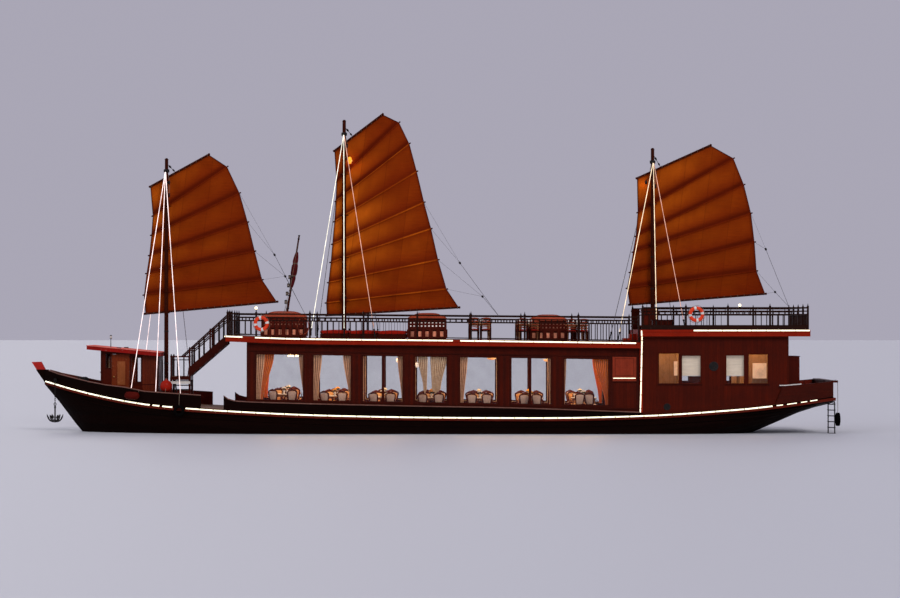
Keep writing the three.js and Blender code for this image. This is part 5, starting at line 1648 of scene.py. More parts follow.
    def fenders(self) -> None:
        """Hangs the ball fenders, the tyres and their lines over the side."""
        ball = Solid()
        profile = [(0.02, -0.27), (0.10, -0.25), (0.18, -0.20), (0.24, -0.12), (0.268, -0.01),
                   (0.25, 0.10), (0.20, 0.18), (0.12, 0.24), (0.06, 0.265), (0.045, 0.31), (0.03, 0.33)]
        place_at = (11.34, HULL.half(11.34) - 0.36, 2.03)
        ball.turned(profile, place_at, sides=24)
        ends = [(0.03, -0.33), (0.09, -0.31), (0.15, -0.25), (0.17, -0.15), (0.17, 0.15), (0.15, 0.25),
                (0.09, 0.31), (0.03, 0.33)]
        along = (HULL.half(13.1) - HULL.half(12.5)) / 0.6
        dim = Solid()
        dim.turned(ends, (12.8, HULL.half(12.8) + 0.18, 1.63), (1.0, along, 0.04), sides=20)
        dim.put("fender_dim", "hull_paint", [FINISH.dim_red])
        ball.put("fender_balls", "hull_paint", [FINISH.buoy])
        lines = Solid()
        x, y, z = place_at
        lines.tube([(x, y, z + 0.31), (x + 0.01, y + 0.02, z + 0.36), (x, y + 0.1, z + 0.2),
                    (x, y + 0.31, self.bow_top(x) + 0.04)], 0.009, 6)
        x = 12.5
        y, top = HULL.half(x), self.bow_top(x)
        lines.tube([(x, y + 0.17, 1.78), (x, y + 0.10, 1.86), (x, y + 0.03, top + 0.04),
                    (x, y - 0.08, top + 0.035), (x, y - 0.10, 1.6)], 0.009, 6)
        tyres = Solid()
        x, z, radius = 10.72, 1.0, 0.24
        y, top = HULL.half(x) + 0.10 + 0.09, self.bow_top(x)
        self.tyre(tyres, (x, y, z), radius)
        lines.tube([(x, y, z + radius), (x, y - 0.05, z + radius + 0.1), (x, y - 0.165, top + 0.04),
                    (x, y - 0.29, top + 0.03), (x, y - 0.31, top - 0.25)], 0.011, 6)
        x, y = -17.57, 2.48
        self.tyre(tyres, (x, y, 0.62), 0.29, across=True)
        lines.tube([(x, y, 0.90), (x, y, 1.6), (x, 2.45, 2.29), (-17.45, 2.42, 2.31)], 0.011, 6)
        tyres.put("tyre_fenders", "hull_paint", [FINISH.rubber], sharp=60)
        lines.put("fender_lines", "hull_paint", [FINISH.rope])

    def tyre(self, body: Solid, centre: Point, radius: float, across: bool = False) -> None:
        """Adds a tyre with a grooved tread.

        Args:
            body: The piece it goes into.
            centre: Its middle.
            radius: Its outer radius.
            across: Whether it faces along the boat instead of to the side.
        """
        outline = [(0.0, 0.085), (0.02, 0.09), (0.10, 0.075), (0.115, 0.05), (0.10, 0.035), (0.115, 0.02),
                   (0.10, 0.008), (0.115, 0.0)]
        half = [(radius - 0.115 + a, b) for a, b in outline]
        profile = half + [(r, -w) for r, w in half[::-1]]
        rings = []
        for t in turns(32):
            ring = []
            for r, w in profile:
                u, v = r * math.cos(t), r * math.sin(t)
                ring.append((centre[0] + w, centre[1] + u, centre[2] + v) if across
                            else (centre[0] + u, centre[1] + w, centre[2] + v))
            rings.append(ring)
        body.rings(rings, looped=True)

    def build(self) -> None:
        """Builds everything along the hull's side."""
        for step in (self.strips, self.caps, self.linings, self.decks, self.planks, self.fenders):
            step()


@dataclass(frozen=True)
class SailPlan:
    """One mast's sail: its corners and battens in x and z, and its mast and stays."""

    name: str
    mast: float
    foot: float
    crosstree: float
    head: float
    base: float
    throat: tuple[float, float]
    peak: tuple[float, float]
    clew: tuple[float, float]
    tack: tuple[float, float]
    battens: tuple[tuple[tuple[float, float], tuple[float, float]], ...]
    stays: tuple[float, ...]

    def rows(self) -> list[tuple[tuple[float, float], tuple[float, float]]]:
        """Returns the yard, the battens and the boom as (leech, luff) pairs from the top down."""
        return [(self.peak, self.throat), *self.battens, (self.clew, self.tack)]


SAILS = (
    SailPlan("fore", 11.58, 0.10, 11.46, 11.94, 1.2, (12.31, 10.79), (9.76, 12.19), (6.74, 5.70),
             (12.52, 5.17), (
                 ((8.94, 11.65), (12.2, 9.5)), ((8.39, 10.49), (12.26, 8.65)), ((8.03, 9.21), (12.35, 7.75)),
                 ((7.72, 7.93), (12.47, 6.95)), ((7.39, 6.67), (12.58, 6.0)),
             ), (12.95, 11.8, 10.65)),
    SailPlan("main", 3.76, 0.11, 13.08, 13.63, 4.08, (4.19, 12.37), (2.09, 13.96), (-1.28, 5.45),
             (4.52, 5.10), (
                 ((1.35, 13.6), (4.1, 11.0)), ((0.9, 12.67), (4.13, 10.15)), ((0.57, 11.44), (4.19, 9.25)),
                 ((0.25, 10.08), (4.28, 8.25)), ((-0.06, 8.92), (4.35, 7.45)), ((-0.37, 7.55), (4.45, 6.55)),
                 ((-0.74, 6.26), (4.55, 5.65)),
             ), (5.1, 3.64, 2.3)),
    SailPlan("mizzen", -9.82, 0.10, 11.85, 12.39, 4.47, (-9.16, 11.16), (-12.37, 12.6), (-14.79, 6.05),
             (-8.83, 5.57), (
                 ((-13.4, 12.02), (-9.19, 9.65)), ((-13.86, 10.86), (-9.10, 8.6)),
                 ((-14.17, 9.6), (-8.98, 7.9)), ((-14.32, 8.33), (-8.85, 7.0)),
                 ((-14.41, 7.06), (-8.72, 6.3)),
             ), (-8.09, -9.75, -10.97)),
)


@dataclass
class Sail:
    """One battened sail: its cloth, which passes over the battens, and its small fittings."""

    plan: SailPlan
    flat: float = -0.214
    over: float = -0.181
    thick: float = 0.005
    billow: float = 0.085
    across: int = 40
    down: int = 9

    def point(self, panel: int, s: float, t: float) -> tuple[Vector, float, float]:
        """Finds a place on the cloth.

        Args:
            panel: The panel, from the top.
            s: 0 at the leech, 1 at the luff.
            t: 0 at the upper batten, 1 at the lower one.

        Returns:
            The place, with the cloth's billow and puckers, its painted shade and dark rope edge, and how
            much painted light falls on it.
        """
        rows = self.plan.rows()
        (leech_a, luff_a), (leech_b, luff_b) = rows[panel], rows[panel + 1]
        x = [a + s * (b - a) for a, b in ((leech_a[0], luff_a[0]), (leech_b[0], luff_b[0]))]
        z = [a + s * (b - a) for a, b in ((leech_a[1], luff_a[1]), (leech_b[1], luff_b[1]))]
        tall = max(0.3, math.hypot(x[1] - x[0], z[1] - z[0]))
        seed = panel * 1.7 + len(self.plan.name)
        belly = math.sin(math.pi * t)
        edge = math.sin(math.pi * min(max(s, 0.0), 1.0)) ** 0.5
        pucker = 0.016 * math.sin(s * 30 + seed + 1.5 * math.sin(s * 7)) * belly ** 0.6 * edge
        crease = 0.022 * math.sin(s * 9 + t * 3 + seed * 2.1) * belly * edge
        y = self.flat - self.billow * belly * edge + pucker + crease
        near = min(t, 1 - t) * tall
        last = panel == len(rows) - 2
        at_batten = (t < 0.5 and panel > 0) or (t > 0.5 and not last)
        lift = max(0.0, 1 - near / 0.045) if at_batten else 0.0
        y += (self.over - self.flat) * lift * lift * (3 - 2 * lift)
        # Painted shade: a soft dark band just above each batten, at the foot of the panel over it, and a darkening
        # towards each panel's foot.
        under = max(0.0, 1 - abs(near - 0.08) / 0.16) if at_batten and t > 0.5 else 0.0
        under += 0.35 * max(0.0, (t - 0.62) / 0.38) if not last else 0.0
        # The dark bolt rope along the leech and the luff.
        rim = max(0.0, 1.2 - min(s, 1 - s) / 0.014)
        depth = (panel + t) / (len(rows) - 1)
        # Painted light on each panel's upper middle, stronger towards the luff.
        lit = math.sin(math.pi * min(1.0, t / 0.92) ** 0.62) ** 1.2 * (0.25 + 0.75 * s ** 0.8)
        # Main sail: a painted pool of light in its middle towards the luff, weaker painted shade at its lower battens
        # and a painted highlight along their crests. Fore and mizzen: painted light that fades and painted shade that
        # deepens towards the foot.
        if self.plan.name == "main":
            lit *= 0.65 + 2.2 * math.exp(-((depth - 0.50) / 0.24) ** 2 - ((s - 0.72) / 0.30) ** 2)
            if panel > 1:
                under *= 0.4
                lit = max(lit, 1.3 * max(0.0, 1 - near / 0.05))
        else:
            lit *= 1.35 - 1.0 * depth
            under += 0.25 * depth
        place_on = Vector((x[0] + t * (x[1] - x[0]), y, z[0] + t * (z[1] - z[0])))
        return place_on, min(1.0, max(under, rim)), lit

    def steps(self, tall: float) -> list[float]:
        """Returns where a panel of that height has its rows, closer together at the battens."""
        close = [0.0, 0.018, 0.036, 0.056, 0.11, 0.19]
        even = [0.19 + (tall - 0.38) * (k + 1) / (self.down + 1) for k in range(self.down)]
        return [c / tall for c in (*close, *even, *[tall - c for c in close[:0:-1]])]

    def cloth(self) -> None:
        """Builds the cloth as one sheet, with a UV map in metres, its painted shade and its painted light."""
        # folds holds each point's painted shade and dark rope edge, and lights holds its painted light.
        rows, folds, lights = [], [], []
        plan = self.plan.rows()
        for panel in range(len(plan) - 1):
            (a, b), (c, d) = plan[panel], plan[panel + 1]
            tall = min(math.dist(a, c), math.dist(b, d))
            last = [1.0] if panel == len(plan) - 2 else []
            for t in (*self.steps(max(tall, 0.45)), *last):
                made = [self.point(panel, i / self.across, t) for i in range(self.across + 1)]
                rows.append([p for p, _, _ in made])
                folds += [f for _, f, _ in made]
                lights += [n for _, _, n in made]
        body = Solid()
        body.grid(rows)
        name = f"sail_cloth_{self.plan.name}"
        data = bpy.data.meshes.new(name)
        data.from_pydata(body.points, [], body.faces)
        data.polygons.foreach_set("use_smooth", [True] * len(data.polygons))
        # The painted shade with the dark rope edge, and the painted light, which the sail's finish reads.
        data.attributes.new("shade_and_edge", "FLOAT", "POINT").data.foreach_set("value", folds)
        data.attributes.new("lit", "FLOAT", "POINT").data.foreach_set("value", lights)
        unfold(data, lambda p: (p.x + 0.12 * p.z, p.z))
        size = [max(v.co[i] for v in data.vertices) - min(v.co[i] for v in data.vertices) for i in (0, 2)]
        piece = place(data, name, f"sail_{self.plan.name}", "sail_cloth", [FINISH.sail],
                      [f"sail_{self.plan.name}"])
        thicken(piece, self.thick, 0.0)
        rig.sheet(piece, flat=(round(size[0], 2), round(size[1], 2)), held="stretched",
                 area=round(area(data), 1), rests_on=[f"spars_{self.plan.name}"])

    def fittings(self) -> None:
        """Laces the cloth to its yard and boom and seats the battens' ends in small cups."""
        laces, cups = Solid(), Solid()
        rows = self.plan.rows()
        for row, (leech, luff) in enumerate(rows):
            yard = row in (0, len(rows) - 1)
            radius = 0.045 if yard else 0.026
            centre = -0.215 + radius - 0.026
            ends = Vector((luff[0] - leech[0], 0.0, luff[1] - leech[1]))
            along = ends.normalized()
            up = Vector((-along.z, 0.0, along.x))
            for end, way in ((leech, -1), (luff, 1)):
                at = Vector((end[0], centre, end[1])) + along * way * 0.02
                cups.turned([(radius + 0.004, 0.0), (radius + 0.008, 0.012), (radius + 0.006, 0.04),
                             (radius * 0.5, 0.062)], at, tuple(along * way), 12)
            if not yard:
                continue
            count = max(3, round(ends.length / 0.3))
            for k in range(count + 1):
                at = Vector((leech[0], centre, leech[1])) + ends * ((k + 0.2) / (count + 0.4))
                loop = []
                for q, t in enumerate(turns(10)):
                    round_it = Vector((0, math.cos(t) * (radius + 0.007), 0))
                    loop.append(at + round_it + along * 0.03 * (q / 10 - 0.5) + up * math.sin(t)
                                * (radius + 0.01))
                laces.tube(loop, 0.006, 5, looped=True)
        name = self.plan.name
        laces.put(f"sail_laces_{name}", "spar_wood", [FINISH.rope], body=f"sail_{name}")
        cups.put(f"batten_ends_{name}", "spar_wood", [FINISH.mast], body=f"sail_{name}")

    def build(self) -> None:
        """Builds the sail."""
        self.cloth()
        self.fittings()


@dataclass(frozen=True)
class Lead:
    """Where a sail's sheets run: two blocks, the rows they gather and the end on the rail."""

    high: Point
    high_rows: tuple[int, ...]
    low: Point
    low_rows: tuple[int, ...]
    end: Point


LEADS = (
    Lead((6.91, -1.25, 7.80), (2, 3), (6.45, -1.5, 6.85), (4, 5), (5.65, -2.93, 5.17)),
    Lead((-1.34, -1.25, 7.44), (4, 5), (-2.35, -1.6, 5.95), (6, 7), (-3.1, -2.93, 5.09)),
    Lead((-14.95, -1.2, 8.05), (3, 4), (-15.4, -1.5, 6.15), (5, 6), (-16.22, -2.98, 5.5)),
)


@dataclass
class Rigging:
    """The lit stays, the crosstrees, the halyards and the sheets."""

    spread: float = 0.42
    lamp: float = 0.0145

    def stay_foot(self, plan: SailPlan, x: float) -> Point:
        """Returns where a stay lands on the port side."""
        if plan.name == "fore":
            return (x, HULL.half(x) - 0.105, HULL.deck(x))
        if plan.name == "main" or x > -9.05:
            return (x, 2.84, upper(x))
        return (x, 2.89, 4.47)

    def stays(self, plan: SailPlan) -> None:
        """Builds one mast's crosstree and stays with their lamp ropes and lashings."""
        lit, dark, sleeve, near = Solid(), Solid(), Solid(), Solid()
        top = plan.crosstree
        for x in plan.stays:
            fx, y, z = self.stay_foot(plan, x)
            head, foot = Vector((plan.mast, self.spread, top)), Vector((fx, y, z + 0.05))
            step = (foot - head).normalized()
            dim = plan.name != "fore" and x == plan.stays[-1]
            out = Vector((0, 0.004, 0))
            lit.tube([head + step * 0.08 + out, foot - step * 0.42 + out], self.lamp * (0.85 if dim else 1),
                     8, skin=int(dim))
            back = near if plan.name == "fore" and x == max(plan.stays) else sleeve
            back.tube([head + step * 0.08 - out, foot - step * 0.42 - out], self.lamp * 0.98, 8)
            dark.tube([head + step * 0.01, head + step * 0.1], 0.014, 6)
            dark.tube([foot - step * 0.43, foot - step * 0.34, foot - step * 0.12, foot],
                      [0.014, 0.026, 0.026, 0.014], 8)
            for k in (0.38, 0.12):
                dark.turned([(0.034, -0.03), (0.045, 0.0), (0.034, 0.03)], foot - step * k, tuple(step), 12)
            dark.block((fx - 0.045, y - 0.03, z + 0.0005), (fx + 0.045, y + 0.03, z + 0.035))
            dark.tube([(fx, y - 0.02, z + 0.03), (fx, y - 0.02, z + 0.075), (fx, y + 0.02, z + 0.075),
                       (fx, y + 0.02, z + 0.03)], 0.011, 6)
        lit.mirrored()
        dark.mirrored()
        sleeve.mirrored()
        sleeve.add(near.points, near.faces)
        dark.tube([(plan.mast, -0.46, top), (plan.mast, -0.2, top + 0.01), (plan.mast, 0.2, top + 0.01),
                   (plan.mast, 0.46, top)], [0.02, 0.03, 0.03, 0.02], 10)
        for side in (-1, 1):
            dark.turned([(0.03, -0.02), (0.038, 0.0), (0.03, 0.02)],
                        (plan.mast, side * 0.44, top), (0, 1, 0), 10)
        dark.turned([(0.112, -0.07), (0.125, -0.055), (0.125, 0.055), (0.112, 0.07)],
                    (plan.mast, 0, top), sides=20)
        glow = {"fore": FINISH.stay_pink, "main": FINISH.stay_warm, "mizzen": FINISH.stay_cream}[plan.name]
        node = f"stays_{plan.name}"
        sleeve.put(f"lamp_sleeves_{plan.name}", "stay_wire", [FINISH.sleeve], [node])
        lit.put(f"lamp_ropes_{plan.name}", "stay_wire", [glow, FINISH.stay_dim], [node])
        dark.put(f"stay_ends_{plan.name}", "iron", [FINISH.iron], [node])

    def head(self, plan: SailPlan) -> None:
        """Adds the mast's truck, its halyard block and the halyard down to its cleat."""
        wood, line = Solid(), Solid()
        x, z = plan.mast, plan.head
        wood.turned([(0.05, 0.0), (0.085, 0.012), (0.085, 0.04), (0.05, 0.06), (0.055, 0.08), (0.04, 0.085)],
                    (x, 0, z - 0.005), sides=16)
        for at in ((x, -0.15, plan.crosstree - 0.22), (x, 0.15, plan.crosstree - 0.30)):
            wood.turned([(0.03, -0.09), (0.055, -0.05), (0.06, 0.0), (0.055, 0.05), (0.03, 0.09)], at,
                        sides=12)
            line.tube([(x, at[1] * 0.55, at[2] + 0.16), (x, at[1], at[2] + 0.09)], 0.010, 6)
        line.tube([(x, 0.15, plan.crosstree - 0.38), (x + 0.02, plan.foot + 0.06, plan.base + 1.25)], 0.008,
                  6)
        line.tube([(x - 0.02, 0.13, plan.crosstree - 0.38), (x - 0.03, plan.foot + 0.05, plan.base + 1.2)],
                  0.008, 6)
        cleat = [(x, plan.foot + 0.045, plan.base + 1.05), (x, plan.foot + 0.06, plan.base + 1.2),
                 (x, plan.foot + 0.045, plan.base + 1.35)]
        wood.tube(cleat, [0.012, 0.022, 0.012], 8)
        wood.block((x - 0.02, plan.foot - 0.02, plan.base + 1.17),
                   (x + 0.02, plan.foot + 0.05, plan.base + 1.23))
        for k in range(4):
            at = plan.base + 1.15 + k * 0.025
            line.tube([(x + 0.05 * math.cos(t), plan.foot + 0.05 + 0.03 * math.sin(t),
                        at + 0.01 * math.cos(2 * t)) for t in turns(12)], 0.008, 5, looped=True)
        wood.put(f"mast_fittings_{plan.name}", "spar_wood", [FINISH.mast])
        line.put(f"halyard_{plan.name}", "stay_wire", [FINISH.tarred])

    def yard_tackle(self, plan: SailPlan) -> None:
        """Hangs the yard from the mast's head by a pair of blocks and their falls."""
        gear = Solid()
        (px, pz), (tx, tz) = plan.peak, plan.throat
        x = plan.mast - 0.36
        start = Vector((plan.mast - 0.075, -0.04, plan.crosstree + 0.26))
        end = Vector((x, -0.19, tz + (x - tx) / (px - tx) * (pz - tz) + 0.035))
        way = (end - start).normalized()
        tall = (end - start).length
        for at, size in ((0.24, 1.0), (0.76, 0.85)):
            gear.turned([(0.012, -0.075 * size), (0.040 * size, -0.045 * size), (0.045 * size, 0.0),
                         (0.040 * size, 0.045 * size), (0.012, 0.075 * size)], start + way * tall * at,
                        tuple(way), 10)
        for off in (-0.022, 0.0, 0.022):
            side = Vector((0, off, off * 0.3))
            gear.tube([start + side + way * tall * k / 8 for k in range(9)], 0.007, 5)
        name = f"yard_tackle_{plan.name}"
        gear.put(name, "stay_wire", [FINISH.iron], bend=(f"sail_{plan.name}", tuple(start), tuple(end)))

    def sheets(self, plan: SailPlan, lead: Lead) -> None:
        """Runs a sail's sheets from its leech, over their blocks, to the starboard rail.

        Args:
            plan: The sail.
            lead: Its blocks and where the falls are made fast.
        """
        bridle = Solid()
        for block, rows in ((lead.high, lead.high_rows), (lead.low, lead.low_rows)):
            at = Vector(block)
            for row in rows:
                x, z = plan.rows()[row][0]
                bridle.tube([(x, -0.215, z), at], 0.005, 4)
            way = (Vector(lead.end) - at).normalized()
            bridle.turned([(0.015, -0.07), (0.045, -0.04), (0.05, 0.0), (0.045, 0.04), (0.015, 0.07)], at,
                          tuple(way), 10)
            name = f"sheet_fall_{plan.name}_{'high' if block is lead.high else 'low'}"
            fall = Solid()
            fall.tube([at.lerp(Vector(lead.end), k / 14) for k in range(15)], 0.008, 6)
            fall.put(name, "stay_wire", [FINISH.wire], bend=(f"sail_{plan.name}", lead.end, block))
        name = f"sheet_bridle_{plan.name}"
        bridle.put(name, "stay_wire", [FINISH.wire], body=f"sail_{plan.name}")

    def build(self) -> None:
        """Builds the rigging of all masts."""
        for plan, lead in zip(SAILS, LEADS):
            self.stays(plan)
            self.head(plan)
            self.yard_tackle(plan)
            self.sheets(plan, lead)


@dataclass(frozen=True)
class Drape:
    """One curtain: where it hangs, how wide it is at the top and at the bottom, and its cloth."""

    name: str
    top: tuple[float, float]
    foot: tuple[float, float]
    cloth: bpy.types.Material
    tie: float = 0.0


@dataclass
class Chair:
    """A dining chair with turned legs, an oval padded back and a crowned seat pad."""

    width: float = 0.42
    depth: float = 0.42
    seat: float = 0.44
    outline: tuple[tuple[float, float], ...] = (
        (-0.150, 0.03), (-0.165, 0.12), (-0.187, 0.25), (-0.205, 0.36), (-0.205, 0.42), (-0.180, 0.462),
        (-0.120, 0.485), (0.0, 0.50), (0.120, 0.485), (0.180, 0.462), (0.205, 0.42), (0.205, 0.36),
        (0.187, 0.25), (0.165, 0.12), (0.150, 0.03), (0.0, 0.02),
    )

    def lean(self, x: float, z: float) -> tuple[float, float, float]:
        """Returns a place in its leaning back, from its width and its height over the seat."""
        return (x, -self.depth / 2 - 0.005 - 0.20 * z, self.seat + z)

    def frame(self) -> Solid:
        """Returns its wooden frame, about the middle of its foot, facing +Y."""
        w, d, s = self.width / 2, self.depth / 2, self.seat
        body = Solid()
        for side in (-1, 1):
            leg = [(0.016, 0.0), (0.020, 0.02), (0.014, 0.05), (0.024, 0.24), (0.018, 0.27), (0.026, 0.30),
                   (0.026, s - 0.05)]
            body.turned(leg, (side * (w - 0.03), d - 0.03, 0.002), sides=7)
            path = [(side * (w - 0.03), -d - 0.02, 0.002), (side * (w - 0.03), -d + 0.04, 0.22),
                    (side * (w - 0.03), -d + 0.035, s - 0.05)]
            body.tube(path, [0.017, 0.020, 0.022], 6)
            stile = [(side * (w - 0.06), -d + 0.03, s - 0.04), (side * (w - 0.085), -d + 0.005, s + 0.09),
                     (side * (w - 0.075), -d - 0.01, s + 0.15)]
            body.tube(stile, 0.017, 6)
        rail = [(-w, -d), (w, -d), (w + 0.01, 0), (w, d), (-w, d), (-w - 0.01, 0)]
        rings = []
        for out, z in ((0.0, s - 0.08), (0.005, s - 0.07), (0.005, s - 0.025), (-0.006, s - 0.018)):
            rings.append([(x * (1 + out * 4), y * (1 + out * 4), z) for x, y in rail])
        body.rings(rings)
        body.tube([self.lean(x, z) for x, z in self.outline], 0.031, 6, looped=True)
        for side in (-1, 1):
            arm = [self.lean(side * 0.19, 0.25), (side * (w + 0.012), -d + 0.12, s + 0.235),
                   (side * (w + 0.015), d - 0.13, s + 0.215), (side * (w + 0.005), d - 0.08, s + 0.19),
                   (side * (w - 0.015), d - 0.10, s + 0.08), (side * (w - 0.02), d - 0.07, s - 0.03)]
            body.tube(arm, [0.014, 0.017, 0.020, 0.017, 0.014, 0.017], 6)
        crest = [(-0.15, 0.485), (-0.08, 0.517), (-0.03, 0.525), (0, 0.553), (0.03, 0.525), (0.08, 0.517),
                 (0.15, 0.485)]
        body.tube([self.lean(x, z) for x, z in crest], [0.008, 0.026, 0.022, 0.027, 0.022, 0.026, 0.008], 6)
        return body

    def pads(self) -> Solid:
        """Returns its crowned seat pad and its padded oval back."""
        w, d, s = self.width / 2 - 0.01, self.depth / 2 - 0.01, self.seat
        body = Solid()
        rings = []
        for grow, z in ((0.90, -0.018), (0.99, -0.008), (1.0, 0.012), (0.95, 0.034), (0.80, 0.050),
                        (0.45, 0.060), (0.1, 0.062)):
            ring = []
            for t in turns(16):
                c, n = math.cos(t), math.sin(t)
                pull = (abs(c) ** 4 + abs(n) ** 4) ** -0.25
                ring.append((w * grow * c * pull, d * grow * n * pull, s + z))
            rings.append(ring)
        body.rings(rings)
        rings = []
        for grow, out in ((0.2, -0.034), (0.66, -0.028), (0.85, -0.010), (0.86, 0.008), (0.70, 0.032),
                          (0.2, 0.040)):
            ring = []
            for x, z in self.outline:
                at = self.lean(x * grow, 0.25 + (z - 0.25) * grow)
                ring.append((at[0], at[1] + out, at[2]))
            rings.append(ring)
        body.rings(rings)
        return body


@dataclass
class Table:
    """A dining table with a moulded edge on turned legs, set for a meal."""

    length: float = 1.1
    width: float = 0.8
    height: float = 0.75

    def frame(self) -> Solid:
        """Returns its wood, about the middle of its foot, long along X."""
        a, b, h = self.length / 2, self.width / 2, self.height
        body = Solid()
        for grow, low, high in ((1.0, h - 0.03, h - 0.012), (0.985, h - 0.012, h - 0.004)):
            body.block((-a * grow, -b * grow, low), (a * grow, b * grow, high))
        body.block((-a + 0.09, -b + 0.09, h - 0.11), (a - 0.09, b - 0.09, h - 0.03))
        for x in (-a + 0.11, a - 0.11):
            for y in (-b + 0.11, b - 0.11):
                body.turned([(0.020, 0.0), (0.028, 0.03), (0.018, 0.07), (0.032, 0.40), (0.022, 0.45),
                             (0.036, 0.50), (0.036, h - 0.04)], (x, y, 0.002), sides=8)
        return body

    def top(self) -> Solid:
        """Returns the white board that is let into the table's top."""
        body = Solid()
        a, b, h = self.length / 2, self.width / 2, self.height
        body.block((-a + 0.01, -b + 0.01, h - 0.0035), (a - 0.01, b - 0.01, h + 0.0015))
        return body

    def flowers(self) -> tuple[Solid, Solid]:
        """Returns a bunch of blooms and their leaves, over the vase in the table's middle."""
        blooms, leaves = Solid(), Solid()
        for k in range(17):
            t = GOLDEN_ANGLE * k
            out = 0.026 * math.sqrt(k)
            at = (out * math.cos(t), out * math.sin(t), self.height + 0.315 - 0.55 * out)
            blooms.turned([(0.004, -0.016), (0.020, -0.012), (0.029, 0.0), (0.020, 0.013), (0.004, 0.018)],
                          at, (math.cos(t) * out * 4, math.sin(t) * out * 4, 1), 7)
            leaves.tube([(0, 0, self.height + 0.17), (at[0] * 0.8, at[1] * 0.8, at[2] - 0.03)],
                        [0.004, 0.006], 4)
        for t in turns(9):
            tip = (0.135 * math.cos(t), 0.135 * math.sin(t), self.height + 0.20)
            leaves.tube([(0, 0, self.height + 0.18), (tip[0] * 0.6, tip[1] * 0.6, self.height + 0.225), tip],
                        [0.004, 0.020, 0.002], 4)
        return blooms, leaves

    def crockery(self, seats: Sequence[tuple[float, float]]) -> Solid:
        """Returns plates and glasses at the seats and a lamp bowl in the middle.

        Args:
            seats: Where the plates stand.

        Returns:
            The crockery.
        """
        h = self.height + 0.002
        body = Solid()
        for x, y in seats:
            body.turned([(0.06, 0.0), (0.07, 0.008), (0.125, 0.018), (0.125, 0.021), (0.068, 0.012)],
                        (x, y, h), sides=14)
            body.turned([(0.03, 0.0), (0.006, 0.006), (0.006, 0.07), (0.032, 0.10), (0.036, 0.14),
                         (0.030, 0.17)], (x + 0.14, y * 0.6, h), sides=8)
        body.turned([(0.05, 0.0), (0.055, 0.02), (0.03, 0.05), (0.06, 0.10), (0.045, 0.16), (0.01, 0.20)],
                    (0, 0, h), sides=12)
        return body


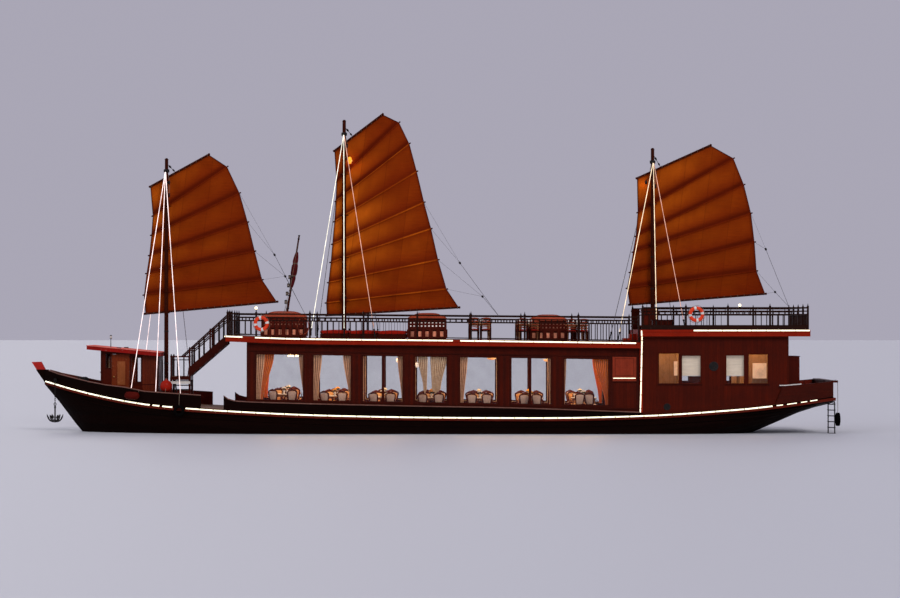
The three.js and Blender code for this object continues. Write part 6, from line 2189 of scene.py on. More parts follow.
@dataclass
class Saloon:
    """The dining saloon: window frames, curtains, ceiling, lamps and furniture."""

    half: float = 2.75
    wall: float = 0.08
    windows: tuple[tuple[float, float], ...] = (
        (5.355, 7.466), (3.308, 5.012), (1.082, 2.888), (-0.797, 0.632), (-2.981, -1.286),
        (-5.276, -3.487), (-7.743, -5.752),
    )
    sets: tuple[float, ...] = (6.3, 4.1, 2.0, -0.1, -2.2, -4.4, -6.7)
    set_y: float = 1.5
    reach: float = 0.64
    mat: float = 0.02
    rod_y: float = 2.575
    lining: float = 2.66

    def sill(self, x: float) -> float:
        """Returns the windows' sill line at x."""
        return 1.31 + 0.0165 * x

    def head(self, x: float) -> float:
        """Returns the windows' head line at x."""
        return 3.36 + 0.0145 * x

    def beams(self) -> list[float]:
        """Returns the upper deck's steps over the saloon."""
        return [x for x in UPPER_STEPS if -9.0 < x < 7.7]

    def frames(self) -> None:
        """Frames the windows outside and inside, with the doubled posts between two pairs of them."""
        body, casings = Solid(), Solid()
        y0, y1 = self.half - self.wall - 0.01, self.half + 0.022
        inside = self.half - self.wall
        for window in self.windows:
            self.ring(body, self.corners(window, 0.045), self.corners(window, -0.035), y0, y1)
            self.ring(body, self.corners(window, -0.035), self.corners(window, -0.055), y0 + 0.02, y1 - 0.03)
            self.ring(casings, self.corners(window, 0.006), self.corners(window, 0.022), inside - 0.024,
                      inside - 0.0005)
        body.mirrored()
        for side, x in ((1, 1.975), (-1, 2.04), (1, -4.336), (-1, -4.44)):
            for half, low, high in ((0.055, self.half - self.wall - 0.01, self.half + 0.01),
                                    (0.03, self.half - self.wall - 0.02, self.half + 0.026)):
                body.block((x - half, min(side * low, side * high), self.sill(x)),
                           (x + half, max(side * low, side * high), self.head(x)))
        body.put("saloon_window_frames", "house_wood", [FINISH.trim])
        rounded(casings.mirrored().put("saloon_inner_casings", "seat_wood", [FINISH.casing]), 0.004)

    def corners(self, window: tuple[float, float], out: float) -> Pairs:
        """Returns a window's corners in x and z, moved outwards by so much."""
        aft, fore = window
        return [(aft - out, self.sill(aft) - out), (fore + out, self.sill(fore) - out),
                (fore + out, self.head(fore) + out), (aft - out, self.head(aft) + out)]

    def ring(self, body: Solid, outer: Pairs, inner: Pairs, y0: float, y1: float) -> None:
        """Adds a four-sided frame between two outlines in x and z.

        Args:
            body: The piece it goes into.
            outer: Its outer corners.
            inner: Its inner corners.
            y0: Its inner face.
            y1: Its outer face.
        """
        body.rings([[(ox, y0, oz), (ox, y1, oz), (ix, y1, iz), (ix, y0, iz)]
                    for (ox, oz), (ix, iz) in zip(outer, inner)], looped=True)

    def mouldings(self) -> None:
        """Runs a rail under the windows, one over them, the skirting and the posts' panels."""
        body = Solid()
        y = self.half
        for line, low, high in ((self.sill, -0.13, -0.055), (self.head, 0.055, 0.12)):
            body.run((-9.0, -4.5, 0.0, 4.0, 7.8), lambda x: (y, line(x)),
                     ((-0.01, low), (0.03, low + 0.012), (0.03, high - 0.012), (-0.01, high)))
        body.run(HULL.between(-9.05, 7.8), lambda x: (y, HULL.deck(x) + BOARDS),
                 ((-0.01, 0.0), (0.02, 0.0), (0.02, 0.12), (-0.01, 0.14)))
        body.run((-9.05, *self.beams(), 7.8), lambda x: (y, upper(x) - 0.252),
                 ((-0.01, -0.10), (0.03, -0.08), (0.09, -0.03), (0.10, 0.0), (-0.01, 0.0)))
        for a, b in zip(self.windows[1:], self.windows):
            x = (a[1] + b[0]) / 2
            body.block((x - 0.05, y - 0.01, self.sill(x) - 0.05), (x + 0.05, y + 0.016, self.head(x) + 0.05))
        for x in (7.74, -7.86, -8.95):
            body.block((x - 0.05, y - 0.01, HULL.deck(x) + 0.1), (x + 0.05, y + 0.02, self.head(x) + 0.10))
        body.mirrored().put("saloon_mouldings", "house_wood", [FINISH.trim])

    def drapes(self) -> list[Drape]:
        """Lists the port curtains, then the starboard ones, each from the bow."""
        b, o, s = FINISH.beige, FINISH.orange, FINISH.sheer
        return [
            Drape("port_1_fore", (7.45, 7.06), (7.45, 7.24), b),
            Drape("port_1_aft", (5.37, 5.60), (5.37, 5.40), b),
            Drape("port_1_inner", (7.09, 6.66), (7.34, 7.14), o, 0.075),
            Drape("port_2_fore", (5.00, 4.60), (5.00, 4.80), b),
            Drape("port_2_aft", (3.32, 3.70), (3.32, 3.42), b),
            Drape("port_3_fore", (2.87, 2.79), (2.87, 2.80), b),
            Drape("port_3_aft", (1.09, 1.36), (1.09, 1.17), b),
            Drape("port_4_fore", (0.50, 0.06), (0.24, 0.10), s),
            Drape("port_4_aft", (-0.05, -0.78), (-0.12, -0.50), s),
            Drape("port_5_fore", (-1.30, -1.66), (-1.30, -1.48), b),
            Drape("port_6_aft", (-5.26, -5.09), (-5.26, -5.17), b),
            Drape("port_7_fore", (-5.77, -5.90), (-5.77, -5.83), b),
            Drape("port_7_aft", (-7.73, -7.10), (-7.73, -7.58), o),
            Drape("starboard_1_fore", (7.44, 7.16), (7.46, 7.30), o),
            Drape("starboard_1_aft", (5.37, 5.60), (5.37, 5.45), o),
            Drape("starboard_2_aft", (3.32, 3.52), (3.32, 3.40), b),
            Drape("starboard_5_fore", (-1.30, -1.50), (-1.30, -1.42), b),
            Drape("starboard_6_fore", (-3.50, -3.68), (-3.50, -3.60), b),
            Drape("starboard_7_aft", (-7.73, -7.30), (-7.73, -7.60), o),
        ]

    def curtains(self) -> None:
        """Hangs the curtains inside the windows, each a gathered sheet on its own."""
        rods = Solid()
        for side in (-1, 1):
            for aft, fore in self.windows:
                y = side * self.rod_y
                z = self.head(aft) + 0.03
                rods.tube([(aft - 0.08, y, z), (fore + 0.08, y, self.head(fore) + 0.03)],
                          0.012, 8)
                for x in (aft - 0.08, fore + 0.08):
                    rods.turned([(0.012, -0.02), (0.022, 0.0), (0.012, 0.02)], (x, y, z), (1, 0, 0), 10)
                    rods.tube([(x, y, self.head(x) + 0.03), (x, side * 2.662, self.head(x) + 0.03)], 0.009,
                              6)
        rods.put("curtain_rods", "bronze", [FINISH.bronze])
        for drape in self.drapes():
            side = 1 if drape.name.startswith("port") else -1
            self.hang(drape, side)

    def hang(self, drape: Drape, side: int) -> None:
        """Hangs one curtain.

        Args:
            drape: The curtain.
            side: 1 to port, -1 to starboard.
        """
        wide = abs(drape.top[1] - drape.top[0])
        folds = max(3, round(wide / 0.09))
        count = folds * 6
        top = self.head(drape.top[0]) + 0.02
        low = self.sill(drape.top[0]) - 0.02
        if drape.name.startswith("port_4"):
            low += 0.42 if drape.name.endswith("fore") else 0.45
        rows, flats, pleat_shades = [], [], []
        for j in range(15):
            t = j / 14
            ease = t * t * (3 - 2 * t)
            row, flat = [], []
            for i in range(count + 1):
                s = i / count
                edge = [drape.top[k] + ease * (drape.foot[k] - drape.top[k]) for k in (0, 1)]
                wave = math.sin(s * folds * 2 * math.pi + 0.6 * t)
                deep = 0.024 * (1 + 0.25 * math.sin(5 * s + len(drape.name)))
                z = top + t * (low - top)
                if drape.name.startswith("port_4"):
                    z += 0.16 * t * abs(s - 0.45) * 2
                row.append((edge[0] + s * (edge[1] - edge[0]),
                            side * (self.rod_y - drape.tie - deep * wave - 0.012), z))
                # Painted shade, deepest in each pleat's hollow, with the leading edge left light as a painted
                # highlight.
                pleat_shades.append(0.0 if s > 0.93 else (0.5 + 0.5 * wave) ** 1.3)
                flat.append((s * wide * 1.7, top - z))
            rows.append(row)
            flats.append(flat)
        body = Solid()
        body.grid(rows)
        name = f"curtain_{drape.name}"
        data = body.mesh(name, closed=False, sharp=80)

        def spot(p: Point) -> tuple[float, ...]:
            """Returns a place's key, which survives the merging of points."""
            return tuple(round(c, 5) for c in p)

        points = [p for row in rows for p in row]
        flat_of = {spot(p): f for p, f in zip(points, [f for flat in flats for f in flat])}
        pleat_shade_of = {spot(p): d for p, d in zip(points, pleat_shades)}
        unfold(data, lambda p: flat_of.get(spot(p), (p.x, p.z)))
        # The painted pleat shade, which the curtain's finish reads.
        data.attributes.new("shade_and_edge", "FLOAT", "POINT").data.foreach_set(
            "value", [pleat_shade_of.get(spot(v.co), 0.5) for v in data.vertices])
        piece = place(data, name, BOAT, "seat_wood", [drape.cloth])
        thicken(piece, 0.002)
        tall = top - low
        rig.sheet(piece, flat=(round(area(data) / tall, 2), round(tall, 2)), held="gathered",
                 rests_on=["curtain_rods"])

    def ceiling(self) -> None:
        """Lines the ceiling and hangs the lamps."""
        body = Solid()
        body.run((-9.07, *self.beams(), 7.72), lambda x: (0.0, ceiling(x)),
                 slab(-self.lining, self.lining, 0.0, 0.008))
        for k in range(12):
            x = -8.4 + k * 1.42
            z = ceiling(x)
            body.block((x - 0.04, -self.lining, z - 0.07), (x + 0.04, self.lining, z))
        body.put("saloon_ceiling", "house_wood", [FINISH.ceiling])
        shades, fittings = Solid(), Solid()
        for number, x in enumerate(x - 0.4 for x in self.sets):
            for side in (-1, 1):
                y = side * self.set_y
                z = ceiling(x)
                fall = 0.34 if number == 0 and side > 0 else 0.10
                fittings.turned([(0.055, -0.02), (0.06, 0.0)], (x, y, z), sides=14)
                fittings.tube([(x, y, z - 0.01), (x, y, z - 0.13 - fall)], 0.008, 6)
                z -= fall
                for t in [angle + 0.3 for angle in turns(5)]:
                    bend = (x + 0.1 * math.cos(t), y + 0.1 * math.sin(t), z - 0.17)
                    u, v = x + 0.20 * math.cos(t), y + 0.20 * math.sin(t)
                    fittings.tube([(x, y, z - 0.13), bend, (u, v, z - 0.15)], 0.007, 5)
                    shades.turned([(0.02, -0.075), (0.045, -0.055), (0.052, -0.025), (0.035, 0.0),
                                   (0.02, 0.01)], (u, v, z - 0.14), sides=10)
        globes, dishes = Solid(), Solid()
        for x, y, z in ((-2.72, 0.3, 3.20), (-5.20, 0.3, 3.12)):
            fittings.tube([(x, y, ceiling(x)), (x, y, z + 0.05)], 0.012, 6)
            fittings.turned([(0.012, 0.03), (0.16, 0.035), (0.22, 0.045), (0.03, 0.075)], (x, y, z),
                            sides=18)
            dishes.turned([(0.02, -0.055), (0.10, -0.05), (0.17, -0.025), (0.21, 0.03), (0.15, 0.034)],
                          (x, y, z), sides=18)
        dishes.put("saloon_dishes", "window_glass", [FINISH.dish])
        for x, y, z in ((0.55, 0.3, 2.93), (1.36, 0.3, 3.12)):
            fittings.tube([(x, y, ceiling(x)), (x, y, z + 0.11)], 0.008, 6)
            fittings.turned([(0.012, 0.09), (0.05, 0.10), (0.02, 0.135)], (x, y, z), sides=12)
            globes.turned([(0.015, -0.115), (0.07, -0.09), (0.105, -0.03), (0.108, 0.02), (0.08, 0.075),
                           (0.04, 0.10)], (x, y, z), sides=16)
        globes.put("saloon_globes", "window_glass", [FINISH.globe])
        shades.put("saloon_lamps", "window_glass", [FINISH.bulb])
        fittings.put("saloon_lamp_arms", "bronze", [FINISH.bronze])

    def furniture(self) -> None:
        """Sets the tables and chairs, and lays the carpet."""
        carpet = Solid()
        carpet.run(HULL.between(-9.06, 7.3), lambda x: (0.0, HULL.deck(x)), slab(-2.5, 2.5, 0.001, self.mat))
        carpet.put("saloon_carpet", "seat_wood", [FINISH.carpet], ["saloon_furniture"])
        seats: tuple[list[tuple[float, ...]], ...] = ([], [])
        tables = []
        for x in self.sets:
            z = HULL.deck(x) + self.mat
            for side in (-1, 1):
                y = side * self.set_y
                tables.append((x, y, z, 0.0))
                for end in (-1, 1):
                    for row in (-1, 1):
                        turn = 0.42 * math.sin(3.1 * x + 1.9 * end + 2.3 * side * row)
                        seats[int(row == side)].append(
                            (x + end * 0.305, y + row * self.reach, z, turn + (math.pi if row > 0 else 0.0)))
        chair, table = Chair(), Table()
        REPEAT.copy("saloon_chairs", chair.frame(), [*seats[0], *seats[1]], FINISH.chair, "seat_wood",
                    ["saloon_furniture"])
        for name, places, cloth in (("inner", seats[0], FINISH.pad), ("outer", seats[1], FINISH.pad_pale)):
            pads = REPEAT.copy(f"saloon_chair_pads_{name}", chair.pads(), places, cloth, "seat_wood",
                               ["saloon_furniture"])
            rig.padded(pads, fill=0.7)
        REPEAT.copy("saloon_tables", table.frame(), tables, FINISH.light_wood, "seat_wood",
                    ["saloon_furniture"])
        places = [(-0.27, 0.24), (0.27, 0.24), (-0.27, -0.24), (0.27, -0.24)]
        REPEAT.copy("saloon_crockery", table.crockery(places), tables, FINISH.white, "seat_wood")
        REPEAT.copy("saloon_table_tops", table.top(), tables, FINISH.white, "seat_wood",
                    ["saloon_furniture"])
        blooms, leaves = table.flowers()
        REPEAT.copy("saloon_leaves", leaves, tables, FINISH.leaf, "seat_wood")
        for name, pick, colour in (("yellow", 1, FINISH.petal_yellow), ("white", 0, FINISH.white)):
            REPEAT.copy(f"saloon_blooms_{name}", blooms,
                        [p for k, p in enumerate(tables) if k // 2 % 2 == pick], colour, "seat_wood")

    def build(self) -> None:
        """Builds the saloon."""
        for step in (self.frames, self.mouldings, self.curtains, self.ceiling, self.furniture):
            step()


@dataclass
class Door:
    """What a door leaf carries: its raised panels, its frame mouldings and its handles."""

    body: str
    rect: tuple[float, float, float, float]
    plane: str
    faces: tuple[float, float]
    handle: tuple[float, float]
    panels: tuple[tuple[float, float, float, float], ...]

    def build(self) -> None:
        """Builds the panels on both faces and the handles."""
        work, light, iron = Solid(), Solid(), Solid()
        for face, out in zip(self.faces, (-0.010, 0.010)):
            a, b = sorted((face, face + out))
            work.frame(self.rect, -0.012, 0.052, self.plane, a, b)
            for rect in self.panels:
                work.frame(rect, 0.0, 0.028, self.plane, a, b)
                inner = slab(rect[0] + 0.05, rect[1] - 0.05, rect[2] + 0.05, rect[3] - 0.05)
                light.plate(inner, self.plane, *sorted((face, face + out * 0.7)))
            axis = (0, out * 100, 0) if self.plane == "xz" else (out * 100, 0, 0)
            at = (self.handle[0], face, self.handle[1]) if self.plane == "xz" else (face, *self.handle)
            iron.turned([(0.030, -0.002), (0.030, 0.006), (0.010, 0.010), (0.010, 0.030), (0.022, 0.036),
                         (0.024, 0.048), (0.010, 0.056)], at, axis, 12)
        rounded(work.put(f"{self.body}_mouldings", "door_wood", [FINISH.door], body=self.body), 0.003)
        rounded(light.put(f"{self.body}_panels", "door_wood", [FINISH.door_light], body=self.body), 0.004)
        iron.put(f"{self.body}_handles", "bronze", [FINISH.bronze], body=self.body)


@dataclass
class Wheelhouse:
    """The wheelhouse's planks, casings, roof edge, lamp, doors and controls."""

    half: float = 1.05
    helm: Point = (13.85, 0, 2.32)
    lamp_x: float = 14.02
    eave: float = 1.318

    def roof_z(self, x: float) -> float:
        """Returns the roof's top at x."""
        return 3.48 + (x - 11.7) / 3.2 * 0.30

    def shell(self) -> None:
        """Builds the casings, the planking battens, the corner posts and the roof's edge."""
        body, edge = Solid(), Solid()
        y0, y1 = self.half - 0.055, self.half + 0.018
        body.frame((12.55, 12.98, 2.15, 3.26), 0.035, 0.02, "xz", y0, y1)
        body.frame((13.90, 14.10, 2.80, 3.44), 0.02, 0.012, "xz", y0, y1)
        body.block((13.05, self.half - 0.045, 3.425), (13.87, y1, 3.465))
        planks = Solid()
        for k in range(5):
            x = 11.97 + k * 0.118
            planks.block((x - 0.055, self.half - 0.002, HULL.deck(x) + 0.03),
                         (x + 0.055, self.half + 0.012, self.roof_z(x) - 0.19))
        rounded(planks.mirrored().put("wheelhouse_planks", "house_wood", [FINISH.planks]), 0.006)
        for x in (11.842, 14.25):
            body.block((x, self.half - 0.03, HULL.deck(x) + BOARDS),
                       (x + 0.06, self.half + 0.022, self.roof_z(x) - 0.178))
        body.block((11.86, self.half - 0.002, 2.06), (13.0, self.half + 0.02, 2.10))
        body.mirrored()
        for y2, y3 in ((-0.9, -0.34), (-0.28, 0.28), (0.34, 0.9)):
            body.frame((y2, y3, 2.7, 3.44), 0.028, 0.018, "yz", 14.26, 14.338)
        body.frame((-0.9, 0.9, 1.86, 2.5), 0.0, 0.05, "yz", 14.319, 14.332)
        body.frame((-0.85, 0.85, 1.45, 3.1), 0.0, 0.05, "yz", 11.815, 11.832)
        body.block((14.32, -1.0, 2.60), (14.36, 1.0, 2.64))
        rounded(body.put("wheelhouse_trim", "house_wood", [FINISH.trim]), 0.004)
        for x0, x1, y2, y3 in ((11.695, 14.905, 1.29, self.eave), (14.888, 14.915, -self.eave, self.eave),
                               (11.685, 11.712, -self.eave, self.eave)):
            rings = []
            for x in (x0, x1):
                z = self.roof_z(x)
                rings.append([(x, y2, z - 0.012), (x, y3, z - 0.010), (x, y3, z + 0.012),
                              (x, y2, z + 0.014)])
            edge.rings(rings)
            if y2 > 0:
                edge.rings([[(x, -y, z) for x, y, z in ring] for ring in rings])
        for k in range(7):
            y = -1.2 + k * 0.4
            edge.run((11.72, 14.88), lambda x: (y, self.roof_z(x)), slab(-0.012, 0.012, -0.001, 0.011))
        edge.put("wheelhouse_roof_edge", "roof_paint", [FINISH.roof_edge])
        chart = Solid()
        chart.block((14.06, -0.998, 2.72), (14.25, -0.985, 3.30))
        chart.block((14.255, -0.985, 2.75), (14.266, -0.905, 3.30))
        chart.put("chart_board", "house_wood", [FINISH.white])
        glass = Solid()
        for a, b in ((-0.91, -0.33), (-0.29, 0.29), (0.33, 0.91)):
            glass.block((14.285, a, 2.69), (14.291, b, 3.45))
        glass.put("wheelhouse_glass", "window_glass", [FINISH.glass])
        pole, light = Solid(), Solid()
        z = self.roof_z(self.lamp_x)
        pole.turned([(0.05, -0.002), (0.05, 0.012), (0.018, 0.02), (0.014, 0.36), (0.05, 0.375),
                     (0.05, 0.39)], (self.lamp_x, 0, z), sides=12)
        pole.turned([(0.055, 0.50), (0.055, 0.51), (0.01, 0.545)], (self.lamp_x, 0, z), sides=12)
        light.turned([(0.042, 0.39), (0.05, 0.41), (0.05, 0.48), (0.042, 0.50)], (self.lamp_x, 0, z),
                     sides=14)
        z = self.roof_z(13.5)
        for y in (-1.22, 1.22):
            pole.block((13.4, y - 0.02, z + 0.005), (13.6, y + 0.02, z + 0.05))
        pole.put("roof_lamp_post", "roof_paint", [FINISH.iron])
        light.put("roof_lamp", "window_glass", [FINISH.white])

    def controls(self) -> None:
        """Builds the console's panel, its dials, the compass, the levers and the wheel's turned parts."""
        panel, dials, levers = Solid(), Solid(), Solid()
        panel.block((13.93, -0.44, 2.40), (13.935, 0.44, 2.50))
        for y in (-0.33, -0.2, 0.2, 0.33):
            dials.turned([(0.040, 0.0), (0.040, 0.010), (0.030, 0.012)], (13.921, y, 2.43), (-1, 0, 0), 16)
        panel.turned([(0.085, -0.01), (0.09, 0.02), (0.06, 0.04), (0.06, 0.05)], (14.14, 0, 2.70), sides=18)
        dials.turned([(0.055, 0.05), (0.05, 0.075), (0.03, 0.09), (0.01, 0.094)], (14.14, 0, 2.70), sides=18)
        for y in (-0.3, -0.24):
            levers.tube([(14.1, y, 2.69), (14.07, y, 2.80), (14.06, y, 2.84)], [0.008, 0.008, 0.016], 8)
        panel.block((14.04, -0.33, 2.64), (14.16, -0.21, 2.71))
        panel.put("console_panel", "door_wood", [FINISH.front])
        dials.put("console_dials", "bronze", [FINISH.bronze])
        levers.put("console_levers", "iron", [FINISH.iron])
        hub = Solid()
        hub.turned([(0.062, -0.002), (0.066, 0.010), (0.03, 0.018), (0.01, 0.022)], (13.822, 0, 2.32),
                   (-1, 0, 0), 16)
        for t in turns(8):
            hub.turned([(0.012, 0.345), (0.022, 0.38), (0.016, 0.405), (0.008, 0.424)], self.helm,
                       (0, math.cos(t), math.sin(t)), 8)
        hub.put("helm_handles", "door_wood", [FINISH.bronze], body="helm_wheel")

    def build(self) -> None:
        """Builds the wheelhouse's dress."""
        self.shell()
        self.controls()
        for side, name in ((1, "port"), (-1, "starboard")):
            faces = (1.006, 1.044) if side > 0 else (-1.044, -1.006)
            Door(f"wheelhouse_door_{name}", (13.066, 13.841, 1.60, 3.40), "xz", faces, (13.74, 2.42),
                 ((13.20, 13.64, 2.02, 3.14), (13.20, 13.64, 1.70, 1.95))).build()


@dataclass
class Stairs:
    """The balusters, second rails, tread nosings and boards of the stairs and their landing."""

    y: float = 0.52
    landing: float = 2.42
    foot: float = 10.55
    finial: Pairs = ((0.04, 0.0), (0.048, 0.008), (0.04, 0.02), (0.02, 0.03), (0.034, 0.055), (0.01, 0.08))

    def build(self) -> None:
        """Builds both sides of the flight and the landing."""
        bars, tread, grey, boards = Solid(), Solid(), Solid(), Solid()

        def top(x: float) -> float:
            """Returns the handrail's middle at x."""
            return 3.28 + (10.86 - x) * 0.9095

        for y, ahead in ((self.y, 0.0), (-self.y, 0.10)):
            for x in (10.30, 10.08, 9.87, 9.43, 9.21, 9.0):
                x += ahead
                low = 2.8 + (self.foot - x) * 0.8673
                bars.block((x - 0.038, y - 0.026, low - 0.01), (x + 0.038, y + 0.026, top(x) - 0.02))
        for y in (self.y, -self.y):
            bars.bar((10.44, y, top(10.44) - 0.2), (8.80, y, top(8.80) - 0.2), 0.03, 0.045)
        for y in (-self.y, self.y):
            bars.bar((10.87, y, top(10.87) + 0.03), (8.75, y, top(8.75) + 0.03), 0.07, 0.02)
        for x in (10.75, 11.02):
            bars.block((x - 0.026, self.y - 0.02, self.landing), (x + 0.026, self.y + 0.02, 3.27))
        bars.block((10.49, self.y - 0.014, 3.13), (11.31, self.y + 0.014, 3.17))
        for y in (-0.35, -0.18, 0.0, 0.18, 0.35):
            bars.block((11.289, y - 0.016, self.landing), (11.321, y + 0.016, 3.27))
        bars.block((11.29, -self.y, 3.12), (11.32, self.y, 3.155))
        for side in (-1, 1):
            for x, z in ((10.5, 3.63), (9.6, 4.45), (8.78, 5.20), (10.495, 3.32), (11.305, 3.32)):
                bars.turned(self.finial, (x, side * self.y, z), sides=10)
        bars.put("stair_balusters", "rail_paint", [FINISH.rail])
        for i in range(1, 9):
            z = self.landing + i * 1.77 / 9
            x = self.foot - (i - 0.5) * 1.79 / 8
            tread.block((x + 0.108, -0.47, z - 0.018), (x + 0.132, 0.47, z + 0.006))
            for k in range(3):
                tread.block((x - 0.1 + 0.06 * k, -0.46, z), (x - 0.08 + 0.06 * k, 0.46, z + 0.004))
        for k in range(6):
            x = 10.46 + k * 0.148
            tread.block((x, -0.46, self.landing), (x + 0.136, 0.46, self.landing + 0.012))
        for i in range(1, 6):
            z = self.landing - i * 1.19 / 6
            y = -0.55 - (i - 0.5) * 0.24
            tread.block((10.53, y - 0.13, z - 0.03), (11.27, y - 0.10, z + 0.006))
        tread.put("stair_nosings", "house_wood", [FINISH.deck])
        for y in (self.y + 0.044, -self.y - 0.056):
            grey.block((10.47, y, 2.10), (11.33, y + 0.012, 2.215))
        grey.block((11.348, -0.53, 2.10), (11.36, 0.53, 2.215))
        for y in (-self.y, self.y):
            boards.run((10.46, 8.84), lambda x: (y, 2.5 + (self.foot - x) * 0.8683),
                       slab(-0.03, 0.029, -0.145, 0.01))
        boards.put("stair_stringer_boards", "house_wood", [FINISH.trim])
        grey.put("landing_edge", "house_wood", [FINISH.white])


@dataclass
class AftCabin:
    """The aft cabin's casings, blinds, lining, vents, corner lamps, doors and sign boards."""

    half: float = 2.85
    sill: float = 2.148
    blind_y: float = 2.70
    lining: float = 2.74
    blind_foot: float = 2.49
    cabins: tuple[tuple[float, float], ...] = ((-10.78, -9.22), (-15.28, -13.6))
    windows: tuple[tuple[float, float, float], ...] = (
        (-10.73, -9.83, 3.47), (-11.66, -10.82, 3.373), (-13.52, -12.72, 3.386), (-14.54, -13.67, 3.43),
    )

    def outside(self) -> None:
        """Builds the casings, the skirting, the corner boards, the vents and their louvres."""
        body, vent = Solid(), Solid()
        y = self.half
        for aft, fore, head in self.windows:
            body.frame((aft, fore, self.sill, head), 0.035, 0.025, "xz", y - 0.078, y + 0.012)
            body.block((aft - 0.05, y - 0.08, self.sill - 0.05), (fore + 0.05, y + 0.03, self.sill - 0.02))
        body.run(HULL.between(-15.38, -9.2), lambda x: (y, HULL.deck(x) + BOARDS),
                 ((-0.01, 0.0), (0.02, 0.0), (0.02, 0.13), (-0.01, 0.15)))
        body.run((-15.4, -9.16), lambda x: (y, 0.0),
                 ((-0.01, 4.07), (0.03, 4.09), (0.09, 4.15), (0.10, 4.178), (-0.01, 4.178)))
        for x in (-15.41, -9.21):
            body.block((x, y - 0.02, HULL.deck(x) + 0.03), (x + 0.055, y + 0.018, 4.12))
        for x, z, r in ((-12.2, 2.90, 0.20), (-10.2, 1.16, 0.15)):
            vent.turned([(r, -0.002), (r, 0.012), (r - 0.02, 0.02), (r - 0.035, 0.012), (r - 0.035, 0.004)],
                        (x, y, z), (0, 1, 0), 28)
            for k in range(-3, 4):
                h = k * (r - 0.04) / 3.6
                w = math.sqrt(max((r - 0.035) ** 2 - h * h, 0.0004))
                vent.bar((x - w, y + 0.008, z + h), (x + w, y + 0.008, z + h), 0.012, 0.020)
        body.mirrored()
        vent.mirrored()
        body.frame((-1.9, -1.1, 1.48, 3.30), 0.07, -0.008, "yz", -15.416, -15.39)
        for a, b in ((-2.6, -2.1), (-0.9, 0.3), (0.5, 2.55)):
            body.frame((a, b, 1.6, 3.9), 0.0, 0.05, "yz", -15.413, -15.399)
        for a, b in ((-2.65, -0.75), (0.75, 2.65)):
            body.frame((a, b, 1.1, 3.75), 0.0, 0.05, "yz", -9.081, -9.069)
        rounded(body.put("aft_cabin_trim", "house_wood", [FINISH.front]), 0.003)
        vent.put("cabin_vents", "iron", [FINISH.iron])

    def corner_lamps(self) -> None:
        """Sets the upright lamp strips on the cabin's front corners with their boards and clips."""
        strip, board, clips = Solid(), Solid(), Solid()
        board.block((-9.155, 2.84, 0.93), (-9.03, 2.872, 4.17))
        y = 2.895
        strip.tube([(-9.045, y, 0.86), (-9.075, y, 1.8), (-9.105, y, 3.2), (-9.125, y, 4.16),
                    (-9.125, 2.96, 4.19), (-9.10, 3.078, 4.22), (-9.09, 3.080, 4.43)], 0.026, 8)
        for k in range(6):
            z = 1.1 + k * 0.58
            x = -9.05 - (z - 0.86) / 3.3 * 0.075
            clips.block((x - 0.045, 2.87, z - 0.012), (x + 0.045, 2.925, z + 0.012))
        strip.mirrored().put("lamp_strip_corner", "house_wood", [FINISH.strip])
        board.mirrored().put("corner_boards", "house_wood", [FINISH.fascia])
        clips.mirrored().put("corner_clips", "house_wood", [FINISH.trim])

    def signs(self) -> None:
        """Sets the blank sign boards with their frames and the lit line along their foot."""
        board, rim, light = Solid(), Solid(), Solid()
        aft, fore, low, high = -8.92, -7.84, 2.235, 3.35
        board.block((aft, 2.748, low), (fore, 2.776, high))
        rim.frame((aft, fore, low, high), 0.02, 0.03, "xz", 2.748, 2.788)
        rim.frame((-8.78, -7.98, 2.50, 3.24), 0.0, 0.012, "xz", 2.775, 2.782)
        light.block((-8.86, 2.774, 2.375), (-7.90, 2.786, 2.405))
        board.mirrored().put("sign_boards", "house_wood", [FINISH.panel])
        rounded(rim.mirrored().put("sign_frames", "house_wood", [FINISH.trim]), 0.003)
        light.mirrored().put("sign_lamp_lines", "house_wood", [FINISH.strip])

    def inside(self) -> None:
        """Lines the two cabins, lights a panel in each and lays the floor and the ceiling."""
        lining, floor, lit, bunk, cover = Solid(), Solid(), Solid(), Solid(), Solid()
        for aft, fore in self.cabins:
            z = HULL.deck((aft + fore) / 2) + 0.04
            wall = fore if aft < -12 else aft
            for side in (-1, 1):
                lining.block((aft, side * 0.62 - 0.02, z), (fore, side * 0.62 + 0.02, 4.16))
                a, b = sorted((side * 0.6, side * 2.68))
                lining.block((wall - 0.02, a, z), (wall + 0.02, b, 4.16))
                a, b = sorted((side * 0.7, side * 1.6))
                bunk.block((aft + 0.1, a, z), (fore - 0.1, b, z + 0.45))
                a, b = sorted((side * 0.72, side * 1.59))
                cushion(cover, (aft + 0.12, a, z + 0.45), (fore - 0.12, b, z + 0.59), 0.03)
        for side in (-1, 1):
            a, b = sorted((side * 1.58, side * 1.60))
            lit.block((-14.62, a, 2.36), (-14.02, b, 3.02))
            lit.block((-10.77, a, 2.48), (-10.61, b, 3.10))
            lining.block((-14.66, a - 0.02, 1.9), (-13.98, b, 2.34))
        floor.run(HULL.between(-15.3, -9.2), lambda x: (0.0, HULL.deck(x)),
                  slab(-self.lining, self.lining, 0.011, 0.023))
        floor.put("cabin_floor", "house_wood", [FINISH.carpet])
        lining.put("cabin_lining", "house_wood", [FINISH.inside])
        lit.put("cabin_lit_panels", "seat_wood", [FINISH.cream_panel])
        bunk.put("cabin_bunks", "seat_wood", [FINISH.light_wood])
        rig.padded(cover.put("bunk_mattresses", "seat_wood", [FINISH.pad]), fill=0.8)
        ceiling = Solid()
        ceiling.block((-15.31, -self.lining, 4.168), (-9.17, self.lining, 4.179))
        for x in (-10.0, -12.2, -14.4):
            ceiling.block((x - 0.04, -self.lining, 4.10), (x + 0.04, self.lining, 4.168))
        ceiling.put("cabin_ceiling", "house_wood", [FINISH.ceiling])

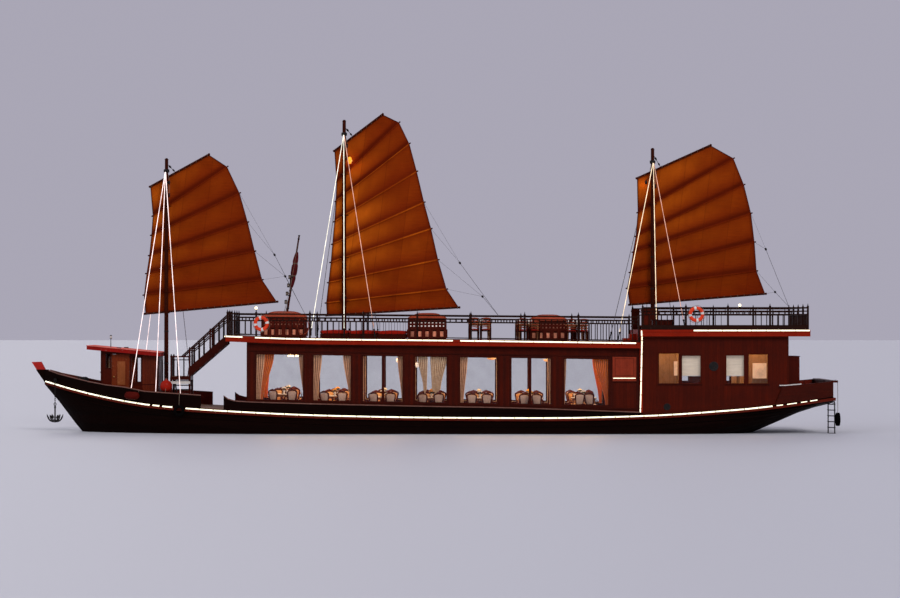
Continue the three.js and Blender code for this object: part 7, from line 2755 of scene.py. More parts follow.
    def blinds(self) -> None:
        """Hangs the roller blinds, each a plain sheet under its own tube."""
        tubes = Solid()
        for side in (-1, 1):
            y = side * self.blind_y
            for aft, fore, head in self.windows[1:3]:
                a, b = aft - 0.03, fore + 0.03
                tubes.tube([(a - 0.02, y, head + 0.05), (b + 0.02, y, head + 0.05)], 0.025, 10)
                low, high = sorted((y, side * 2.756))
                for x in (a - 0.02, b + 0.02):
                    tubes.block((x - 0.008, low, head + 0.02), (x + 0.008, high, head + 0.08))
                tubes.bar((a + 0.01, y, self.blind_foot), (b - 0.01, y, self.blind_foot), 0.014, 0.028)
        tubes.put("blind_tubes", "seat_wood", [FINISH.white])
        for side, name in ((1, "port"), (-1, "starboard")):
            y = side * self.blind_y
            for i, (aft, fore, head) in enumerate(self.windows[1:3], 1):
                a, b = aft - 0.02, fore + 0.02
                rows = []
                for j in range(13):
                    t = j / 12
                    z = head + 0.05 + t * (self.blind_foot - head - 0.05)
                    bow = 0.006 * math.sin(math.pi * t)
                    rows.append([(a + (b - a) * k / 10, y + side * 0.026 * (1 - t) ** 3 + bow
                                  * math.sin(k * 0.9), z) for k in range(11)])
                body = Solid()
                body.grid(rows)
                data = body.mesh(f"blind_{name}_{i}", closed=False, sharp=80)
                unfold(data, lambda p: (p.x, p.z))
                piece = place(data, f"blind_{name}_{i}", BOAT, "seat_wood", [FINISH.blind])
                thicken(piece, 0.0015)
                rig.sheet(piece, flat=(round(b - a, 3), round(head + 0.05 - self.blind_foot, 3)), held="hung",
                         rests_on=["blind_tubes"])

    def build(self) -> None:
        """Builds the aft cabin, the saloon's front and the signs."""
        for step in (self.outside, self.corner_lamps, self.signs, self.inside, self.blinds):
            step()
        front = Solid()
        for a, b in ((-2.62, -0.75), (0.75, 2.62)):
            front.frame((a, b, 1.15, 3.80), 0.0, 0.06, "yz", 7.819, 7.834)
            front.frame((a + 0.2, b - 0.2, 2.15, 3.5), 0.0, 0.03, "yz", 7.819, 7.840)
        front.block((7.82, -0.68, 3.12), (7.85, 0.68, 3.20))
        rounded(front.put("saloon_front_trim", "house_wood", [FINISH.front]), 0.003)
        Door("saloon_door_port", (0.006, 0.606, 1.038, 3.10), "yz", (7.774, 7.814), (0.09, 2.05),
             ((0.10, 0.51, 2.2, 2.98), (0.10, 0.51, 1.18, 2.05))).build()
        Door("saloon_door_starboard", (-0.606, -0.006, 1.038, 3.10), "yz", (7.774, 7.814), (-0.09, 2.05),
             ((-0.51, -0.10, 2.2, 2.98), (-0.51, -0.10, 1.18, 2.05))).build()
        Door("aft_cabin_door", (-1.9, -1.103, 1.479, 3.30), "yz", (-15.394, -15.354), (-1.18, 2.4),
             ((-1.78, -1.22, 2.55, 3.16), (-1.78, -1.22, 1.62, 2.25))).build()


@dataclass
class LadderChair:
    """A ladder-backed deck chair with bowed rungs and a red seat pad."""

    half: float = 0.20
    seat: float = 0.42
    top: float = 0.94

    def frame(self) -> Solid:
        """Returns its legs, stiles and seat rails, about the middle of its foot, facing +Y."""
        h, s = self.half, self.seat
        body = Solid()
        for side in (-1, 1):
            body.tube([(side * h, h, 0.002), (side * h, h - 0.01, s)], [0.018, 0.024], 6)
            body.tube([(side * h, -h - 0.02, 0.002), (side * h, -h + 0.03, s),
                       (side * (h - 0.01), -h - 0.03, s + 0.3), (side * (h - 0.02), -h - 0.06, self.top)],
                      [0.018, 0.024, 0.022, 0.017], 6)
            body.bar((side * h, h - 0.02, 0.16), (side * h, -h + 0.01, 0.16), 0.018, 0.022)
        for y in (-h + 0.03, h - 0.01):
            body.bar((-h, y, s - 0.03), (h, y, s - 0.03), 0.03, 0.06)
        for x in (-h, h):
            body.bar((x, -h + 0.03, s - 0.03), (x, h - 0.01, s - 0.03), 0.03, 0.06)
        body.block((-h, -h + 0.03, s - 0.012), (h, h - 0.01, s))
        return body

    def rungs(self) -> Solid:
        """Returns the bowed rungs of its back."""
        body = Solid()
        for k in range(4):
            z = self.seat + 0.12 + k * 0.125
            y = -self.half - 0.005 - 0.014 * k
            path = [(x * (self.half - 0.01), y - 0.035 * (1 - x * x), z + 0.03 * (1 - x * x))
                    for x in (-1, -0.6, 0, 0.6, 1)]
            section = slab(-0.009, 0.009, -0.019, 0.019)
            body.rings([[(px, py + out, pz + up) for out, up in section] for px, py, pz in path])
        return body


def cushion(body: Solid, low: Point, high: Point, pull: float = 0.03) -> None:
    """Adds a crowned cushion whose sides pull in between its corners.

    Args:
        body: The piece it goes into.
        low: Its lower corner.
        high: Its upper corner.
        pull: How far its sides pull in and its top rises.
    """
    (a, b, c), (d, e, f) = low, high
    mx, my, hx, hy, tall = (a + d) / 2, (b + e) / 2, (d - a) / 2, (e - b) / 2, f - c
    rings = []
    for grow, up in ((0.86, 0.0), (0.97, 0.10), (1.0, 0.34), (1.012, 0.5), (1.0, 0.62), (0.97, 0.86),
                     (0.82, 1.0), (0.5, 1.0), (0.08, 1.0)):
        ring = []
        for t in turns(24):
            u, v = math.cos(t), math.sin(t)
            square = (abs(u) ** 8 + abs(v) ** 8) ** -0.125
            u, v = u * square, v * square
            waist = pull * (1 - abs(u * v))
            crown = pull * (1 - grow) * (1.2 if up >= 0.99 else 0.0)
            ring.append((mx + u * (hx * grow - waist * 0.5), my + v * (hy * grow - waist * 0.5),
                         c + tall * up - pull * 0.5 * (up > 0.9) + crown))
        rings.append(ring)
    body.rings(rings)


@dataclass
class UpperDeck:
    """Everything on and along the two upper decks."""

    half: float = 3.0
    booths: tuple[tuple[float, float], ...] = ((6.39, 1.0), (0.1, 0.88), (-5.2, 0.86))
    lamp_runs: tuple[tuple[float, float], ...] = ((8.70, 7.97), (7.45, -1.03), (-1.33, -8.87))
    sets: tuple[float, ...] = (-2.2, -4.3, -6.4)
    set_y: float = 1.7
    reach: float = 0.54
    rail_y: float = 2.93
    aft_y: float = 2.98
    booth_side: float = 0.525

    def strips(self) -> None:
        """Lays the lamp strips along the decks' edges, with their clips and the nosing under them."""
        body, edge = Solid(), Solid()
        lines: list[list[Point]] = []
        for fore, aft in self.lamp_runs:
            stops = sorted({aft, fore, *[x for x in UPPER_STEPS if aft < x < fore]})
            lines.append([(x, self.half + 0.026, upper(x) - 0.03) for x in stops])
        lines.append([(-16.29, 3.076, 4.435), (-11.31, 3.076, 4.435)])
        for line in lines:
            body.tube(line, 0.028, 8)
        front = [(8.737, y, upper(8.7) - 0.03) for y in (-3.02, 3.02)]
        body.tube(front, 0.024, 8)
        body.mirrored().put("lamp_strip_decks", "fascia_paint", [FINISH.strip])
        lines += [[(x, -y, z) for x, y, z in line] for line in lines]
        REPEAT.along("strip_clips_decks", lines, Shape.BAR, 0.62, (0.05, 0.07, 0.022), FINISH.fascia,
                     "fascia_paint")
        for rise, out in ((-0.085, 0.020), (-0.232, 0.016)):
            edge.run((-9.06, *UPPER_STEPS[1:-1], 8.70), lambda x: (self.half, upper(x) + rise),
                     ((-0.01, -0.016), (out, -0.010), (out, 0.010), (-0.01, 0.016)))
        for z in (4.375, 4.20):
            edge.block((-16.31, 3.04, z - 0.012), (-9.06, 3.068, z + 0.012))
        edge.block((-9.052, 2.0, 4.19), (-9.03, 3.05, 4.46))
        edge.mirrored().put("deck_nosings", "fascia_paint", [FINISH.fascia])

    def booth(self, number: int, x: float, length: float) -> None:
        """Builds one booth: slatted body, lattice band, hipped roof and its lit slots.

        Args:
            number: Its number from the bow.
            x: Its middle.
            length: Half its length.
        """
        node = f"booth_{number}"
        z = upper(x)
        low = min(upper(x - length), upper(x + length)) + 0.012
        frame_work, glow, roof = Solid(), Solid(), Solid()
        ends = (x - length + 0.075, x + length - 0.075)
        side = self.booth_side
        frame_work.block((ends[0] + 0.03, -side + 0.05, low), (ends[1] - 0.03, side - 0.05, z + 0.90))
        for end in ends:
            for y in (-side, side):
                frame_work.block((end - 0.03, y - 0.03, low), (end + 0.03, y + 0.03, z + 0.90))
        for level, deep in ((0.07, 0.05), (0.44, 0.035), (0.84, 0.05)):
            for y in (-side, side):
                frame_work.block((ends[0], y - 0.024, z + level - deep / 2),
                                 (ends[1], y + 0.024, z + level + deep / 2))
            for end in ends:
                frame_work.block((end - 0.022, -side, z + level - deep / 2),
                                 (end + 0.022, side, z + level + deep / 2))
        count = round((ends[1] - ends[0]) / 0.155)
        pitch = (ends[1] - ends[0]) / count
        for k in range(count + 1):
            at = ends[0] + k * pitch
            for y in (-side, side):
                frame_work.block((at - 0.047, y - 0.035, z + 0.44), (at + 0.047, y + 0.016, z + 0.84))
                if k % 2 == 0:
                    frame_work.block((at - 0.085, y - 0.04, z + 0.07), (at + 0.085, y + 0.018, z + 0.44))
        for level in (0.515, 0.665, 0.795):
            for y in (-side, side):
                frame_work.block((ends[0], y - 0.034, z + level - 0.045),
                                 (ends[1], y + 0.020, z + level + 0.045))
        inner = side - 0.055
        for y0, y1 in ((-inner - 0.008, -inner), (inner, inner + 0.008)):
            for a, b, skin in ((0.13, 0.36, 0), (0.47, 0.81, 1)):
                glow.block((ends[0] + 0.06, y0, z + a), (ends[1] - 0.06, y1, z + b), skin)
        levels = ((0.0, 0.0, 0.885), (0.0, 0.0, 0.905), (0.05, 0.03, 0.955), (0.13, 0.07, 0.985),
                  (0.28, 0.16, 1.05), (0.42, 0.26, 1.105), (0.56, 0.40, 1.135), (0.70, 0.52, 1.145))
        rings = []
        for inset_x, inset_y, up in levels:
            a, b = length - inset_x * length, 0.6 - inset_y * 0.9
            r = min(0.08, b * 0.4)
            ring = []
            for cx, cy, start in ((1, 1, 0), (-1, 1, 1), (-1, -1, 2), (1, -1, 3)):
                for k in range(4):
                    t = math.pi / 2 * (start + k / 3)
                    ring.append((x + cx * (a - r) + r * math.cos(t), cy * (b - r) + r * math.sin(t), z + up))
            rings.append(ring)
        roof.rings(rings)
        roof.tube([(x - length * 0.3, 0, z + 1.145), (x + length * 0.3, 0, z + 1.145)], 0.022, 8)
        for cx in (-1, 1):
            for cy in (-1, 1):
                path = [(x + cx * (length - i * length - 0.01), cy * (0.59 - j * 0.9), z + up + 0.004)
                        for i, j, up in levels[2:]]
                roof.tube(path, 0.014, 6)
        if number == 1:
            arch = [(x - 0.86 + 0.25 * math.cos(t), side + 0.03, z + 0.50 + 0.36 * math.sin(t))
                    for t in turns(20)]
            roof.tube(arch, 0.022, 6, looped=True)
        frame_work.put(f"{node}_body", "booth_wood", [FINISH.booth_dark], [node])
        band = FINISH.booth_light if number == 2 else FINISH.booth_glow
        glow.put(f"{node}_panels", "booth_wood", [FINISH.booth_glow, band], [node])
        rounded(roof.put(f"{node}_roof", "booth_wood", [FINISH.booth], [node]), 0.004)

    def seating(self) -> None:
        """Sets the deck's mats, tables, ladder-backed chairs and cushioned benches."""
        both = ["upper_tables_port", "upper_tables_starboard"]
        mat = Solid()
        mat.run((-8.4, *[x for x in UPPER_STEPS if -8.4 < x < 5.2], 5.2), lambda x: (0.0, upper(x)),
                slab(0.9, 2.7, 0.0105, 0.02))
        mat.mirrored().put("deck_mats", "seat_wood", [FINISH.carpet], both)
        seats, tables, pads = [], [], Solid()
        for x in self.sets:
            z = upper(x) + 0.02
            for side in (-1, 1):
                y = side * self.set_y
                tables.append((x, y, z, 0.0))
                for end in (-1, 1):
                    for row in (-1, 1):
                        seats.append((x + end * 0.26, y + row * self.reach, z, math.pi if row > 0 else 0.0))
        chair = LadderChair()
        REPEAT.copy("deck_chairs", chair.frame(), seats, FINISH.mast, "seat_wood", both)
        REPEAT.copy("deck_chair_rungs", chair.rungs(), seats, FINISH.booth, "seat_wood", both)
        for x, y, z, _ in seats:
            cushion(pads, (x - 0.19, y - 0.17, z + 0.425), (x + 0.19, y + 0.19, z + 0.475), 0.016)
        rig.padded(pads.put("deck_chair_pads", "seat_wood", [FINISH.cushion], both), fill=0.75)
        table = Table(1.0, 0.7, 0.72)
        REPEAT.copy("deck_tables", table.frame(), tables, FINISH.light_wood, "seat_wood", both)
        setting = table.crockery([(-0.25, 0.2), (0.25, 0.2), (-0.25, -0.2), (0.25, -0.2)])
        REPEAT.copy("deck_crockery", setting, tables, FINISH.white, "seat_wood")
        base, red = Solid(), Solid()
        for k in range(3):
            a = 1.0 + k * 3.7 / 3
            b = a + 3.7 / 3
            z = upper((a + b) / 2) + 0.02
            base.block((a + 0.02, 2.27, z), (b - 0.02, 2.61, z + 0.20))
            for j in range(5):
                at = a + 0.1 + j * (b - a - 0.2) / 4
                for y in (2.25, 2.63):
                    base.block((at - 0.03, y - 0.02, z), (at + 0.03, y + 0.012, z + 0.20))
            cushion(red, (a + 0.01, 2.245, z + 0.20), (b - 0.01, 2.635, z + 0.352), 0.03)
        base.mirrored().put("bench_base", "seat_wood", [FINISH.front], both)
        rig.padded(red.mirrored().put("bench_cushions", "seat_wood", [FINISH.cushion], both), fill=0.75)

    def rails(self) -> None:
        """Adds the short stubs between the upper rails, the thin bars and the posts' caps."""
        stubs, thin = [], []
        for side in (-1, 1):
            y = side * self.rail_y
            stops = (-8.9, -6.4, -4.1, -1.8, 0.5, 2.8, 5.1, 7.4, 8.6)
            for a, b in zip(stops, stops[1:]):
                thin.append([(x, y, rail_top(x) - 0.22) for x in (a + 0.12, b - 0.12)])
            y = side * self.aft_y
            stops = (-16.15, -14.6, -12.8, -11.0, -9.2)
            for a, b in zip(stops, stops[1:]):
                stubs.append([(a + 0.12, y, 5.365), (b - 0.12, y, 5.365)])
                thin.append([(a + 0.12, y, 5.22), (b - 0.12, y, 5.22)])
        REPEAT.along("rail_stubs", thin, Shape.BAR, 0.25, (0.05, 0.028, 0.145), FINISH.rail, "rail_paint",
                     upright=True)
        REPEAT.along("rail_spacers", stubs, Shape.BAR, 0.9, (0.03, 0.028, 0.15), FINISH.rail, "rail_paint",
                     upright=True)
        bars = Solid()
        for k in range(1, 24):
            y = -self.rail_y + k * 5.86 / 24
            if abs(y) > 0.62:
                bars.block((8.612, y - 0.016, upper(8.6)), (8.648, y + 0.016, rail_top(8.6) - 0.29))
            bars.block((-16.238, y - 0.016, 4.475), (-16.202, y + 0.016, 5.15))
        bars.put("cross_balusters", "rail_paint", [FINISH.rail])
        caps = Solid()
        posts = [(x, self.rail_y, rail_top(x)) for x in (8.63, 7.4, 5.1, 2.8, 0.5, -1.8, -4.1, -6.4)]
        posts += [(x, self.aft_y, 5.44) for x in (-16.22, -14.6, -12.8, -11.0)]
        for x, y, z in posts:
            caps.turned([(0.03, 0.0), (0.055, 0.012), (0.055, 0.025), (0.03, 0.035)], (x, y, z), sides=12)
        caps.mirrored().put("post_caps", "rail_paint", [FINISH.rail])

    def hoop(self, body: Solid, centre: Point, radius: float, arc: tuple[int, int], fat: float) -> None:
        """Adds an arc of a life ring.

        Args:
            body: The solid that it goes into.
            centre: The ring's middle.
            radius: The ring's outer radius.
            arc: The first of the ring's 36 steps, and how many it spans.
            fat: How much thicker it is than the ring itself.
        """
        x, y, z = centre
        start, span = arc
        rings = []
        for k in range(start, start + span + (span < 36)):
            t = 2 * math.pi * k / 36
            ring = []
            for u in turns(12):
                out = radius - 0.075 + (0.075 + fat) * math.cos(u)
                ring.append((x + out * math.cos(t), y + (0.05 + fat) * math.sin(u), z + out * math.sin(t)))
            rings.append(ring)
        body.rings(rings, looped=span == 36)

    def rings_and_lamps(self) -> None:
        """Hangs the life rings with their bands and lines, and the small deck lamps."""
        red, bands, ropes, bulbs = Solid(), Solid(), Solid(), Solid()
        for x, y, z, r in ((7.18, 3.03, 4.73, 0.33), (-11.44, 3.06, 5.13, 0.34)):
            self.hoop(red, (x, y, z), r, (0, 36), 0.0)
            for k in range(4):
                self.hoop(bands, (x, y, z), r, (7 + 9 * k, 2), 0.004)
            line = []
            for t in turns(48):
                out = r + 0.012 + 0.03 * abs(math.sin(2 * t + math.pi / 4))
                line.append((x + out * math.cos(t), y, z + out * math.sin(t)))
            ropes.tube(line, 0.008, 6, looped=True)
            top = 5.17 if x > 0 else 5.44
            ropes.tube([(x, y + 0.04, z + r - 0.12), (x, y + 0.03, z + r), (x, y - 0.05, top + 0.03),
                        (x, y - 0.11, top - 0.08)], 0.010, 6)
        red.put("life_rings", "rail_paint", [FINISH.ring])
        bands.put("life_ring_bands", "rail_paint", [FINISH.white])
        ropes.put("life_ring_lines", "rail_paint", [FINISH.rope])
        holders = Solid()
        for x, y, z in ((7.4, self.rail_y, 5.35), (-13.3, self.aft_y, 5.47)):
            holders.turned([(0.03, -0.05), (0.035, -0.02), (0.03, 0.0)], (x, y, z), sides=10)
            bulbs.turned([(0.03, -0.005), (0.055, 0.02), (0.062, 0.05), (0.045, 0.09), (0.01, 0.105)],
                         (x, y, z), sides=12)
        holders.put("deck_lamp_feet", "rail_paint", [FINISH.iron])
        bulbs.put("deck_lamps", "window_glass", [FINISH.bulb])

    def fittings(self) -> None:
        """Builds the corner post and locker of the aft deck, and the lattice column by the first booth."""
        body = Solid()
        body.block((-9.46, 2.90, 4.478), (-9.09, 2.965, 5.40))
        for z in (4.62, 5.30):
            body.block((-9.48, 2.885, z - 0.03), (-9.07, 2.975, z + 0.03))
        body.block((-10.42, 2.20, 4.482), (-9.60, 2.78, 4.86))
        body.block((-10.45, 2.17, 4.86), (-9.57, 2.81, 4.90))
        for x in (-10.2, -9.82):
            body.block((x - 0.1, 2.78, 4.53), (x + 0.1, 2.79, 4.82))
        rounded(body.mirrored().put("aft_deck_fittings", "rail_paint", [FINISH.front]), 0.006)

    def build(self) -> None:
        """Builds the upper decks."""
        self.strips()
        for number, (x, length) in enumerate(self.booths, 1):
            self.booth(number, x, length)
        for step in (self.seating, self.rails, self.rings_and_lamps, self.fittings):
            step()


@dataclass
class Gear:
    """The signal mast's dress, the ground tackle, and the deck gear at the bow and the stern."""

    foot: tuple[float, float, float] = (6.45, 0.0, 4.05)
    head: tuple[float, float, float] = (5.74, 0.0, 8.6)
    drum: tuple[float, float] = (15.2, 2.25)

    def on_mast(self, t: float) -> Vector:
        """Returns the signal mast's middle at a share of its height."""
        return Vector(self.foot).lerp(Vector(self.head), t)

    def signal_mast(self) -> None:
        """Builds the lamps' cages and lenses, the bands, the stays and the furled cloth with its ties."""
        iron, lens, ties = Solid(), Solid(), Solid()
        for t in (0.36, 0.44, 0.52, 0.60):
            at = self.on_mast(t) + Vector((0.13, 0, 0))
            iron.turned([(0.030, -0.085), (0.060, -0.078), (0.062, -0.055), (0.058, -0.045)], at, sides=14)
            iron.turned([(0.058, 0.050), (0.064, 0.060), (0.060, 0.080), (0.02, 0.098)], at, sides=14)
            lens.turned([(0.0575, -0.046), (0.060, -0.02), (0.060, 0.025), (0.0575, 0.051)], at, sides=14)
            for k in range(4):
                a = math.pi / 4 + k * math.pi / 2
                iron.bar((at.x + 0.063 * math.cos(a), 0.063 * math.sin(a), at.z - 0.06),
                         (at.x + 0.063 * math.cos(a), 0.063 * math.sin(a), at.z + 0.06), 0.008, 0.008)
        for t in (0.12, 0.30, 0.47, 0.66, 0.97):
            at = self.on_mast(t)
            r = 0.055 - 0.02 * t
            iron.turned([(r + 0.010, -0.025), (r + 0.014, 0.0), (r + 0.010, 0.025)], at, (-0.154, 0, 0.988),
                        14)
        iron.turned([(0.03, -0.01), (0.05, 0.0), (0.05, 0.02), (0.01, 0.04)], self.head, sides=12)
        for t, y in ((0.42, 0.42), (0.60, 0.33)):
            at = self.on_mast(t)
            for side in (-1, 1):
                iron.turned([(0.03, -0.03), (0.04, 0.0), (0.03, 0.03)],
                            at + Vector((0, side * (y - 0.03), 0)), (0, 1, 0), 10)
                ties.tube([self.on_mast(0.95), at + Vector((0, side * (y - 0.02), 0)),
                           (6.39, side * 0.45, 5.15)], 0.006, 5)
        iron.put("signal_lamp_cages", "iron", [FINISH.iron])
        lens.put("signal_lamp_lenses", "window_glass", [FINISH.lens])
        rows = []
        start, end = 0.50, 0.84
        for j in range(25):
            s = j / 24
            at = self.on_mast(start + (end - start) * s)
            r = 0.048 + 0.075 * math.sin(math.pi * min(s * 1.02, 1.0)) ** 0.7
            r *= 1 - 0.25 * math.exp(-((s - 0.33) / 0.04) ** 2) - 0.25 * math.exp(-((s - 0.68) / 0.04) ** 2)
            row = []
            for k in range(41):
                a = 0.5 + (2 * math.pi - 0.25) * k / 40
                q = r * (1 + 0.20 * math.sin(7 * a + 2.2 * s) + 0.09 * math.sin(13 * a - 5 * s))
                row.append((at.x + q * math.cos(a) - 0.02, at.y + q * math.sin(a),
                            at.z + 0.02 * math.sin(3 * a)))
            rows.append(row)
        cloth = Solid()
        cloth.grid(rows)
        data = cloth.mesh("furled_cloth", closed=False, sharp=80)
        unfold(data, lambda p: (math.atan2(p.y, p.x - 6.0) * 0.2, p.z))
        piece = place(data, "furled_cloth", BOAT, "sail_cloth", [FINISH.red_cloth])
        thicken(piece, 0.004)
        tall = (self.on_mast(end) - self.on_mast(start)).length
        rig.sheet(piece, flat=(round(area(data) / tall, 2), round(tall, 2)), held="gathered",
                 rests_on=["signal_mast"])
        for s in (0.33, 0.68):
            at = self.on_mast(start + (end - start) * s)
            for h in (-0.012, 0.012):
                ties.tube([(at.x - 0.02 + 0.108 * math.cos(a), 0.108 * math.sin(a), at.z + h)
                           for a in turns(20)], 0.009, 6, looped=True)
        ties.put("signal_mast_lines", "stay_wire", [FINISH.rope])

    def anchor(self) -> None:
        """Builds the grapnel with its palms and ring, its chain and the roller it hangs from."""
        x, y, low, high = 16.35, 0.76, 0.42, 1.18
        body, roller = Solid(), Solid()
        body.turned([(0.028, 0.0), (0.070, 0.02), (0.075, 0.06), (0.050, 0.10), (0.034, 0.16), (0.030, 0.62),
                     (0.045, 0.64), (0.045, 0.70), (0.030, 0.72), (0.026, 0.745)], (x, y, low), sides=14)
        for a in turns(6):
            c, s = math.cos(a), math.sin(a)
            path = [(0.02, 0.05), (0.12, 0.045), (0.21, 0.08), (0.29, 0.17), (0.335, 0.27), (0.360, 0.36)]
            body.tube([(x + r * c, y + r * s, low + h) for r, h in path],
                      [0.036, 0.034, 0.032, 0.028, 0.020, 0.006], 8)
            palm = [(0.255, 0.17, 0.012), (0.285, 0.215, 0.062), (0.325, 0.285, 0.050),
                    (0.352, 0.345, 0.010)]
            thick = Vector((c, s, 0.6)) * 0.007
            rings = []
            for r, h, half in palm:
                mid = Vector((x + (r - 0.012) * c, y + (r - 0.012) * s, low + h))
                across = Vector((-s, c, 0)) * half
                rings.append([mid - across - thick, mid + across - thick, mid + across + thick,
                              mid - across + thick])
            body.rings(rings)
        body.tube([(x + 0.055 * math.cos(a), y, high + 0.035 + 0.055 * math.sin(a)) for a in turns(16)],
                  0.013, 8, looped=True)
        body.put("anchor_grapnel", "iron", [FINISH.iron], ["anchor"])
        chain = REPEAT.along("anchor_chain", [[(x, y, high + 0.08), (x, y, 2.25)]], Shape.LINK, 0.078,
                             (0.085, 0.085, 0.115), FINISH.iron, "iron", turn=math.pi / 2)
        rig.replaces(chain, "anchor")
        inner = HULL.half(x) - 0.06
        for at in (-0.04, 0.04):
            roller.block((x + at - 0.008, inner, 2.20), (x + at + 0.008, y + 0.05, 2.335))
        roller.turned([(0.045, -0.034), (0.030, -0.01), (0.030, 0.01), (0.045, 0.034)], (x, y, 2.28),
                      (1, 0, 0), 14)
        roller.tube([(x - 0.055, y, 2.28), (x + 0.055, y, 2.28)], 0.012, 8)
        roller.block((x - 0.09, inner - 0.02, 2.19), (x + 0.09, inner + 0.10, 2.215))
        roller.put("anchor_roller", "iron", [FINISH.iron], ["anchor"])
        chain = [(self.drum[0], 0.23, 2.36), (15.5, 0.30, 2.345), (x, 0.45, 2.33), (x, y, 2.34)]
        REPEAT.along("windlass_chain", [chain], Shape.LINK, 0.078, (0.08, 0.08, 0.11), FINISH.iron, "iron",
                     turn=math.pi / 2)

    def deck_gear(self) -> None:
        """Builds the windlass's whelps, the mooring bitts, the locker's doors and the stern's cap."""
        iron, wood, white = Solid(), Solid(), Solid()
        cx, cz = self.drum
        for a in turns(10):
            x, z = cx + 0.098 * math.cos(a), cz + 0.098 * math.sin(a)
            for y0, y1 in ((-0.50, -0.26), (0.26, 0.50)):
                iron.bar((x, y0, z), (x, y1, z), 0.022, 0.022)
            x, z = cx + 0.145 * math.cos(a), cz + 0.145 * math.sin(a)
            iron.block((x - 0.014, 0.20, z - 0.014), (x + 0.014, 0.26, z + 0.014))
        iron.tube([(15.30, -0.05, 1.97), (15.42, -0.05, 2.3), (15.44, -0.05, 2.42)], [0.016, 0.014, 0.022],
                  8)
        for x, y in ((14.75, 0.72), (-16.55, 2.15)):
            z = HULL.deck(x) + 0.010
            for at in (-0.14, 0.14):
                iron.turned([(0.075, 0.0), (0.075, 0.02), (0.050, 0.04), (0.046, 0.26), (0.066, 0.28),
                             (0.062, 0.31), (0.02, 0.325)], (x + at, y, z), sides=14)
            iron.tube([(x - 0.26, y, z + 0.17), (x + 0.26, y, z + 0.17)], 0.022, 8)
            iron.block((x - 0.27, y - 0.10, z - 0.008), (x + 0.27, y + 0.10, z + 0.008))
        iron.mirrored()
        iron.put("mooring_gear", "iron", [FINISH.iron])
        wood.frame((-15.90, -15.45, 1.45, 3.22), 0.0, 0.05, "xz", 2.299, 2.312)
        for a, b in ((0.55, 1.38), (1.42, 2.25)):
            wood.frame((a, b, 1.42, 3.22), 0.0, 0.06, "yz", -15.962, -15.949)
            wood.frame((a + 0.12, b - 0.12, 1.6, 3.05), 0.0, 0.02, "yz", -15.957, -15.949)
        wood.block((-15.98, 0.47, 3.31), (-15.40, 2.33, 3.335))
        rounded(wood.put("stern_locker_doors", "spar_wood", [FINISH.front]), 0.004)
        knobs = Solid()
        for y in (1.32, 1.48):
            knobs.turned([(0.012, 0.0), (0.008, 0.02), (0.018, 0.032), (0.012, 0.044)], (-15.958, y, 2.35),
                         (-1, 0, 0), 10)
        knobs.put("locker_knobs", "bronze", [FINISH.bronze])
        top = HullDress().stern_top
        white.run(HULL.between(-15.95, -15.0), lambda x: (HULL.half(x), top(x)),
                  ((-0.10, -0.004), (0.02, -0.004), (0.024, 0.03), (-0.10, 0.035)))
        white.mirrored().put("stern_cap_boards", "hull_paint", [FINISH.white])

    def ladder(self) -> None:
        """Hangs the boarding ladder on the transom's port corner."""
        body = Solid()
        ends = [Vector((-17.22, 2.05, 0)), Vector((-17.46, 2.33, 0))]
        for at in ends:
            body.tube([(at.x, at.y, -0.35), (at.x, at.y, 1.30), (at.x + 0.03, at.y, 1.40)], 0.026, 8)
        for k in range(7):
            z = -0.25 + k * 0.25
            body.tube([(ends[0].x, ends[0].y, z), (ends[1].x, ends[1].y, z)], 0.015, 8)
            a, b = ends
            across = Vector((0.05, -0.04, 0))
            body.rings([[p - across + Vector((0, 0, z + h)) for h in (0.010, 0.026)] +
                        [p + across + Vector((0, 0, z + h)) for h in (0.026, 0.010)] for p in (a, b)])
        for z in (1.30, 1.36):
            for at in ends:
                body.tube([(at.x, at.y, z), (at.x + 0.16, at.y, z + 0.03)], 0.018, 8)
        body.put("stern_ladder", "iron", [FINISH.iron])

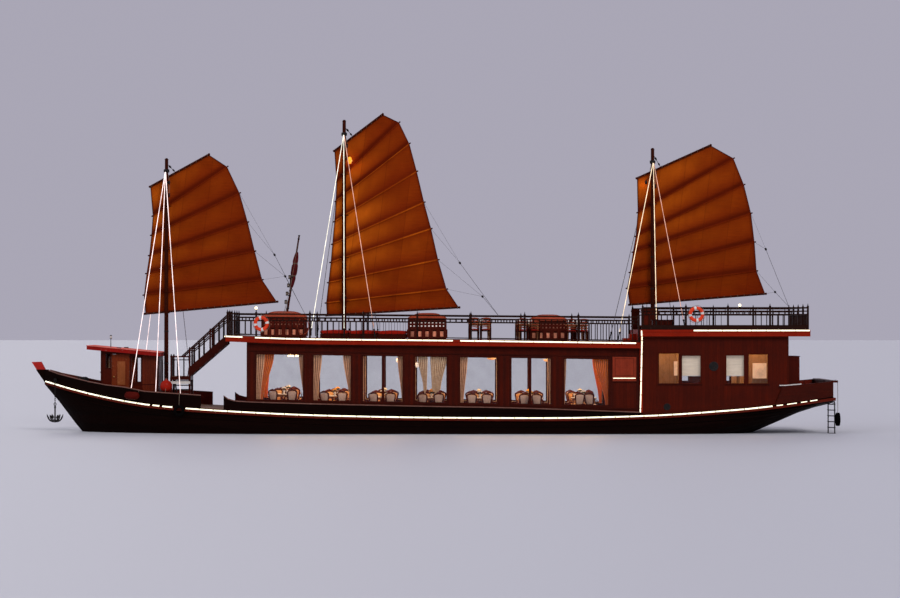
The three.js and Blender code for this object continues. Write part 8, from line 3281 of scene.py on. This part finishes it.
    def masts(self) -> None:
        """Builds the masts' collars and bands, the tackles abaft them and the lamp on the main mast."""
        wood, iron, line, lamp = Solid(), Solid(), Solid(), Solid()
        for plan in SAILS:
            x, z = plan.mast, plan.base
            r = plan.foot + 0.012
            wood.turned([(r + 0.07, 0.0), (r + 0.075, 0.03), (r + 0.02, 0.09), (r, 0.11)], (x, 0, z),
                        sides=20)
            for up in (1.8, 3.2, plan.crosstree - z - 0.5):
                t = up / (plan.head - z)
                q = plan.foot + (0.075 - plan.foot) * t
                iron.turned([(q + 0.003, -0.035), (q + 0.007, -0.03), (q + 0.007, 0.03), (q + 0.003, 0.035)],
                            (x, 0, z + up), sides=20)
            mid = Vector((x - 0.13, 0.07, plan.crosstree - 0.52))
            for at, wide in ((mid, 1.0), (mid - Vector((0, 0, 0.55)), 0.85)):
                iron.turned([(0.02 * wide, -0.10), (0.04 * wide, -0.06), (0.045 * wide, 0.0),
                             (0.04 * wide, 0.06), (0.02 * wide, 0.10)], at, (0, 0, 1), 12)
            for dx in (-0.012, 0.012):
                line.tube([(mid.x + dx, mid.y, mid.z - 0.08), (mid.x + dx, mid.y, mid.z - 0.47)], 0.007, 5)
            line.tube([(x - 0.07, 0.03, mid.z + 0.42), (mid.x, mid.y, mid.z + 0.09)], 0.009, 6)
        for at in ((3.51, 0.15, 11.93), (-9.52, 0.15, 10.95)):
            mast = 3.70 if at[0] > 0 else -9.76
            body = lamp if at[0] > 0 else iron
            size = 1.0 if at[0] > 0 else 0.6
            body.turned([(0.015 * size, -0.17 * size), (0.06 * size, -0.13 * size),
                         (0.095 * size, -0.04 * size), (0.10 * size, 0.02), (0.07 * size, 0.10 * size),
                         (0.025 * size, 0.15 * size)], at, sides=14)
            iron.turned([(0.03, 0.14 * size), (0.06, 0.15 * size), (0.02, 0.18 * size)], at, sides=12)
            iron.tube([(mast, 0.05, at[2] + 0.15), ((mast + at[0]) / 2, 0.12, at[2] + 0.19),
                       (at[0], at[1], at[2] + 0.15 * size)], 0.012, 8)
        wood.put("mast_collars", "spar_wood", [FINISH.front])
        iron.put("mast_bands", "iron", [FINISH.iron])
        line.put("tackle_lines", "stay_wire", [FINISH.rope])
        lamp.put("mast_lamp", "window_glass", [FINISH.amber])

    def build(self) -> None:
        """Builds the gear."""
        for step in (self.signal_mast, self.anchor, self.deck_gear, self.ladder, self.masts):
            step()


def size_of_all() -> list[list[float]]:
    """Returns the whole object's box as plain lists."""
    return [[round(v, 4) for v in corner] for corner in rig.bounds()]


def main() -> None:
    """Builds the studio and every part of the boat in order, and writes its sizes."""
    logging.basicConfig(level=logging.INFO)
    cad_box = size_of_all()
    Studio().build()
    sails = [Sail(plan) for plan in SAILS]
    for part in (Carried(), HullDress(), Wheelhouse(), Stairs(), Saloon(), AftCabin(), UpperDeck(), *sails,
                 Rigging(), Gear()):
        LOG.info("building %s", type(part).__name__)
        part.build()
    with open("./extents.json", "w", encoding="utf-8") as out:
        json.dump({"cad_box": cad_box, "visual_box": size_of_all()}, out)


if __name__ == "__main__":
    main()
